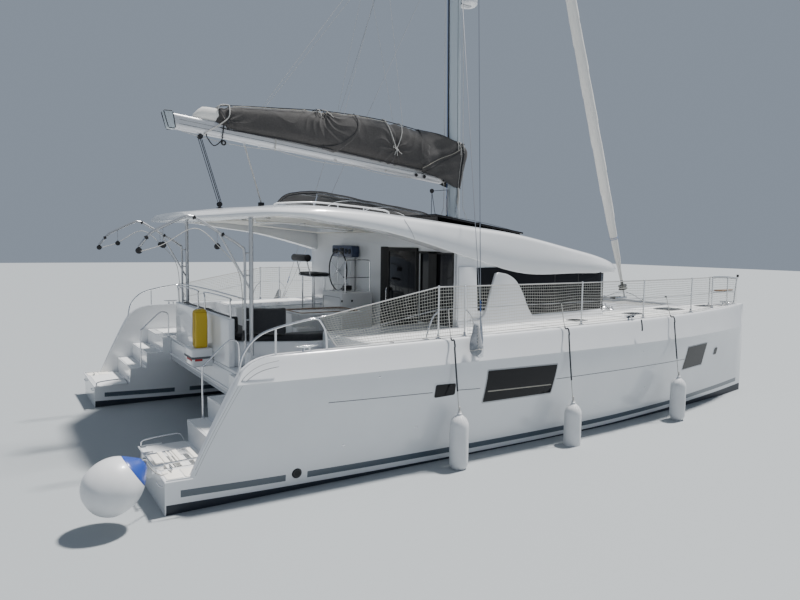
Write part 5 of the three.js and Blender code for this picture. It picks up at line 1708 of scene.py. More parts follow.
@dataclass
class Davits:
    """Twin tube davits with blocks, the posts of the top, and the rail across them."""

    y: float = -1.85
    post_x: float = -4.715
    arm: Outline = (
        (-4.815, 1.5), (-4.815, 2.3), (-4.815, 3.02), (-4.88, 3.155), (-5.21, 3.36), (-5.5, 3.535),
        (-5.6, 3.57), (-5.7, 3.555), (-6.05, 3.38), (-6.15, 3.315), (-6.3, 3.13)
    )

    def build(self) -> None:
        """Makes both davits."""
        for side in Side:
            piece = Piece(f"davit_tubes_{side.word}", side=side)
            self.tubes(piece)
            piece.done([f"davit_{side.word}"], angle=38)
        rail = Piece("stern_cross_rail")
        line = [
            (-4.83, -1.83, 2.36), (-4.86, -1.7, 2.38), (-4.87, 0, 2.4), (-4.86, 1.7, 2.38),
            (-4.83, 1.83, 2.36)
        ]
        rail.tube(STEEL, smooth_line(line, 6), 0.0125, 10)
        rail.done(angle=40)

    def tubes(self, piece: Piece) -> None:
        """Adds the post, the arm, their ties, the blocks and the lead."""
        y, post, arm_x = self.y, self.post_x, self.arm[0][0]
        top = along(TOP_ROWS, 3, post) + 0.004
        piece.rod(ALLOY, (post, y, 1.5), (post, y, top), 0.033, sides=24)
        piece.tube(ALLOY, [(x, y, z) for x, z in smooth_line(self.arm, 5)], 0.0205, 14)
        piece.rod(ALLOY, (post, y, 2.48), (-5.2, y, 3.354), 0.014)
        piece.rod(STEEL, (post, y, 1.56), (arm_x, y, 1.56), 0.02)
        socket = [(0, 0), (0.062, 0), (0.062, 0.012), (0.052, 0.03), (0.05, 0.26), (0, 0.26)]
        piece.lathe(GELCOAT, socket, (post - 0.05, y, 1.3003), UP, 24)
        flange = [(0, -0.03), (0.055, -0.03), (0.055, -0.022), (0.03, -0.012), (0.028, 0), (0, 0)]
        piece.lathe(STEEL, flange, (post, y, top - 0.004), UP, 20)
        piece.box(BLACK, (-4.865, y - 0.045, 1.74), (-4.835, y - 0.02, 1.9), 0.006)
        for z in (2.05, 2.72, 3.05):
            piece.rod(ALLOY, (post, y, z), (arm_x, y, z), 0.011)
        drum = [
            (0, -0.026), (0.036, -0.026), (0.043, -0.016), (0.03, 0), (0.043, 0.016), (0.036, 0.026),
            (0, 0.026)
        ]
        for x, z, hang in ((-6.3, 3.13, 0.05), (-5.98, 3.41, 0.25), (-5.22, 3.365, 0.22)):
            low = z - hang
            piece.rod(WIRE, (x, y, z), (x, y, low), 0.005)
            piece.lathe(BLACK, drum, (x, y, low), (0, 1, 0), 20)
            piece.box(BLACK, (x - 0.013, y - 0.03, low - 0.015), (x + 0.013, y + 0.03, low + 0.05), 0.004)
        clamp = [(0, -0.022), (0.028, -0.022), (0.028, 0.022), (0, 0.022)]
        for x, z in ((-5.55, 3.555), (-5.14, 3.32), (-6.2, 3.26)):
            piece.lathe(BLACK, clamp, (x, y, z), (1, 0, 0.4), 16)
        lead = [(-6.28, 3.07), (-5.98, 3.17), (-5.55, 3.4), (-5.22, 3.16), (-4.9, 2.72), (-4.855, 1.85)]
        piece.tube(ROPE_WHITE, smooth_line([(x, y - 0.03, z) for x, z in lead], 6), 0.006, 6)


MAST_FOOT = (0.42, 3.4)
RAKE = 0.0175
MAST_TOP = 20.2


def mast_x(z: float) -> float:
    """Middle of the raked mast at a height."""
    return MAST_FOOT[0] - RAKE * (z - MAST_FOOT[1])


@dataclass
class Mast:
    """Mast section, spreaders, fittings, lights and halyards."""

    chord: float = 0.3
    width: float = 0.18
    spreaders: Sequence[Row] = ((9.9, 1.42, 0.56), (14.9, 1.08, 0.43))
    stay_head: float = 19.4

    def ring(self, z: float, scale: float) -> list[Point]:
        """One section: an egg, blunt forward, with a flat back for the track."""
        return [
            (mast_x(z) + max(-0.93, cos(a)) * self.chord / 2 * scale, sin(a) * self.width / 2 * scale, z)
            for a in turns(36)
        ]

    def build(self) -> None:
        """Makes the mast and what is fixed to it."""
        piece = Piece("mast_section")
        levels = [(3.36, 1), (9, 1), (17.5, 1), (18.9, 0.9), (MAST_TOP, 0.72)]
        piece.add(loft_part([self.ring(z, s) for z, s in levels]), MAST_GREY)
        for height, length, sweep in self.spreaders:
            for side in Side:
                root = (mast_x(height), side.value * 0.05, height)
                tip = (mast_x(height) - sweep, side.value * length, height + 0.06)
                piece.add(self.blade(root, tip), MAST_GREY)
                piece.lathe(
                    BLACK, [(0, -0.02), (0.022, -0.02), (0.028, 0), (0.022, 0.024), (0, 0.024)], tip,
                    (0, side.value, 0.05), 14
                )
                piece.box(
                    ALLOY, (root[0] - 0.11, min(0, side.value * 0.12), height - 0.05),
                    (root[0] + 0.05, max(0, side.value * 0.12), height + 0.055), 0.01
                )
        base = roof_z(MAST_FOOT[0], 0) - 0.01
        foot = oblong(-0.235, 0.235, -0.175, 0.175, 0.05)
        step = prism_part(
            [(x + MAST_FOOT[0], y) for x, y in foot], Plane.XY, base - 0.03, base + 0.045, 0.012, 3
        )
        piece.add(step, ALLOY)
        for x, y in ((0.24, 0.12), (0.24, -0.12), (0.6, 0.12), (0.6, -0.12)):
            piece.lathe(STEEL, [(0, 0), (0.014, 0), (0.014, 0.012), (0, 0.012)], (x, y, base + 0.043), UP, 6)
        px, pz = 0.16, 4.6
        low, high = pz - 0.032, pz + 0.032
        piece.box(ALLOY, (px, -0.03, low), (mast_x(pz) - 0.1, 0.03, high), 0.006)
        eye = lathe_part(
            [(0, low - pz), (0.03, low - pz), (0.03, high - pz), (0, high - pz)], (px, 0, pz), UP, 24
        )
        bore = rod_part((px, 0, pz - 0.06), (px, 0, pz + 0.06), 0.0107, sides=20)
        piece.add(carve(eye, [bore]), ALLOY)
        piece.box(ALLOY, (mast_x(pz) - 0.165, -0.055, pz - 0.1), (mast_x(pz) - 0.12, 0.055, pz + 0.1), 0.008)
        piece.rod(WIRE, (mast_x(self.stay_head) + 0.1, 0, self.stay_head), self.stay_point(0.955), 0.007)
        piece.done(["mast"], angle=35)
        self.fittings()
        self.halyards()

    def stay_point(self, part: float) -> Point:
        """A point of the forestay, from its foot at 0 to its head at 1."""
        head = (mast_x(self.stay_head) + self.chord / 2 - 0.06, 0, self.stay_head)
        foot = (6.01, 0, 1.9)
        return between(foot, head, part)

    def blade(self, root: Point, tip: Point) -> Shape:
        """A spreader: a thin tapered foil."""
        rings = []
        a, b = Vector(root), Vector(tip)
        for t in (0, 0.5, 1):
            middle = a.lerp(b, t)
            chord, thick = 0.085 - 0.04 * t, 0.03 - 0.01 * t
            rings.append([tuple(middle + Vector((chord * cos(k), 0, thick * sin(k)))) for k in turns(16)])
        return loft_part(rings)

    def fittings(self) -> None:
        """Track, lights, masthead gear, radar, cleats and the blocks at the foot."""
        piece = Piece("mast_fittings")
        back = [
            (mast_x(z) - self.chord / 2 * 0.93 * (1 if z < 17.5 else 0.93) - 0.006, z)
            for z in spread(4.75, 17.6, 20)
        ]
        square = ((-0.01, -0.014), (0.014, -0.014), (0.014, 0.014), (-0.01, 0.014))
        piece.add(loft_part([[(x + dx, dy, z) for dx, dy in square] for x, z in back]), BLACK)
        top, mid = MAST_TOP, mast_x(MAST_TOP)
        piece.box(MAST_GREY, (mid - 0.2, -0.05, top - 0.02), (mid + 0.16, 0.05, top + 0.03), 0.012, 3)
        for x in (mid - 0.16, mid + 0.12):
            piece.lathe(
                BLACK,
                [
                    (0, -0.025), (0.045, -0.025), (0.045, -0.018), (0.034, 0), (0.045, 0.018), (0.045, 0.025),
                    (0, 0.025)
                ], (x, 0, top + 0.005), (0, 1, 0), 20
            )
        piece.lathe(
            LENS, [(0, 0), (0.035, 0), (0.038, 0.012), (0.036, 0.07), (0.028, 0.09), (0, 0.095)],
            (mid + 0.02, 0, top + 0.03), UP, 20
        )
        piece.rod(WIRE, (mid - 0.05, 0.02, top + 0.02), (mid - 0.05, 0.02, top + 0.42), 0.004)
        piece.rod(STEEL, (mid + 0.12, -0.02, top + 0.02), (mid + 0.34, -0.02, top + 0.16), 0.006)
        for angle in turns(3):
            centre = (mid + 0.34 + 0.045 * cos(angle), -0.02 + 0.045 * sin(angle), top + 0.16)
            piece.ball(BLACK, centre, (0.018, 0.018, 0.014), 10)
            piece.rod(BLACK, (mid + 0.34, -0.02, top + 0.16), centre, 0.003)
        vane = prism_part(
            [
                (mid + 0.3, top + 0.22), (mid + 0.42, top + 0.2), (mid + 0.42, top + 0.26),
                (mid + 0.3, top + 0.235), (mid + 0.22, top + 0.228)
            ], Plane.XZ, -0.0215, -0.0185
        )
        piece.add(vane, BLACK)
        piece.rod(STEEL, (mid + 0.34, -0.02, top + 0.15), (mid + 0.34, -0.02, top + 0.23), 0.003)
        radar_z = 8.2
        piece.box(
            ALLOY, (mast_x(radar_z) + 0.13, -0.05, radar_z - 0.02), (mast_x(radar_z) + 0.4, 0.05, radar_z),
            0.006
        )
        piece.lathe(
            GELCOAT, [(0, 0), (0.17, 0), (0.2, 0.03), (0.205, 0.1), (0.19, 0.15), (0.12, 0.185), (0, 0.195)],
            (mast_x(radar_z) + 0.34, 0, radar_z), UP, 40
        )
        lamp_z = 11.5
        piece.lathe(
            LENS, [(0, 0), (0.045, 0), (0.045, 0.06), (0.03, 0.085), (0, 0.09)],
            (mast_x(lamp_z) + 0.185, 0, lamp_z), UP, 18
        )
        piece.box(
            BLACK, (mast_x(lamp_z) + 0.13, -0.02, lamp_z - 0.01),
            (mast_x(lamp_z) + 0.2, 0.02, lamp_z + 0.004), 0.003
        )
        for side in Side:
            groove = [(mast_x(z) + 0.025, side.value * 0.0885, z) for z in spread(3.7, 17.4, 12)]
            piece.tube(GROOVE, groove, 0.0055, 6)
            for zc in (4.95, 5.25):
                yc = side.value * self.width / 2 * 0.96
                piece.box(
                    BLACK, (mast_x(zc) - 0.03, min(yc, yc + side.value * 0.018), zc - 0.05),
                    (mast_x(zc) + 0.03, max(yc, yc + side.value * 0.018), zc + 0.05), 0.006
                )
            cleat_part(
                piece, (mast_x(3.95) - 0.02, side.value * self.width / 2, 3.95), Vector((0, side.value, 0)),
                Vector((0, 0, 1)), 0.11
            )
        for x, y in ((0.14, 0.24), (0.14, -0.24), (0.42, 0.26), (0.42, -0.26), (0.7, 0.2), (0.7, -0.2)):
            z = roof_z(x, y)
            piece.box(STEEL, (x - 0.018, y - 0.018, z - 0.01), (x + 0.018, y + 0.018, z + 0.03), 0.005)
            piece.lathe(
                BLACK,
                [
                    (0, -0.012), (0.03, -0.012), (0.034, -0.007), (0.026, 0), (0.034, 0.007), (0.03, 0.012),
                    (0, 0.012)
                ], (x, y, z + 0.055), (-0.4, 0, 1), 18
            )
        piece.done(angle=35)
        self.foot_ropes()

    def foot_ropes(self) -> None:
        """Ropes and small blocks behind the mast, under and over the boom's forward end."""
        piece = Piece("mast_foot_ropes")
        deck = roof_z(0.22, 0)
        for low, high, size, finish in (
            (deck - 0.01, 3.84, 0.019, BLACK), (3.82, 4.2, 0.013, ROPE_WHITE), (4.18, 4.36, 0.015, BLACK)
        ):
            piece.tube(
                finish, [(0.215 + 0.012 * sin(9 * z), -0.02, z) for z in spread(low, high, 12)], size, 8
            )
        piece.tube(ROPE_WHITE, [(0.235, -0.03, 3.9), (0.215, -0.035, 4.15), (0.225, -0.03, 4.37)], 0.008, 7)
        drum = [
            (0, -0.018), (0.042, -0.018), (0.048, -0.01), (0.04, 0), (0.048, 0.01), (0.042, 0.018), (0, 0.018)
        ]
        for x in (-0.17, -0.005):
            run = [(-0.16, 0, 4.3), (x, 0, roof_z(x, 0))]
            piece.rod(DARK_ROPE_AND_ROPE_SHADE, *run, 0.0055)
        piece.lathe(BLACK, drum, (-0.16, 0, 4.32), (0, 1, 0), 20)
        piece.rod(DARK_ROPE_AND_ROPE_SHADE, (-0.16, 0, 4.32), (0.215, 0, 4.36), 0.0055)
        high = 5.66
        piece.rod(BLACK, (0.24, 0, high - 0.22), (0.24, 0, high + 0.3), 0.016)
        piece.done(angle=40)

    def halyards(self) -> None:
        """Halyards that run up outside the mast and down to the blocks at its foot."""
        piece = Piece("halyards")
        runs = (
            (-0.195, 0.03, 19.9, ROPE_WHITE), (-0.19, -0.035, 19.6, ROPE_BLUE),
            (0.165, 0.045, 19.3, ROPE_RED), (0.16, -0.05, 12.2, ROPE_WHITE)
        )
        for dx, y, top, finish in runs:
            x1 = mast_x(top) + dx * 0.8
            low = (mast_x(4) + dx * 1.15, y * 1.6, 4)
            foot = (0.14 if dx < 0 else 0.7, copysign(0.22, y), roof_z(0.2, 0.2) + 0.06)
            piece.tube(finish, [(x1, y * 0.6, top), (mast_x(12) + dx * 1.05, y, 12), low, foot], 0.006, 6)
            lead = smooth_line(
                [
                    foot, (foot[0] - 0.6, 0.8 if y > 0 else 0.55, roof_z(foot[0] - 0.6, 0.8) + 0.02),
                    (-0.93, 1.93 + y, roof_z(-0.93, 1.95) + 0.03)
                ], 8
            )
            piece.tube(finish, lead, 0.006, 6)
        piece.done(angle=50)


def cleat_part(piece: Piece, at: Sequence[float], up: Vector, run: Vector, size: float) -> None:
    """A horned cleat.

    Args:
        piece: the piece that takes it.
        at: the middle of its foot.
        up: the way it stands off.
        run: the way of its horns.
        size: half its length.
    """
    foot = Vector(at)
    top = foot + up * size * 0.42
    for step in (-0.32, 0.32):
        piece.rod(
            STEEL, tuple(foot + run * size * step), tuple(top + run * size * step * 0.8), size * 0.11,
            size * 0.09, 10
        )
    line = [top + run * size * t + up * size * 0.1 * t * t for t in spread(-1, 1, 11)]
    piece.add(
        tube_part(
            [tuple(p) for p in line], 0, 10,
            radii=[size * (0.045 + 0.085 * (1 - t * t)) for t in spread(-1, 1, 11)]
        ), STEEL
    )


@dataclass
class BoomRig:
    """Boom with its sheaves and caps, the stuffed sail bag, its straps and the lines round it."""

    pivot: Pair = (0.16, 4.6)
    end: Pair = (-5.5, 5.2)
    bag: Sequence[Row] = (
        (-4.7, 0.06, 0.04, 0.38), (-4.45, 0.13, 0.02, 0.45), (-3.6, 0.205, 0.03, 0.6),
        (-2.6, 0.245, 0.025, 0.76), (-1.5, 0.265, 0.005, 0.85), (-0.7, 0.26, 0, 0.84), (-0.33, 0.235, 0, 0.82)
    )
    # level in the bag from 0 to 1, share of its half width
    profile: Sequence[Row] = (
        (0, 0.72), (0.12, 0.94), (0.3, 1), (0.52, 0.97), (0.74, 0.82), (0.9, 0.54), (0.975, 0.26), (1, 0.04)
    )
    # x, level, reach and number of the folds that run out from a tie
    gathers: Sequence[Row] = (
        (-4.52, 0.35, 0.3, 9), (-2.72, 1, 0.42, 17), (-1.22, 0.36, 0.34, 11), (-0.3, 1, 0.6, 13)
    )

    def middle(self, x: float) -> float:
        """Height of the boom's middle line."""
        return 4.62 + (self.end[1] - 4.62) * (x - self.pivot[0]) / (self.end[0] - self.pivot[0])

    def section(self, x: float, grow: float = 0) -> list[Point]:
        """One section of the boom."""
        half, tall = 0.082 + grow, 0.125 + grow
        deep = tall + 0.03 * min(1, max(0, (x + 3.2) / 2.8))
        corners = [
            (-0.55, -1, 0.35), (0.55, -1, 0.35), (1, -0.5, 0.35), (1, 0.72, 0.22), (0.72, 1, 0.2),
            (-0.72, 1, 0.2), (-1, 0.72, 0.22), (-1, -0.5, 0.35)
        ]
        soft = rounded([(y * half, z * tall, r * half) for y, z, r in corners], 4)
        return [(x, y, self.middle(x) + (z if z > 0 else z * deep / tall)) for y, z in soft]

    def build(self) -> None:
        """Makes the boom, the bag and the lines."""
        self.spar()
        self.stuffed_bag()
        self.lines()

    def spar(self) -> None:
        """The boom's section with end caps, track and fork."""
        piece = Piece("boom_section", "boom")
        piece.add(loft_part([self.section(x) for x in (-5.44, -3.2, -0.4, 0)]), BOOM_PAINT)
        cap = rounded(
            [(-5.545, 5.345, 0.02), (-5.4, 5.335, 0.02), (-5.36, 5.055, 0.02), (-5.475, 5.065, 0.02)], 4
        )
        piece.add(prism_part(cap, Plane.XZ, -0.088, 0.088, 0.012, 3), MAST_GREY)
        for k in (0, 1):
            rim = [(-5.545 + 0.145 * k, 5.335), (-5.475 + 0.115 * k, 5.065)]
            piece.both(
                rod_part((rim[0][0], -0.086, rim[0][1] - 0.01), (rim[1][0], -0.086, rim[1][1] + 0.01), 0.008),
                BLACK
            )
        for x0, x1, z in ((-5.54, -5.41, 5.338), (-5.47, -5.37, 5.062)):
            piece.both(rod_part((x0, -0.086, z), (x1, -0.086, z), 0.008), BLACK)
        piece.add(
            loft_part(
                [
                    self.section(x, g)
                    for x, g in ((-0.02, 0.003), (0.04, 0.003), (0.055, -0.006), (0.06, -0.02))
                ]
            ), BOOM_PAINT
        )
        for low, high in ((-0.066, -0.038), (0.038, 0.066)):
            z = self.pivot[1]
            piece.box(STEEL, (0.04, -0.028, z + low), (self.pivot[0], 0.028, z + high), 0.004)
            piece.lathe(
                STEEL, [(0, low), (0.028, low), (0.028, high), (0, high)], (self.pivot[0], 0, z), UP, 24
            )
        piece.lathe(
            STEEL,
            [
                (0, -0.07), (0.014, -0.07), (0.014, -0.066), (0.01, -0.066), (0.01, 0.066), (0.014, 0.066),
                (0.014, 0.072), (0, 0.072)
            ], (self.pivot[0], 0, self.pivot[1]), UP, 20
        )
        for low, high in ((4.62, 4.47), (4.585, 4.5)):
            piece.tube(
                ROPE_WHITE,
                [(-0.06, -0.092, low), (0.03, -0.086, (low + high) / 2 - 0.01), (0.11, -0.045, high)], 0.009,
                7
            )
        for y in (-0.084, 0.084):
            for z0 in (0.035, -0.035):
                groove = [(x, y, self.middle(x) + z0) for x in spread(-5.3, -0.05, 6)]
                piece.tube(GROOVE, groove, 0.0035, 5)
        for x in (-4.94, -4.17, -3.9, -2, -0.75):
            z = self.middle(x) - 0.125
            piece.box(STEEL, (x - 0.03, -0.016, z - 0.014), (x + 0.03, 0.016, z + 0.01), 0.004)
            piece.tube(
                STEEL, [(x + 0.018 * cos(a), 0, z - 0.022 + 0.018 * sin(a)) for a in spread(0, 5.7, 16)],
                0.004, 6
            )
        for x in (-0.62, -0.42):
            z = self.middle(x) - 0.02
            for y in (-0.096, 0.096):
                piece.lathe(
                    BLACK, [(0, -0.012), (0.032, -0.012), (0.036, 0), (0.032, 0.012), (0, 0.012)],
                    (x, y, z - 0.07), (0, 1, 0), 18
                )
        piece.done(["boom"], angle=35)

    def skin(self, x: float, level: float, side: int = 1, out: float = 0) -> Point:
        """A point on the bag.

        Args:
            x: where along the boom.
            level: height in the bag, from 0 to 1.
            side: 1 for port, -1 for starboard.
            out: distance off the cloth.
        """
        half, low, high = (along(self.bag, c, x) for c in (1, 2, 3))
        wide = half * along(self.profile, 1, level)
        return (x, side * (wide + out), self.middle(x) + low + (high - low) * level + out * level)

    def bag_ring(self, x: float) -> list[Point]:
        """One section of the filled bag."""
        levels = [*spread(0, 0.9, 14), 0.94, 0.975, 1]
        return [*(self.skin(x, t) for t in levels), *(self.skin(x, t, -1) for t in reversed(levels))]

    def fold(self, x: float, side: float, level: float) -> float:
        """How far the cloth stands out at a place.

        Args:
            x: where along the boom.
            side: sign of y.
            level: height in the bag, from 0 to 1.
        """
        total = 0.004 * (1 - 2 * abs(sin(3.1 * x + 4.5 * level + 1.3 * sin(1.9 * x + side))))
        for at, height, reach, count in self.gathers:
            dx, dz = x - at, (level - height) * 0.75
            far = hypot(dx, dz)
            turn = atan2(dz, dx) + 0.25 * sin(7 * far)
            ridge = 1 - 2 * abs(sin(count * turn / 2 + 0.7 * side)) ** 0.7
            total += 0.022 * ridge * min(1, far / 0.12) * exp(-far / reach)
            total -= 0.022 * exp(-(dx / 0.05) ** 2) * (0.4 + level)
        pouch = x + 2.5 - 0.5 * sin(1.9 * min(level, 0.85))
        edge = 1 if pouch < 0 else exp(-(pouch / 0.02) ** 2)
        return total + 0.03 * exp(-(min(0, pouch) / 0.22) ** 2) * edge * (1 - 0.6 * level)

    def stuffed_bag(self) -> None:
        """The bag with its zip, seams, ties, and the part that wraps the mast."""
        rows = [-4.7, -4.66, -4.58, *spread(-4.5, -0.33, 84)]
        swollen = inflate(loft_part([self.bag_ring(x) for x in rows]), 0.014, 0.03, 2)
        bmesh.ops.subdivide_edges(swollen, edges=swollen.edges, cuts=1, use_grid_fill=True, smooth=0.6)
        swollen.normal_update()
        for vert in swollen.verts:
            x, y, z = vert.co
            _, low, high = (along(self.bag, c, x) for c in (1, 2, 3))
            level = (z - self.middle(x) - low) / (high - low)
            fade = min(1, max(0, (x + 4.68) / 0.1), max(0, (-0.52 - x) / 0.14))
            vert.co += vert.normal * self.fold(x, copysign(1, y), min(1, max(0, level))) * fade
        hollow = loft_part([self.section(x, 0.0015) for x in (-5.6, 0.1)])
        piece = Piece("sail_bag_cloth", "boom")
        piece.add(carve(swollen, [hollow]), CANVAS)
        bag = piece.done(["sail_bag"], angle=70)
        self.clew()
        self.ties()
        self.collar()

    def clew(self) -> None:
        """Corner of the sail, rolled on the boom, that shows aft of the bag."""
        piece = Piece("sail_clew", "boom")
        rings = []
        for x, half, tall in (
            (-5.07, 0.01, 0.02), (-5.05, 0.035, 0.07), (-4.98, 0.062, 0.155), (-4.9, 0.072, 0.215),
            (-4.8, 0.075, 0.235), (-4.68, 0.078, 0.245), (-4.6, 0.075, 0.24)
        ):
            base = self.middle(x) + 0.118
            ring = []
            for angle in turns(26):
                crease = 1 + 0.05 * sin(3 * angle + 20 * x)
                ring.append((x, half * cos(angle) * crease, base + tall / 2 * (1 + sin(angle) * crease)))
            rings.append(ring)
        piece.add(loft_part(rings), SAIL)
        piece.done(angle=70)

    def ties(self) -> None:
        """Zip, edge strips, ropes tied round the bag, small eyes along the boom, and a dark line of painted
        shade in the pouch's crease.
        """
        trim = Piece("sail_bag_trim", "boom")
        trim.tube(CANVAS_TRIM_AND_CREASE_SHADE, [self.skin(x, 1, 1, 0.006) for x in spread(-4.62, -0.36, 90)], 0.009, 6)
        for side in (-1, 1):
            trim.tube(
                CANVAS_TRIM_AND_CREASE_SHADE, [self.skin(x, 0.02, side, 0.014) for x in spread(-4.62, -0.36, 60)], 0.01, 6
            )
            trim.tube(
                WEBBING,
                [self.skin(x, 0.93, side, 0.014 + self.fold(x, side, 0.93)) for x in spread(-4.4, -1.38, 70)],
                0.005, 5
            )
            for start in (-1.38, -1.01):
                down = [(start + (-1.21 - start) * t**1.4, 1 - 0.66 * t) for t in spread(0, 1, 26)]
                line = [
                    self.skin(x, level, side, 0.016 + max(0, self.fold(x, side, level))) for x, level in down
                ]
                trim.tube(ROPE_WHITE, [(start, 0, line[0][2] + 0.004), *line], 0.0085, 8)
            x, y, z = self.skin(-1.21, 0.33, side, 0.03)
            for dx, dz, size in (
                (0, 0, 0.02), (-0.022, 0.016, 0.014), (0.02, -0.012, 0.015), (0.004, -0.03, 0.013)
            ):
                trim.ball(ROPE_WHITE, (x + dx, y, z + dz), (size, 0.014, size * 1.1), 12)
            for dx, dz in ((-0.055, -0.115), (0.012, -0.125), (0.115, -0.085)):
                tail = [
                    (x + dx * t + 0.006 * sin(9 * t), y + side * 0.004 * sin(5 * t), z + dz * t)
                    for t in spread(0, 1, 9)
                ]
                trim.tube(ROPE_WHITE, tail, 0.0065, 7)
            loop = [(x - 0.055 + 0.032 * cos(a), y, z + 0.042 + 0.016 * sin(a)) for a in turns(14)]
            trim.tube(ROPE_WHITE, loop, 0.0055, 6, closed=True)
            lash = [
                (-4.44, side * 0.02, 5.548), (-4.46, side * 0.115, 5.44), (-4.5, side * 0.142, 5.31),
                (-4.68, side * 0.105, 5.16), (-4.86, side * 0.094, 5.04), (-4.88, side * 0.04, 4.992)
            ]
            trim.tube(ROPE_WHITE, smooth_line(lash, 5), 0.0095, 8)
            trim.tube(
                ROPE_WHITE,
                smooth_line(
                    [(-4.44, side * 0.02, 5.552), (-4.6, side * 0.06, 5.535), (-4.66, side * 0.075, 5.44)], 5
                ), 0.009, 8
            )
            trim.tube(
                DARK_ROPE_AND_ROPE_SHADE,
                [self.skin(-4.62 + 0.14 * t, 0.85 - 0.65 * t, side, 0.012) for t in spread(0, 1, 12)], 0.007,
                7
            )
            for dx in (-0.06, 0, 0.07, 0.15):
                strap = [
                    self.skin(
                        -2.78 + dx * (0.6 + t), 1 - 0.2 * t, side,
                        0.02 + max(0, self.fold(-2.78 + dx, side, 1 - 0.2 * t))
                    ) for t in spread(0, 1, 8)
                ]
                trim.tube(ROPE_WHITE if dx in (0, 0.15) else CANVAS_TRIM_AND_CREASE_SHADE, strap, 0.007, 6)
        web = smooth_line(
            [
                (-4.56, -0.1, 5.2), (-4.58, -0.092, 5.02), (-4.6, -0.06, 4.93), (-4.72, -0.05, 4.84),
                (-4.83, -0.05, 4.96), (-4.85, -0.06, 5.02)
            ], 5
        )
        trim.tube(BLACK, web, 0.01, 7)
        trim.tube(
            BLACK, [(-4.56 + 0.034 * cos(a), -0.07, 4.9 + 0.034 * sin(a)) for a in turns(20)], 0.016, 8,
            closed=True
        )
        # Dark line along the pouch's crease on both sides: painted shade in the crease.
        pouch = smooth_line(
            [(-2.07, 0.97), (-2.04, 0.78), (-2.1, 0.55), (-2.27, 0.34), (-2.52, 0.13), (-2.8, 0.04)], 6
        )
        for side in (-1, 1):
            trim.tube(
                CANVAS_TRIM_AND_CREASE_SHADE, [self.skin(x, t, side, 0.016 + self.fold(x, side, t)) for x, t in pouch], 0.008,
                6
            )
        for x, low, high in ((-3.63, -0.165, 0.1), (-2.43, -0.15, -0.1), (-1.33, -0.15, -0.1)):
            z = self.middle(x)
            hang = [
                (x, -0.094, z + high), (x + 0.004, -0.1, z + (low + high) / 2),
                (x - 0.008, -0.075, z - 0.132), (x + 0.006, -0.055, z + low)
            ]
            trim.tube(ROPE_WHITE, smooth_line(hang, 6), 0.008, 7)
            trim.ball(ROPE_WHITE, (x, -0.085, z - 0.125), (0.016, 0.014, 0.018), 10)
        for x in (-2.83, -0.95):
            z = self.middle(x) + 0.05
            trim.tube(
                ROPE_WHITE, [(x + 0.016 * cos(a), -0.1, z + 0.012 * sin(a)) for a in turns(12)], 0.004, 6,
                closed=True
            )
        trim.done(angle=60)

    def collar_point(self, turn: float, level: float, out: float = 0) -> Point:
        """A point of the cloth round the mast.

        Args:
            turn: from -1 at the starboard end over 0 at the nose to 1 at the port end.
            level: height in the cloth, from 0 to 1.
            out: distance off the cloth.
        """
        start = -0.56
        angle = pi / 2 * (1 - abs(turn))
        ahead = sin(angle) ** 0.9
        # level, x of the nose
        nose = along(((0, 0.56), (0.25, 0.61), (0.55, 0.68), (0.85, 0.735), (1, 0.6)), 1, level)
        x = start + (nose - start) * ahead
        low, high = (
            along(((start, a), (-0.05, b), (0.3, c), (0.75, d)), 1, x)
            for a, b, c, d in ((4.672, 4.57, 4.43, 4.4), (5.535, 5.46, 5.375, 5.33))
        )
        _, y, _ = self.skin(start, level)
        open_up = min(1, max(0, (x - start) / 0.55))
        open_up *= open_up * (3 - 2 * open_up)
        wide = y + 0.01 + (0.165 - 0.02 * level - y) * open_up
        crease = 0.01 * (1 - 2 * abs(sin(5 * (x * 1.2 - 2 * level)))) * open_up * (1 - ahead) * 2
        crease += 0.005 * sin(13 * level + 5 * x) * sin(9 * x)
        half = wide * cos(angle) ** 0.8 if turn else 0
        y = copysign(1, turn or 1) * half * (1 + crease * 5) + copysign(out, turn)
        return (x, y, low + (high - low) * level)

    def collar(self) -> None:
        """The front of the bag, which wraps the mast."""
        sheet = sheet_grid(84, 40, lambda u, v: self.collar_point(2 * u - 1, v))
        bmesh.ops.solidify(sheet, geom=list(sheet.faces), thickness=0.004)
        bmesh.ops.recalc_face_normals(sheet, faces=sheet.faces)
        piece = Piece("sail_bag_collar", "")
        piece.add(sheet, CANVAS)
        for edge in (0, 1):
            piece.tube(CANVAS_TRIM_AND_CREASE_SHADE, [self.collar_point(t, edge, 0.003) for t in spread(-1, 1, 80)], 0.007, 6)
        for shift, size, finish in (
            (0, 0.009, CANVAS_TRIM_AND_CREASE_SHADE), (0.035, 0.005, ROPE_WHITE), (-0.03, 0.006, CANVAS_TRIM_AND_CREASE_SHADE)
        ):
            piece.tube(
                finish, [self.collar_point(-0.28 - 0.1 * t - shift, t, 0.009) for t in spread(0, 1, 30)],
                size, 6
            )
        for drop, end, finish in ((0, 0.23, CANVAS_TRIM_AND_CREASE_SHADE), (0.045, 0.17, WEBBING), (0.09, 0.04, CANVAS_TRIM_AND_CREASE_SHADE)):
            seam = []
            for t in spread(0, 1, 26):
                turn = -0.38 - 0.62 * t
                x, _, low = self.collar_point(turn, 0)
                top = self.collar_point(turn, 1)[2]
                goal = 5.33 - drop + (4.66 + 0.855 * end - 5.33 + drop) * (0.46 - x) / 0.9
                seam.append(self.collar_point(turn, min(0.99, (goal - low) / (top - low)), 0.006))
            piece.tube(finish, seam, 0.0065, 6)
        for turn, level, length in (
            (-0.4, 1, 0.16), (-0.33, 0.99, 0.24), (-0.2, 0.98, 0.2), (-0.05, 1, 0.12)
        ):
            x, y, z = self.collar_point(turn, level, 0.012)
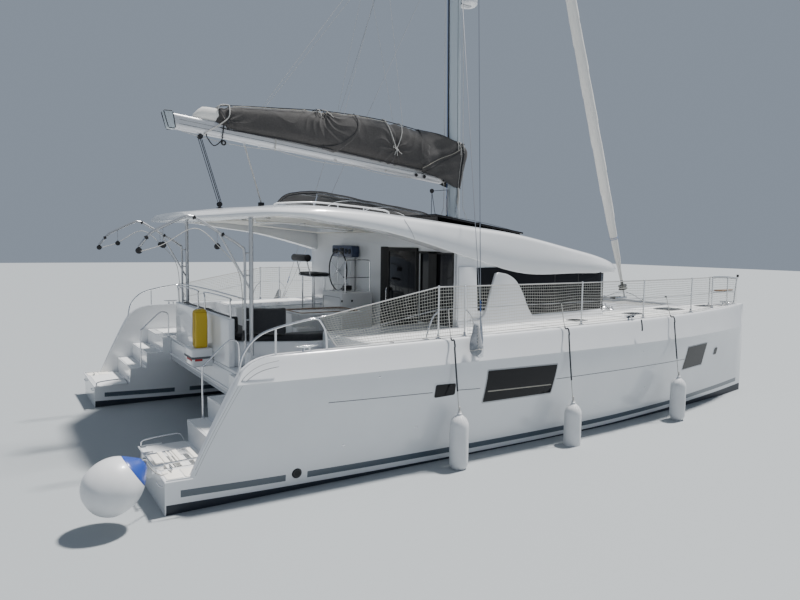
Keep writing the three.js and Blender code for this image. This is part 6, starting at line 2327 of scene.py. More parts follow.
            piece.tube(
                ROPE_WHITE,
                [
                    (x + 0.03 * t, y - 0.02 * sin(3 * t), z + 0.03 * sin(6 * t) - length * t)
                    for t in spread(0, 1, 8)
                ], 0.0085, 6
            )
            piece.ball(ROPE_WHITE if turn < -0.3 else BLACK, (x + 0.02, y, z), (0.02, 0.018, 0.016), 10)
        x, y, z = self.collar_point(-0.31, 0, 0.012)
        for turn, size, length in ((0, 0.016, 0.43), (0.02, 0.01, 0.33)):
            tail = [(x - turn + 0.014 * sin(5 * t), y - turn * 0.5, z - length * t) for t in spread(0, 1, 12)]
            piece.tube(ROPE_WHITE, tail, size, 7)
        thing = piece.done(angle=70)
        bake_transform(thing)

    def lines(self) -> None:
        """Mainsheet with its blocks, its lead, and the lines on the boom."""
        sheet = Piece("mainsheet", "")
        upper = (-4.94, 0, self.middle(-4.94) - 0.165)
        lower = (-4.62, 0, roof_z(-4.62, 0) + 0.085)
        for y, x in ((-0.022, 0), (0.022, 0.01), (0, -0.03), (0, 0.03)):
            line = [(lower[0] + x, y, lower[2] + 0.04), (upper[0] + x, y, upper[2] - 0.04)]
            steps = [between(*line, t) for t in spread(0, 1, 14)]
            sheet.tube(DARK_ROPE_AND_ROPE_SHADE, steps, 0.006, 6)
        rope = sheet.done(angle=60)
        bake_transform(rope)
        lead = Piece("sheet_lead", "")
        head, foot = (-4.17, 0, self.middle(-4.17) - 0.15), (-3.87, 0, roof_z(-3.87, 0) + 0.07)
        for y in (-0.014, 0.014):
            ends = (head[0], y, head[2]), (foot[0], y, foot[2])
            lead.tube(ROPE_WHITE, [between(*ends, t) for t in spread(0, 1, 14)], 0.0085, 7)
        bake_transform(lead.done(angle=60))
        top = Piece("mainsheet_upper_block", "boom")
        low = Piece("mainsheet_lower_block")
        for piece, (x, _, z), flip in ((top, upper, 1), (low, lower, -1)):
            for y in (-0.022, 0.022):
                piece.lathe(
                    BLACK,
                    [
                        (0, -0.017), (0.038, -0.017), (0.043, -0.01), (0.036, 0), (0.043, 0.01),
                        (0.038, 0.017), (0, 0.017)
                    ], (x, y, z), (0, 1, 0), 22
                )
            piece.box(
                BLACK, (x - 0.016, -0.042, min(z, z + flip * 0.055)),
                (x + 0.016, 0.042, max(z, z + flip * 0.055)), 0.006
            )
            piece.rod(STEEL, (x, 0, z + flip * 0.05), (x, 0, z + flip * 0.095), 0.006)
        low.box(
            BLACK, (-3.92, -0.035, roof_z(-3.87, 0) - 0.01), (-3.82, 0.035, roof_z(-3.87, 0) + 0.075), 0.012
        )
        low.box(
            ALLOY, (-4.645, -0.62, roof_z(-4.62, 0.5) - 0.012), (-4.595, 0.62, roof_z(-4.62, 0) + 0.004),
            0.006
        )
        low.box(
            BLACK, (-4.66, -0.07, roof_z(-4.62, 0) - 0.004), (-4.58, 0.07, roof_z(-4.62, 0) + 0.03), 0.008
        )
        top.done(angle=35)
        low.done(angle=35)
        self.reef_line()
        self.lazy_lines()

    def reef_line(self) -> None:
        """Reef line that hangs in shallow loops under the boom."""
        holds = [-5.25, -3.6, -1.95, -0.62]
        points: list[Point] = []
        for a, b in zip(holds, holds[1:]):
            for t in spread(0, 1, 13)[:-1]:
                x = a + (b - a) * t
                points.append((x, -0.03, self.middle(x) - 0.139 - 0.055 * 4 * t * (1 - t)))
        points.append((holds[-1], -0.03, self.middle(holds[-1]) - 0.139))
        length = length_of(points)
        piece = Piece("reef_line", "boom")
        piece.tube(ROPE_WHITE, points, 0.005, 8)
        made = piece.done(angle=60)

    def lazy_lines(self) -> None:
        """Lazy lines from the mast to the bag on both sides."""
        piece = Piece("lazy_lines", "")
        high = 11.8
        for side in (-1, 1):
            knot = (-1.55, side * 0.35, 8.6)
            top = (mast_x(high), side * 0.1, high)
            piece.tube(ROPE_WHITE, [between(top, knot, t) for t in spread(0, 1, 12)], 0.004, 6)
            for x in (-3.85, -2.3, -1):
                foot = (x, side * along(self.bag, 1, x) * 0.62, self.middle(x) + along(self.bag, 3, x) * 0.93)
                piece.tube(ROPE_WHITE, [between(knot, foot, t) for t in spread(0, 1, 10)], 0.003, 5)
        made = piece.done(angle=60)
        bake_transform(made)


@dataclass
class Headsail:
    """The furled headsail with its wraps, drum and swivel."""

    def build(self) -> None:
        """Makes the rolled sail."""
        mast = Mast()
        foot, head = Vector(mast.stay_point(0.012)), Vector(mast.stay_point(0.955))
        direction = (head - foot).normalized()
        length = (head - foot).length
        rows = (
            (0.24, 0.034), (0.55, 0.046), (0.9, 0.072), (2.6, 0.118), (7.5, 0.12), (12.5, 0.096),
            (16.4, 0.058), (length - 0.35, 0.034)
        )
        rings = []
        side = Vector((0, 1, 0))
        up = direction.cross(side).normalized()
        steps = 260
        for i in range(steps + 1):
            d = rows[0][0] + (rows[-1][0] - rows[0][0]) * i / steps
            size = along(rows, 1, d)
            centre = foot + direction * d
            ring = []
            for angle in turns(28):
                turn = (angle - d * 5.2) % (2 * pi)
                lift = 0.1 * size * (turn / (2 * pi))
                wrinkle = 0.012 * size * sin(5 * angle + 9 * d)
                r = size * 0.93 + lift + wrinkle
                ring.append(tuple(centre + (side * cos(angle) + up * sin(angle)) * r))
            rings.append(ring)
        piece = Piece("rolled_headsail", "jib")
        piece.add(loft_part(rings), SAIL)
        piece.add(
            self.spin(
                foot, direction,
                [
                    (0, 0), (0.06, 0), (0.112, 0.01), (0.115, 0.02), (0.075, 0.03), (0.07, 0.085),
                    (0.115, 0.096), (0.113, 0.108), (0.04, 0.122), (0.034, 0.24), (0.03, 0.3), (0, 0.3)
                ]
            ), BLACK
        )
        piece.add(
            self.spin(foot, direction, [(0, 0.035), (0.098, 0.038), (0.1, 0.08), (0, 0.084)]), ROPE_WHITE
        )
        piece.add(
            self.spin(
                foot + direction * (length - 0.45), direction,
                [(0, 0), (0.034, 0), (0.04, 0.03), (0.038, 0.16), (0.028, 0.19), (0.026, 0.44), (0, 0.44)]
            ), BLACK
        )
        ties = [
            tuple(foot + direction * (1.35 + 0.006 * t) + (side * cos(t) + up * sin(t)) * 0.098)
            for t in spread(0, 12.5, 60)
        ]
        piece.tube(ROPE_BLUE, ties, 0.005, 5)
        piece.done(["furled_jib"], angle=50)

    def spin(self, foot: Vector, direction: Vector, profile: Outline) -> Shape:
        """A turned shape on the stay."""
        return lathe_part(profile, tuple(foot), tuple(direction), 28)


@dataclass
class Shrouds:
    """Wires, turnbuckles, chainplates and the padded boots at their feet."""

    foot: Point = (-1.95, -3.905, 1.64)
    inner: Point = (-1.92, -3.905, 1.7)

    def build(self) -> None:
        """Makes the shrouds of both sides."""
        mast = Mast()
        tips = [(mast_x(z) - sweep, -half - 0.018, z + 0.06) for z, half, sweep in mast.spreaders]
        top = (mast_x(19.3), -0.083, 19.3)
        lower = (mast_x(9.7), -0.0985, 9.7)
        for side in Side:
            piece = Piece(f"shroud_wires_{side.word}", side=side)
            cap = [self.foot, *tips, top]
            piece.tube(WIRE, cap, 0.0065, 8)
            piece.rod(WIRE, self.inner, lower, 0.0055, sides=8)
            piece.rod(WIRE, tips[0], (mast_x(14.7), -0.0985, 14.7), 0.0045, sides=6)
            for start, end in ((self.foot, tips[0]), (self.inner, lower)):
                a, b = Vector(start), Vector(end)
                way = (b - a).normalized()
                piece.lathe(
                    STEEL,
                    [
                        (0, 0.06), (0.012, 0.06), (0.014, 0.1), (0.019, 0.12), (0.019, 0.34), (0.014, 0.36),
                        (0.011, 0.4), (0.0075, 0.56), (0, 0.56)
                    ], tuple(a), tuple(way), 14
                )
            plate = rounded(
                [(-1.995, 1.56, 0.02), (-1.905, 1.56, 0.02), (-1.905, 1.745, 0.04), (-1.995, 1.745, 0.04)], 5
            )
            piece.add(prism_part(plate, Plane.XZ, -3.916, -3.846, 0.004), STEEL)
            for z in (1.6, 1.64, 1.7):
                piece.lathe(
                    STEEL, [(0, 0), (0.01, 0), (0.01, 0.005), (0.006, 0.009), (0, 0.009)], (-1.95, -3.916, z),
                    (0, -1, 0), 12
                )
            way = (Vector(tips[0]) - Vector(self.foot)).normalized()
            for d, length, finish in ((0.62, 0.1, ROPE_BLUE), (0.74, 0.05, ROPE_BLUE)):
                a = Vector(self.foot) + way * d
                piece.rod(finish, tuple(a), tuple(a + way * length), 0.01)
            piece.done([f"shrouds_{side.word}"], angle=38)
            self.boot(side)

    def boot(self, side: Side) -> None:
        """Laced padded boot over the turnbuckles."""
        piece = Piece(f"shroud_boot_{side.word}", side=side)
        # height, middle x, half width, half depth
        rows = (
            (1.6, -2.035, 0.03, 0.018), (1.615, -2.037, 0.07, 0.034), (1.66, -2.04, 0.103, 0.046),
            (1.76, -2.04, 0.115, 0.052), (1.86, -2.028, 0.09, 0.048), (1.96, -2.01, 0.06, 0.04),
            (2.04, -2, 0.046, 0.034), (2.07, -1.997, 0.03, 0.022)
        )
        middle = [
            (along(rows, 1, z), self.foot[1] + 0.2 * max(0, z - 1.74), z) for z in spread(1.6, 2.07, 22)
        ]
        rings = []
        for x, y, z in middle:
            wide, deep = along(rows, 2, z), along(rows, 3, z)
            ring = []
            for angle in turns(28):
                bulge = 1 + 0.045 * sin(z * 36) * sin(angle * 2 + 0.5)
                ring.append((x + wide * bulge * cos(angle), y + deep * bulge * sin(angle), z))
            rings.append(ring)
        piece.add(loft_part(rings), GREY_BOOT)
        lace = [
            (x + (0.016 if i % 2 else -0.016), y - along(rows, 3, z) - 0.003, z)
            for i, (x, y, z) in enumerate(middle[2:-1])
        ]
        piece.tube(ROPE_WHITE, lace, 0.003, 5)
        loop = [
            (-2.04 + 0.112 * cos(a), self.foot[1] + 0.053 * sin(a), 1.69 + 0.008 * sin(3 * a))
            for a in turns(28)
        ]
        piece.tube(ROPE_WHITE, loop, 0.006, 6, closed=True)
        made = piece.done(angle=60)


@dataclass
class GuardRails:
    """Pulpit, stanchions, wires, bent aft rail and the nets on them."""

    rail_z: float = 2.61
    drop: float = 0.33
    stanchions: Outline = ((-2.55, RAIL_Y), (-2.07, RAIL_Y), (0.41, RAIL_Y), (2.09, -3.6), (3.69, -3.48))
    pulpit: Sequence[Point] = (
        (4.72, -3.26, 2.61), (5.1, -3.19, 2.605), (5.5, -3.11, 2.59), (5.85, -3.03, 2.565),
        (6.1, -2.965, 2.545), (6.172, -2.915, 2.54), (6.12, -2.872, 2.54), (5.95, -2.848, 2.545),
        (5.35, -2.79, 2.57)
    )
    aft: Sequence[Point] = (
        (-5.53, RAIL_Y, 1.52), (-5.47, RAIL_Y, 1.83), (-5.3, RAIL_Y, 2.04), (-5.04, RAIL_Y, 2.15),
        (-4.53, RAIL_Y, 2.24), (-4.41, RAIL_Y, 2.18), (-4.345, RAIL_Y, 2.02), (-4.33, RAIL_Y, 1.7)
    )

    def top_line(self) -> list[Point]:
        """The upper wire from the aft rail to the pulpit."""
        return [
            (-4.53, RAIL_Y, 2.24), *[(x, y, self.rail_z) for x, y in self.stanchions],
            (4.72, -3.26, self.rail_z)
        ]

    def low_line(self) -> list[Point]:
        """The lower wire."""
        low = self.rail_z - self.drop
        return [(-4.342, RAIL_Y, 1.96), *[(x, y, low) for x, y in self.stanchions], (4.72, -3.26, low)]

    def at(self, line: Sequence[Point], x: float) -> Point:
        """The point of a line at x."""
        for a, b in zip(line, line[1:]):
            if a[0] <= x <= b[0]:
                t = (x - a[0]) / (b[0] - a[0])
                return between(a, b, t)
        return line[-1]

    def build(self) -> None:
        """Makes the rails and nets of both sides."""
        for side in Side:
            self.metal(side)
            self.nets(side)

    def metal(self, side: Side) -> None:
        """Tubes, posts, bases and wires."""
        piece = Piece(f"guard_rail_metal_{side.word}", side=side)
        piece.tube(STEEL, smooth_line(self.pulpit, 5), 0.0135, 12)
        piece.tube(STEEL, smooth_line(self.aft, 5), 0.0145, 12)
        piece.rod(STEEL, (-5.04, RAIL_Y, deck_z(-5.04) - 0.02), (-5.04, RAIL_Y, 2.15), 0.0135)
        posts = [*self.stanchions, (4.72, -3.26)]
        for x, y in posts:
            z = deck_z(x)
            piece.rod(STEEL, (x, y, z - 0.01), (x, y, self.rail_z), 0.0128, 0.0118, 14)
            piece.ball(STEEL, (x, y, self.rail_z + 0.006), (0.014, 0.014, 0.012), 12)
            piece.lathe(
                STEEL,
                [
                    (0, -0.01), (0.046, -0.01), (0.046, 0.006), (0.024, 0.012), (0.019, 0.06), (0.014, 0.064),
                    (0, 0.064)
                ], (x, y, z), UP, 20
            )
            for h in (self.rail_z - 0.001, self.rail_z - self.drop):
                piece.lathe(
                    STEEL, [(0.0128, -0.012), (0.0165, -0.01), (0.0165, 0.01), (0.0128, 0.012)], (x, y, h),
                    UP, 14
                )
        for x, y, dx in ((-2.55, RAIL_Y, -0.2), (-2.07, RAIL_Y, 0.2)):
            z = deck_z(x)
            brace = [
                (x, y, z + 0.4), (x + dx * 0.55, y, z + 0.3), (x + dx, y, z + 0.06), (x + dx, y, z - 0.01)
            ]
            piece.tube(STEEL, smooth_line(brace, 5), 0.0105, 10)
            piece.lathe(
                STEEL, [(0, -0.01), (0.034, -0.01), (0.034, 0.006), (0.012, 0.012), (0, 0.012)],
                (x + dx, y, z), UP, 16
            )
        legs = (
            (5.5, -3.11, (5.5, -3.11, 2.585)), (6.08, -2.92, (6.12, -2.94, 2.54)),
            (5.35, -2.79, (5.35, -2.79, 2.568))
        )
        for x, y, head in legs:
            piece.rod(STEEL, (x, y, deck_z(x) - 0.012), head, 0.0125, sides=14)
            piece.lathe(
                STEEL, [(0, -0.006), (0.04, -0.006), (0.04, 0.008), (0.016, 0.014), (0.014, 0.05), (0, 0.05)],
                (x, y, deck_z(x)), UP, 18
            )
        piece.rod(STEEL, (4.72, -3.26, 2.28), (5.5, -3.11, 2.27), 0.0098)
        piece.rod(STEEL, (5.5, -3.11, 2.27), (6.1, -2.93, 2.24), 0.0098)
        for line in (self.top_line(), self.low_line()):
            for a, b in zip(line, line[1:]):
                piece.rod(WIRE, a, b, 0.0042, sides=8)
            a, b = Vector(line[0]), Vector(line[1])
            way = (b - a).normalized()
            piece.lathe(
                STEEL,
                [(0, 0), (0.008, 0), (0.009, 0.02), (0.009, 0.12), (0.006, 0.14), (0.005, 0.18), (0, 0.18)],
                tuple(a + way * 0.02), tuple(way), 12
            )
        seat = rounded([(5.42, -3.08, 0.04), (6.02, -2.94, 0.04), (6, -2.88, 0.03), (5.4, -2.84, 0.04)], 4)
        piece.add(prism_part(seat, Plane.XY, 2.275, 2.3, 0.006), TIMBER)
        piece.rod(STEEL, (5.35, -2.79, 2.27), (5.5, -3.11, 2.27), 0.0095)
        lamp = (6.175, -2.925, 2.565)
        piece.lathe(
            BLACK, [(0, 0), (0.022, 0), (0.026, 0.01), (0.026, 0.05), (0.018, 0.06), (0, 0.062)], lamp, UP, 16
        )
        piece.done([f"guard_rails_{side.word}"], angle=38)

    def nets(self, side: Side) -> None:
        """Nets laced to the wires, with their edge ropes."""
        top = self.top_line()
        outer = [p for p in smooth_line(self.pulpit, 5)[:22] if 4.8 < p[0] < 6.12]

        def foot(x: float, y: float) -> Point:
            """The net's foot on the deck edge."""
            return (x, y - 0.03, deck_z(x) + 0.035)

        for name, x0, x1, low_x in (("aft", -4.43, -2.1, -4.21), ("waist", -2.04, 4.66, -2.04)):
            count = round((x1 - x0) / 0.047)

            def place(u: float, v: float) -> Point:
                """Along the rail in u, from deck to wire in v."""
                start = x0 + (low_x - x0) * (1 - v) ** 1.4
                x = start + (x1 - start) * u
                crest = self.at(top, x)
                crest = (crest[0], crest[1], crest[2] - 0.008)
                base = foot(x, crest[1])
                sway = (0.016 * sin(4.1 * x) + 0.006 * sin(9.7 * x + 5 * v)) * sin(pi * v)
                dip = 0.01 * sin(5.3 * x) * sin(pi * v)
                point = between(base, crest, v)
                return (point[0], point[1] + sway, point[2] + dip)

            piece = Piece(f"rail_net_{name}_{side.word}", side=side)
            piece.add(net_part(count, 15, place, 0.0062), NET)
            for v, size in ((1, 0.0085), (0, 0.0062)):
                piece.tube(ROPE_WHITE, [place(u, v) for u in spread(0, 1, count // 2)], size, 6)
            if name == "aft":
                piece.tube(ROPE_WHITE, [place(0, v) for v in spread(0, 1, 12)], 0.0085, 6)
            piece.done(angle=60)
        bow = Piece(f"rail_net_bow_{side.word}", side=side)
        path = smooth_line([(4.74, -3.256, 2.6), *outer], 2)
        marks = [0]
        for a, b in zip(path, path[1:]):
            marks.append(marks[-1] + dist(a, b))

        def round_bow(u: float, v: float) -> Point:
            """Along the pulpit in u, from deck to tube in v."""
            d = u * marks[-1]
            k = next((i for i in range(len(marks) - 1) if marks[i + 1] >= d), len(marks) - 2)
            t = (d - marks[k]) / max(1e-6, marks[k + 1] - marks[k])
            crest = between(path[k], path[k + 1], t)
            base = (crest[0], crest[1] - 0.02, deck_z(crest[0]) + 0.04)
            sway = 0.014 * sin(11 * u * 3) * sin(pi * v)
            return (
                crest[0], base[1] + (crest[1] - base[1]) * v + sway, base[2] + (crest[2] - 0.02 - base[2]) * v
            )

        bow.add(net_part(round(marks[-1] / 0.055), 12, round_bow, 0.006), NET)
        bow.tube(ROPE_WHITE, [round_bow(u, 1) for u in spread(0, 1, 24)], 0.0085, 6)
        bow.done(angle=60)


@dataclass
class Foredeck:
    """Non-slip panels, hatches, trampolines, crossbeam, anchor roller and lockers."""

    def build(self) -> None:
        """Makes everything forward of the cabin."""
        self.nonskid()
        self.deck_hatches()
        self.lids()
        self.beam()
        self.trampolines()
        self.anchor_gear()

    def deck_plate(self, outline: Outline) -> Shape:
        """A thin plate that lies on the side deck."""
        bm = prism_part(outline, Plane.XY, 0, NONSKID_THICK)
        for vert in bm.verts:
            vert.co.z += deck_z(vert.co.x)
        return bm

    def nonskid(self) -> None:
        """Panels of non-slip on the side decks, the foredeck and the steps."""
        piece = Piece("non_slip_panels")

        def edge(x: float) -> float:
            """Outer edge of the flat deck."""
            return -HULL_Y - along(STATIONS, 4, x) + 0.145

        spans = (
            (-1.5, -0.42, -2.93), (-0.34, 1.78, -2.93), (1.92, 3.1, -2.55), (3.18, 4.4, -2.42),
            (4.48, 5.55, -2.62)
        )
        for x0, x1, inner in spans:
            if edge(x0) < inner - 0.1:
                outer = [(x, edge(x), 0) for x in spread(x0 + 0.05, x1 - 0.05, 6)][1:-1]
                line = [
                    (x0, edge(x0), 0.05), *outer, (x1, edge(x1), 0.05), (x1, inner, 0.05), (x0, inner, 0.05)
                ]
                piece.both(self.deck_plate(rounded(line, 4)), NONSKID)
        aft = [(-3.55, -3.52, 0.05), (-1.7, -3.56, 0.05), (-1.7, -2.95, 0.05), (-3.55, -2.95, 0.05)]
        piece.both(self.deck_plate(rounded(aft, 4)), NONSKID)
        for y0, y1 in ((-1.25, -0.1), (-2, -1.32)):
            piece.both(self.deck_plate(oblong(2.52, 2.66, y0, y1, 0.04, 4)), NONSKID)
        for (x0, z), x1 in zip(((-6.33, 0.43), (-5.72, 0.72), (-5.42, 1.01)), (-5.8, -5.5, -5.2)):
            tread = oblong(x0, x1, -3.54, -2.16, 0.05, 4)
            piece.both(prism_part(tread, Plane.XY, z, z + NONSKID_THICK), NONSKID)
        piece.done(angle=30)

    def deck_hatches(self) -> None:
        """Flush hatches on the hulls' decks, round vents and deck fillers."""
        piece = Piece("deck_hatches")
        for x, y, half in ((3.75, -2.95, 0.24), (2.45, -3.1, 0.17), (0.75, -3.25, 0.15), (4.95, -2.95, 0.17)):
            z = deck_z(x)
            for grow, low, high, finish in ((0, -0.004, 0.016, ALLOY), (-0.028, 0.012, 0.024, DARK_GLASS)):
                size = half + grow
                plan = oblong(x - size, x + size, y - size * 0.9, y + size * 0.9, 0.045)
                piece.both(prism_part(plan, Plane.XY, z + low, z + high, 0.004), finish)
        for x, y in ((3.04, -1.85), (2.72, -2.3)):
            z = deck_z(x)
            piece.both(
                lathe_part(
                    [
                        (0, 0), (0.085, 0), (0.09, 0.012), (0.075, 0.024), (0.06, 0.026), (0.058, 0.045),
                        (0.07, 0.052), (0.05, 0.07), (0, 0.076)
                    ], (x, y, z), UP, 28
                ), STEEL
            )
        for x, y in ((-3.3, -3.6), (-2.75, -3.6)):
            piece.both(
                lathe_part(
                    [(0, 0.004), (0.03, 0.004), (0.036, 0.001), (0.036, -0.01), (0, -0.01)],
                    (x, y, deck_z(x)), UP, 20
                ), STEEL
            )
        piece.done(angle=32)
        gear = Piece("deck_cleats")
        for x, y, run in (
            (-4.62, RAIL_Y, (1, 0, 0)), (1.66, RAIL_Y, (1, 0, 0)), (5.62, -2.98, (1, -0.05, 0))
        ):
            z = deck_z(x)
            cleat_part(gear, (x, y, z), Vector(UP), Vector(run).normalized(), 0.15)
            cleat_part(gear, (x, -y, z), Vector(UP), Vector((run[0], -run[1], 0)).normalized(), 0.15)
        x = 5.85
        for y in (-2.98, -2.86):
            lip = [
                (x + dx, y, deck_z(x) + h)
                for dx, h in ((-0.1, -0.01), (-0.08, 0.035), (0, 0.05), (0.08, 0.035), (0.1, -0.01))
            ]
            gear.both(tube_part(smooth_line(lip, 4), 0.012, 8), STEEL)
        gear.done(angle=40)
        self.hitches()

    def hitches(self) -> None:
        """Dark rope belayed in figures of eight on the waist cleat."""
        x, y, z = 1.66, RAIL_Y, deck_z(1.66)
        piece = Piece("belayed_rope_waist")
        eights = [
            (x + 0.075 * sin(t), y + 0.03 * sin(2 * t), z + 0.048 + 0.0012 * t + 0.007 * cos(2 * t))
            for t in spread(0, 6 * pi, 150)
        ]
        piece.tube(DARK_ROPE_AND_ROPE_SHADE, eights, 0.0065, 8)
        piece.done(angle=60)

    def lids(self) -> None:
        """Lids of the foredeck lockers and the engine bays with their non-slip insets and pulls."""
        for side in Side:
            for node, x, y in (("locker_lid", 2.83, -0.73), ("engine_lid", -4.98, -2.875)):
                name = f"{node}_{side.word}"
                low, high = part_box(name)
                piece = Piece(f"{node}_dressed_{side.word}", name, side)
                piece.dress(name, GELCOAT, 0.008, 3, 35)
                level = deck_z if node == "locker_lid" else (lambda _: SOLE_Z)
                y0, y1 = (low[1], high[1]) if side is Side.STARBOARD else (-high[1], -low[1])
                inset = oblong(low[0] + 0.05, high[0] - 0.05, y0 + 0.05, y1 - 0.05, 0.04, 4)
                sheet = prism_part(inset, Plane.XY, 0, NONSKID_THICK)
                for vert in sheet.verts:
                    vert.co.z += level(vert.co.x)
                piece.add(sheet, NONSKID)
                piece.lathe(
                    STEEL,
                    [(0, 0.003), (0.022, 0.003), (0.03, 0.005), (0.034, 0.001), (0.034, -0.004), (0, -0.004)],
                    (x, y, level(x)), UP, 20
                )
                piece.done([name], angle=32)

    def beam(self) -> None:
        """Crossbeam with its end fittings, lacing rail, centre beam and the stay's eye."""
        piece = Piece("forward_beam")
        piece.add(frame_part("crossbeam"), ALLOY)
        for y in (-2.72, 2.72):
            piece.lathe(
                ALLOY, [(0.08, -0.05), (0.088, -0.045), (0.088, 0.045), (0.08, 0.05)], (5.95, y, 1.78),
                (0, 1, 0), 28
            )
        for y0, y1 in ((-2.66, -0.2), (0.2, 2.66)):
            piece.rod(STEEL, (5.862, y0, NET_Z), (5.862, y1, NET_Z), 0.007)
        piece.done(["crossbeam"], angle=42)
        gear = Piece("stay_fittings")
        for side in (-1, 1):
            gear.tube(
                WIRE, [(5.95, side * 0.62, 1.855), (5.975, side * 0.3, 1.99), (6, side * 0.035, 2.04)], 0.009,
                8
            )
            gear.box(STEEL, (5.92, side * 0.62 - 0.02, 1.845), (5.98, side * 0.62 + 0.02, 1.9), 0.006)
        gear.done(angle=38)

    def trampolines(self) -> None:
        """Two nets, laced to the beam, the hulls and the foredeck."""
        inner = -0.165
        for side in Side:

            def place(u: float, v: float) -> Point:
                """Forward in u, outboard in v."""
                x = 3.925 + 1.915 * u
                outer = -HULL_Y + min(along(STATIONS, 5, x), INNER_W) + 0.03
                y = inner + (outer - inner) * v
                sag = -0.03 * sin(pi * u) * sin(pi * v)
                return (x, y, NET_Z + sag)

            piece = Piece(f"trampoline_net_{side.word}", side=side)
            piece.add(net_part(46, 54, place, 0.0065), NET_WHITE)
            for end in (0, 1):
                piece.tube(ROPE_WHITE, [place(end, v) for v in spread(0, 1, 24)], 0.011, 8)
            for edge in (0, 1):
                piece.tube(ROPE_WHITE, [place(u, edge) for u in spread(0, 1, 24)], 0.011, 8)
            lacing = []
            for i in range(36):
                y = -0.22 - 2.3 * i / 35
                lacing.append((5.84 if i % 2 else 5.862, y, NET_Z + (0.004 if i % 2 else 0.008)))
            piece.tube(ROPE_WHITE, lacing, 0.004, 5)
            piece.done([f"trampoline_{side.word}"], angle=60)

    def anchor_gear(self) -> None:
        """Bow roller on the centre beam, windlass drum and chain."""
        piece = Piece("anchor_roller")
        piece.box(STEEL, (5.55, -0.1, 1.845), (5.98, -0.085, 1.93), 0.004)
        piece.box(STEEL, (5.55, 0.085, 1.845), (5.98, 0.1, 1.93), 0.004)
        piece.lathe(
            BLACK, [(0, -0.08), (0.045, -0.08), (0.03, -0.02), (0.03, 0.02), (0.045, 0.08), (0, 0.08)],
            (5.72, 0, 1.895), (0, 1, 0), 20
        )
        z = deck_z(3.4)
        piece.lathe(
            STEEL,
            [
                (0, 0), (0.11, 0), (0.115, 0.02), (0.085, 0.04), (0.06, 0.06), (0.075, 0.085), (0.075, 0.1),
                (0.045, 0.115), (0.045, 0.14), (0.065, 0.15), (0.05, 0.165), (0, 0.17)
            ], (3.42, 0, z), UP, 32
        )
        for i, x in enumerate(spread(3.53, 5.66, 60)):
            zc = (deck_z(x) + 0.012 if x < 3.88 else 1.895 + (1.925 - 1.895) * (x - 3.88) / 1.8) + 0.006
            long, wide = 0.024, 0.013
            ring = []
            for a in turns(10):
                if i % 2:
                    ring.append((x + long * cos(a), wide * sin(a), zc))
                else:
                    ring.append((x + long * cos(a), 0, zc + wide * sin(a)))
            piece.tube(WIRE, ring, 0.0045, 6, closed=True)
        piece.done(angle=38)


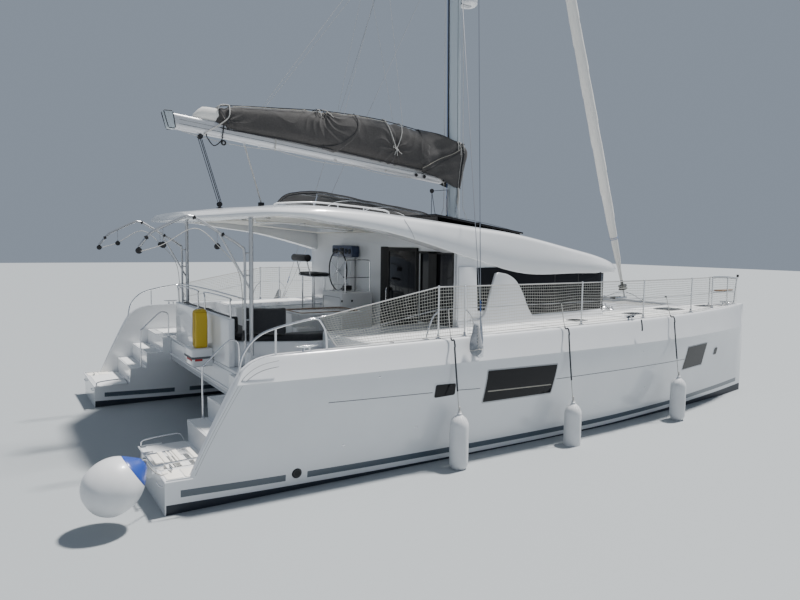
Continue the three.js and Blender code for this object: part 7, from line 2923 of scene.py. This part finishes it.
@dataclass
class Stern:
    """Steps, platforms, handrails, ladder and what stands at the aft edge of the bridgedeck."""

    def build(self) -> None:
        """Makes the stern's fittings."""
        self.handles()
        self.ladder()
        self.raft()
        self.bulwark_lines()
        self.aft_panel()

    def handles(self) -> None:
        """Steel loops beside the steps, on the platforms and on their aft faces."""
        piece = Piece("stern_handles")
        loop = [
            (-5.55, 0.72), (-5.55, 1.4), (-5.5, 1.5), (-5.2, 1.78), (-5.1, 1.8), (-5.02, 1.72), (-5.02, 1.3)
        ]
        piece.both(tube_part(smooth_line([(x, -2.18, z) for x, z in loop], 5), 0.0125, 10), STEEL)
        for x, y in ((-5.55, -2.18), (-5.02, -2.18)):
            z = 0.7205 if x < -5.4 else 1.3005
            piece.both(
                lathe_part(
                    [(0, 0), (0.035, 0), (0.035, 0.006), (0.014, 0.012), (0, 0.012)], (x, y, z), UP, 16
                ), STEEL
            )
        hoop = smooth_line(
            [
                (-6.37, -2.13, 0.43), (-6.375, -2.13, 0.46), (-6.33, -2.13, 0.515), (-5.98, -2.13, 0.54),
                (-5.86, -2.13, 0.525), (-5.81, -2.13, 0.43)
            ], 5
        )
        piece.both(tube_part(hoop, 0.011, 10), STEEL)
        for x0, x1 in ((-6.37, -6.17), (-6.155, -5.96)):
            lid = oblong(x0, x1, -3.62, -3.31, 0.02, 4)
            piece.both(prism_part(lid, Plane.XY, 0.4303, 0.438, 0.003), CEILING_WHITE)
        for y in (-2.42, -3.42):
            grip = smooth_line(
                [
                    (-6.392, y - 0.1, 0.33), (-6.425, y - 0.09, 0.33), (-6.43, y, 0.33),
                    (-6.425, y + 0.09, 0.33), (-6.392, y + 0.1, 0.33)
                ], 4
            )
            piece.both(tube_part(grip, 0.009, 8), STEEL)
        piece.done(angle=40)

    def bulwark_lines(self) -> None:
        """Rub strip along the platform's edge and a second line below the bulwark's top."""
        piece = Piece("stern_mouldings")
        edge = [(-6.1, -3.72, 0.425), (-6.405, -3.7, 0.425), (-6.405, -2.12, 0.425), (-6.1, -2.105, 0.425)]
        piece.both(tube_part(edge, 0.014, 8), GELCOAT)
        for low in (0.055, 0.13):
            line = []
            for x, z in smooth_line([(-6.05, 0.56), *Hulls.slope[2:]], 5):
                h = z - low
                line.append((x, hull_side(x, min(h, 1.49)) + 0.0035, h))
            piece.both(tube_part(line, 0.005, 6), SEAL_AND_SHADOW_GREY)
        piece.done(angle=40)

    def ladder(self) -> None:
        """The folding ladder with white treads."""
        piece = Piece("folding_ladder", "ladder")
        x, z = -6.445, 0.49
        low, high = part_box("swim_ladder")
        reach = high[0] - x - 0.013
        y0, y1 = low[1] + 0.045 + 0.013, high[1] - 0.045 - 0.013
        for y in (y0, y1):
            piece.tube(
                STEEL, [(x, y, z), (x + reach * 0.5, y, z + 0.01), (x + reach, y, z + 0.02)], 0.0128, 12
            )
            piece.ball(STEEL, (x + reach, y, z + 0.02), (0.0128, 0.0128, 0.0128), 12)
        piece.rod(STEEL, (x, low[1] + 0.0004, z), (x, high[1] - 0.0004, z), 0.0118, sides=14)
        for part in (0.36, 0.68, 1):
            tx = x + (high[0] - x - 0.005) * part
            piece.box(CEILING_WHITE, (tx - 0.06, y0 + 0.012, z + 0.004), (tx, y1 - 0.012, z + 0.026), 0.005)
        piece.box(CEILING_WHITE, (-6.4, y0 + 0.05, z + 0.004), (-6.31, y1 - 0.05, z + 0.016), 0.004)
        for tx in (-6.2, -6.155, -6.11):
            piece.box(CEILING_WHITE, (tx, y0 + 0.012, z + 0.006), (tx + 0.022, y1 - 0.012, z + 0.018), 0.004)
        piece.done(["swim_ladder"], angle=38)

    def raft(self) -> None:
        """Raft canister in its cradle with the lifebuoy case on it."""
        low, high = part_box("liferaft")
        piece = Piece("raft_canister")
        body = box_part(tuple(low), tuple(high), 0.035, 4)
        piece.add(body, GELCOAT)
        mid = (low[2] + high[2]) / 2
        piece.box(
            GROOVE, (low[0] - 0.004, low[1] - 0.004, mid - 0.018),
            (high[0] - 0.004, high[1] + 0.004, mid + 0.018), 0.004
        )
        piece.box(
            RED, (low[0] - 0.005, low[1] + 0.03, low[2] + 0.1),
            (low[0] + 0.01, low[1] + 0.34, low[2] + 0.135), 0.003
        )
        piece.box(
            RED, (low[0] + 0.04, low[1] - 0.004, low[2] + 0.1),
            (low[0] + 0.16, low[1] + 0.008, low[2] + 0.135), 0.003
        )
        piece.done(["liferaft"], angle=35)
        case = Piece("lifebuoy_case")
        low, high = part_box("lifebuoy_bag")
        cx, cy = (low[0] + high[0]) / 2, (low[1] + high[1]) / 2
        rings = []
        for t, s in (
            (0, 0.82), (0.012, 0.9), (0.05, 0.97), (0.3, 1), (0.72, 0.985), (0.9, 0.95), (0.965, 0.86),
            (0.99, 0.72), (1, 0.6)
        ):
            z = low[2] + (high[2] - low[2]) * t
            lump = 0.003 * sin(11 * t)
            corner = rounded(
                [
                    (s * u + lump, s * v - lump, 0.035)
                    for u, v in ((-0.1, -0.115), (0.1, -0.115), (0.1, 0.115), (-0.1, 0.115))
                ], 6
            )
            rings.append([(cx + u, cy + v, z + 0.01 * u / 0.1 * t) for u, v in corner])
        case.add(loft_part(rings), YELLOW)
        for v in (-0.04, 0.045):
            seam = [(cx - 0.1015, cy + v, low[2] + (high[2] - low[2]) * t) for t in spread(0.06, 0.9, 8)]
            case.tube(YELLOW_DARK, seam, 0.0035, 6)
        case.tube(
            YELLOW_DARK,
            [
                (cx + u, cy + v, low[2] + (high[2] - low[2]) * 0.93)
                for u, v in oblong(-0.093, 0.093, -0.107, 0.107, 0.04)
            ], 0.005, 6, closed=True
        )
        case.done(["lifebuoy_bag"], angle=45)

    def aft_panel(self) -> None:
        """Panel below the cockpit's aft edge, the flange on it and the rails behind the seats."""
        piece = Piece("aft_mouldings")
        plate = oblong(-1.95, 1.95, 0.9, 1.26, 0.05)
        piece.add(prism_part(plate, Plane.YZ, -5.022, -5.001, 0.008), GELCOAT)
        flange = [(-5.02, -2.09, 0.985), (-5.03, -1, 0.985), (-5.03, 1, 0.985), (-5.02, 2.09, 0.985)]
        piece.tube(GELCOAT, flange, 0.022, 10)
        piece.done(angle=35)
        rails = Piece("aft_seat_rails")
        for y in (-1.6, 0.2):
            line = smooth_line(
                [
                    (-4.95, y, 2.05), (-4.96, y, 2.3), (-4.96, y + 0.06, 2.36), (-4.96, y + 1.32, 2.36),
                    (-4.96, y + 1.38, 2.3), (-4.95, y + 1.38, 2.05)
                ], 5
            )
            rails.tube(STEEL, line, 0.0125, 10)
        rails.done(angle=40)


@dataclass
class Fenders:
    """Fenders with their ropes, and the ball fender on the platform."""

    rows: Outline = ((-2.39, 0.36), (-0.085, 0.25), (2.8, 0.37))
    ball: Point = (-6.98, -3.72, 0.5)
    ball_shape: Outline = (
        (0, -0.32), (0.105, -0.308), (0.205, -0.252), (0.285, -0.15), (0.312, 0), (0.29, 0.135),
        (0.225, 0.25), (0.13, 0.34), (0.06, 0.4), (0, 0.41)
    )

    def build(self) -> None:
        """Makes all fenders."""
        for i, (x, middle) in enumerate(self.rows):
            self.long_fender(i, x, middle)
        self.round_fender()

    def long_fender(self, i: int, x: float, middle: float) -> None:
        """One fender and its rope, with painted shade on the rope's middle."""
        deck = along(STATIONS, 4, x)
        y = -HULL_Y - deck - 0.148
        rail_y = -3.6 + 0.075 * (x - 2.09) if x > 2.09 else RAIL_Y
        piece = Piece(f"fender_body_{i + 1}")
        half = [
            (0, -0.47), (0.024, -0.468), (0.03, -0.45), (0.034, -0.425), (0.06, -0.405), (0.098, -0.372),
            (0.122, -0.332), (0.135, -0.29), (0.138, -0.25)
        ]
        profile = [*half, *[(r, -h) for r, h in reversed(half)]]
        piece.lathe(VINYL, profile, (x, y, middle), UP, 40)
        for sign in (-1, 1):
            piece.lathe(
                VINYL, [(0.03, -0.004), (0.0365, 0), (0.03, 0.004)], (x, y, middle + sign * 0.446), UP, 24
            )
        for a in turns(16):
            rib = [
                (x + r * cos(a), y + r * sin(a), middle + h)
                for r, h in ((0.062, 0.404), (0.099, 0.372), (0.1225, 0.332))
            ]
            piece.tube(VINYL, rib, 0.0025, 5)
        top = middle + 0.44
        path = smooth_line(
            [
                (x, y, top), (x, y + 0.02, top + 0.08), (x, -HULL_Y - deck - 0.012, deck_z(x) - 0.2),
                (x, -HULL_Y - deck - 0.01, deck_z(x) - 0.1), (x, -HULL_Y - deck + 0.02, deck_z(x) - 0.012),
                (x, -HULL_Y - deck + 0.095, deck_z(x) + 0.012), (x, rail_y - 0.014, 2.28)
            ], 6
        )
        piece.tube(ROPE_WHITE, path, 0.0068, 8)
        # Thicker dark sleeve over the white rope from above the fender up to the deck edge: painted shade of
        # the rope where it lies against the topsides.
        piece.tube(DARK_ROPE_AND_ROPE_SHADE, [p for p in path[8:] if p[2] < deck_z(x) + 0.02], 0.0125, 8)
        if i == 2:
            extra = [
                (
                    1.78, -HULL_Y - along(STATIONS, 4, 1.78) - 0.016 + 0.03 * t * t,
                    deck_z(1.78) - 0.19 + 0.2 * t
                ) for t in spread(0, 1, 9)
            ]
            piece.tube(DARK_ROPE_AND_ROPE_SHADE, extra, 0.0125, 8)
        eye = [(x + 0.022 * cos(a), y, top + 0.015 + 0.028 * sin(a)) for a in turns(20)]
        piece.tube(ROPE_WHITE, eye, 0.0075, 8, closed=True)
        for k in range(3):
            piece.ball(ROPE_WHITE, (x, y + 0.003, top + 0.045 + 0.022 * k), (0.017, 0.017, 0.014), 12)
        wrap = [
            (x + 0.006 * (t / 6.28) - 0.012, rail_y + 0.012 * cos(t), 2.28 + 0.012 * sin(t))
            for t in spread(0, 6.28 * 3.5, 60)
        ]
        piece.tube(DARK_ROPE_AND_ROPE_SHADE, wrap, 0.0065, 6)
        piece.done([f"fender_{i + 1}"], angle=45)

    def round_fender(self) -> None:
        """The ball fender, white with a blue end, tied to the platform."""
        centre = Vector(self.ball)
        way = Vector((0.84, 0, 0.54)).normalized()
        piece = Piece("ball_fender_body")
        soft = smooth_line(self.ball_shape, 6)
        piece.lathe(
            VINYL, [*[p for p in soft if p[1] < 0.262], (0.214, 0.262), (0, 0.262)], tuple(centre),
            tuple(way), 64
        )
        cap = [(0, 0.255), (0.2145, 0.2555), *[(r + 0.002, h) for r, h in soft if h > 0.262][:-1], (0, 0.412)]
        piece.lathe(VINYL_BLUE, cap, tuple(centre), tuple(way), 48)
        side = way.cross(Vector((0, 0, 1))).normalized()
        up = side.cross(way)
        ring = [tuple(centre + way * (0.405 + 0.03 * cos(a)) + up * 0.03 * sin(a)) for a in turns(24)]
        piece.tube(ROPE_WHITE, ring, 0.008, 8, closed=True)
        start = centre + way * 0.42
        rope = smooth_line(
            [
                tuple(start), (-6.52, -3.6, 0.565), (-6.405, -3.45, 0.448), (-6.36, -3.43, 0.4405),
                (-6.32, -3.42, 0.4385)
            ], 6
        )
        piece.tube(ROPE_WHITE, rope, 0.0078, 8)
        piece.done(["ball_fender"], angle=45)
        cleat = Piece("platform_cleats")
        for y in (-3.33, 3.33):
            cleat_part(cleat, (-6.26, y, PLATFORM_Z), Vector(UP), Vector((0, 1, 0)), 0.085)
        cleat.done(angle=40)


@dataclass
class Underwater:
    """Keels, rudders, drives and propellers."""

    def foil(self, chord: float, thick: float, x: float, z: float) -> list[Point]:
        """A streamlined section of the starboard side."""
        ring = []
        for k, a in enumerate(turns(48)):
            c = 0.5 * (1 + cos(a))
            half = 5 * (
                0.2969 * sqrt(max(0, 1 - c)) - 0.126 * (1 - c) - 0.3516 * (1 - c) ** 2 + 0.2843 * (1 - c) ** 3
                - 0.1036 * (1 - c) ** 4
            )
            ring.append(
                (
                    x + chord * (c - 0.5),
                    -HULL_Y + copysign(1, sin(a)) * thick * half * (1 if k % 24 else 0), z
                )
            )
        return ring

    def build(self) -> None:
        """Makes everything below the water."""
        for side in Side:
            keel = Piece(f"keel_fin_{side.word}", side=side)
            rows = [
                (2.25, 0.3, -0.44), (2.1, 0.275, -0.7), (1.85, 0.225, -1.1), (1.75, 0.205, -1.225),
                (1.7, 0.15, -1.25)
            ]
            keel.add(loft_part([self.foil(c, t, 0.15, z) for c, t, z in rows]), ANTIFOUL)
            keel.done([f"keel_{side.word}"], angle=40)
            rudder = Piece(f"rudder_blade_{side.word}", f"rudder_{side.word}", side)
            blade = [
                (0.43, 0.072, -5.66, -0.25), (0.42, 0.07, -5.66, -0.4), (0.36, 0.058, -5.655, -0.85),
                (0.3, 0.046, -5.65, -1.12), (0.27, 0.03, -5.65, -1.13)
            ]
            rudder.add(loft_part([self.foil(c, t, x, z) for c, t, x, z in blade]), ANTIFOUL)
            rudder.rod(STEEL, (-5.62, -HULL_Y, -0.6), (-5.62, -HULL_Y, 0.255), 0.03, sides=24)
            rudder.done([f"rudder_{side.word}"], angle=40)
            drive = Piece(f"drive_leg_{side.word}")
            drive.dress(f"saildrive_{side.word}", ANTIFOUL, 0.006, 2, 25)
            drive.done([f"saildrive_{side.word}"], angle=45)
            prop = Piece(f"propeller_blades_{side.word}", f"propeller_{side.word}")
            prop.add(frame_part(f"propeller_{side.word}", 0), BRONZE)
            prop.done([f"propeller_{side.word}"], angle=50)
            engine = Piece(f"engine_block_{side.word}")
            low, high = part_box(f"engine_{side.word}")
            engine.box(ENGINE_GREY, tuple(low), (high[0], high[1], high[2] - 0.12), 0.02, 3)
            mid = (low[1] + high[1]) / 2
            engine.box(
                ENGINE_GREY, (low[0] + 0.06, mid - 0.14, high[2] - 0.13),
                (high[0] - 0.1, mid + 0.14, high[2]), 0.03, 3
            )
            for k in range(4):
                x = low[0] + 0.16 + 0.11 * k
                engine.lathe(
                    BLACK, [(0, 0), (0.022, 0), (0.022, 0.012), (0.012, 0.016), (0, 0.016)],
                    (x, mid, high[2] - 0.016), UP, 14
                )
            engine.done([f"engine_{side.word}"], angle=38)


@dataclass
class Interior:
    """Saloon furniture that shows through the glass."""

    def build(self) -> None:
        """Makes sofa, table and galley."""
        sofa = Piece("saloon_sofa_base")
        sofa.dress("saloon_sofa", TIMBER, 0.02, 3, 35)
        sofa.done(["saloon_sofa"], angle=32)
        for i, (low, high) in enumerate(
            (((0.56, 0.4), (1.54, 0.93)), ((1, 1), (1.56, 1.98)), ((-1.2, 1.5), (0.95, 1.98)))
        ):
            pad = box_part((*low, 1.7405), (*high, 1.84), 0.025, 3)
            for vert in pad.verts:
                vert.co.z = min(vert.co.z, 1.84)
            piece = Piece(f"saloon_cushion_{i + 1}")
            piece.add(inflate(pad, 0.025, 0.03), UPHOLSTERY)
            piece.done(angle=60)
        for node in ("saloon_table", "galley"):
            piece = Piece(f"{node}_dressed")
            piece.dress(node, TIMBER, 0.008, 3, 35)
            if node == "galley":
                piece.box(GELCOAT, (-1.21, -2.06, 2.2), (1.51, -1.485, 2.235), 0.008)
            piece.done([node], angle=32)


@dataclass
class Studio:
    """Camera, floor and light."""

    place: Point = (-8.076, -11.392, 3.222)
    yaw: float = 57.83
    pitch: float = -4.9
    roll: float = 0.73
    focal_pixels: float = 658.8
    image_width: float = 800
    sensor: float = 36

    def build(self) -> None:
        """Makes the camera, the floor and the lights."""
        self.camera()
        self.floor()
        self.lights()

    def camera(self) -> None:
        """The camera at the photograph's place."""
        yaw, pitch, roll = (radians(v) for v in (self.yaw, self.pitch, self.roll))
        ahead = Vector((cos(yaw) * cos(pitch), sin(yaw) * cos(pitch), sin(pitch)))
        right = Vector((sin(yaw), -cos(yaw), 0))
        up = right.cross(ahead)
        right, up = (right * cos(roll) + up * sin(roll), up * cos(roll) - right * sin(roll))
        data = bpy.data.cameras.new("camera")
        data.sensor_width = self.sensor
        data.lens = self.focal_pixels / self.image_width * self.sensor
        data.clip_end = 400
        thing = bpy.data.objects.new("camera", data)
        turn = Matrix((right, up, -ahead)).transposed().to_4x4()
        thing.matrix_world = Matrix.Translation(self.place) @ turn
        bpy.context.collection.objects.link(thing)
        bpy.context.scene.camera = thing

    def floor(self) -> None:
        """A plain pale floor at the waterline."""
        piece = Piece("studio_floor", "")
        bm = bmesh.new()
        bmesh.ops.create_grid(bm, x_segments=1, y_segments=1, size=90)
        piece.add(bm, Finish("studio floor", (0.36, 0.385, 0.4), 0.6))
        piece.done()

    def lights(self) -> None:
        """A high key light, a soft fill and an even surround."""
        world = bpy.data.worlds.new("surround")
        world.use_nodes = True
        world.node_tree.nodes["Background"].inputs["Color"].default_value = (0.7, 0.82, 1, 1)
        world.node_tree.nodes["Background"].inputs["Strength"].default_value = 0.36
        bpy.context.scene.world = world
        key = bpy.data.lights.new("key", "SUN")
        key.energy = 7
        key.angle = radians(5)
        key.color = (1, 0.975, 0.94)
        thing = bpy.data.objects.new("key", key)
        thing.rotation_euler = Vector((0.42, 0.02, 1)).to_track_quat("Z", "Y").to_euler()
        bpy.context.collection.objects.link(thing)
        fill = bpy.data.lights.new("fill", "AREA")
        fill.shape = "DISK"
        fill.size = 14
        fill.energy = 50
        thing = bpy.data.objects.new("fill", fill)
        thing.location = (-10, -18, 9)
        aim = Vector(thing.location) - Vector((0, -2, 1.5))
        thing.rotation_euler = aim.to_track_quat("Z", "Y").to_euler()
        bpy.context.collection.objects.link(thing)


def dress_rest() -> None:
    """Gives every frame node that still shows a finish."""
    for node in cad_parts.values():
        for slot in node.material_slots:
            slot.material = GELCOAT.material()


def main() -> None:
    """Builds the boat, part by part."""
    Studio().build()
    dress_rest()
    Cockpit().build()
    Interior().build()
    Helm().build()
    BoomRig().build()
    Hulls().build()
    for side in Side:
        HullSides(side).build()
    RigidTop().build()
    Cabin().build()
    Bulkhead().build()
    canopy = Canopy()
    canopy.tubes()
    canopy.build()
    Davits().build()
    Mast().build()
    Headsail().build()
    Shrouds().build()
    GuardRails().build()
    Foredeck().build()
    Stern().build()
    Fenders().build()
    Underwater().build()


if __name__ == "__main__":
    main()
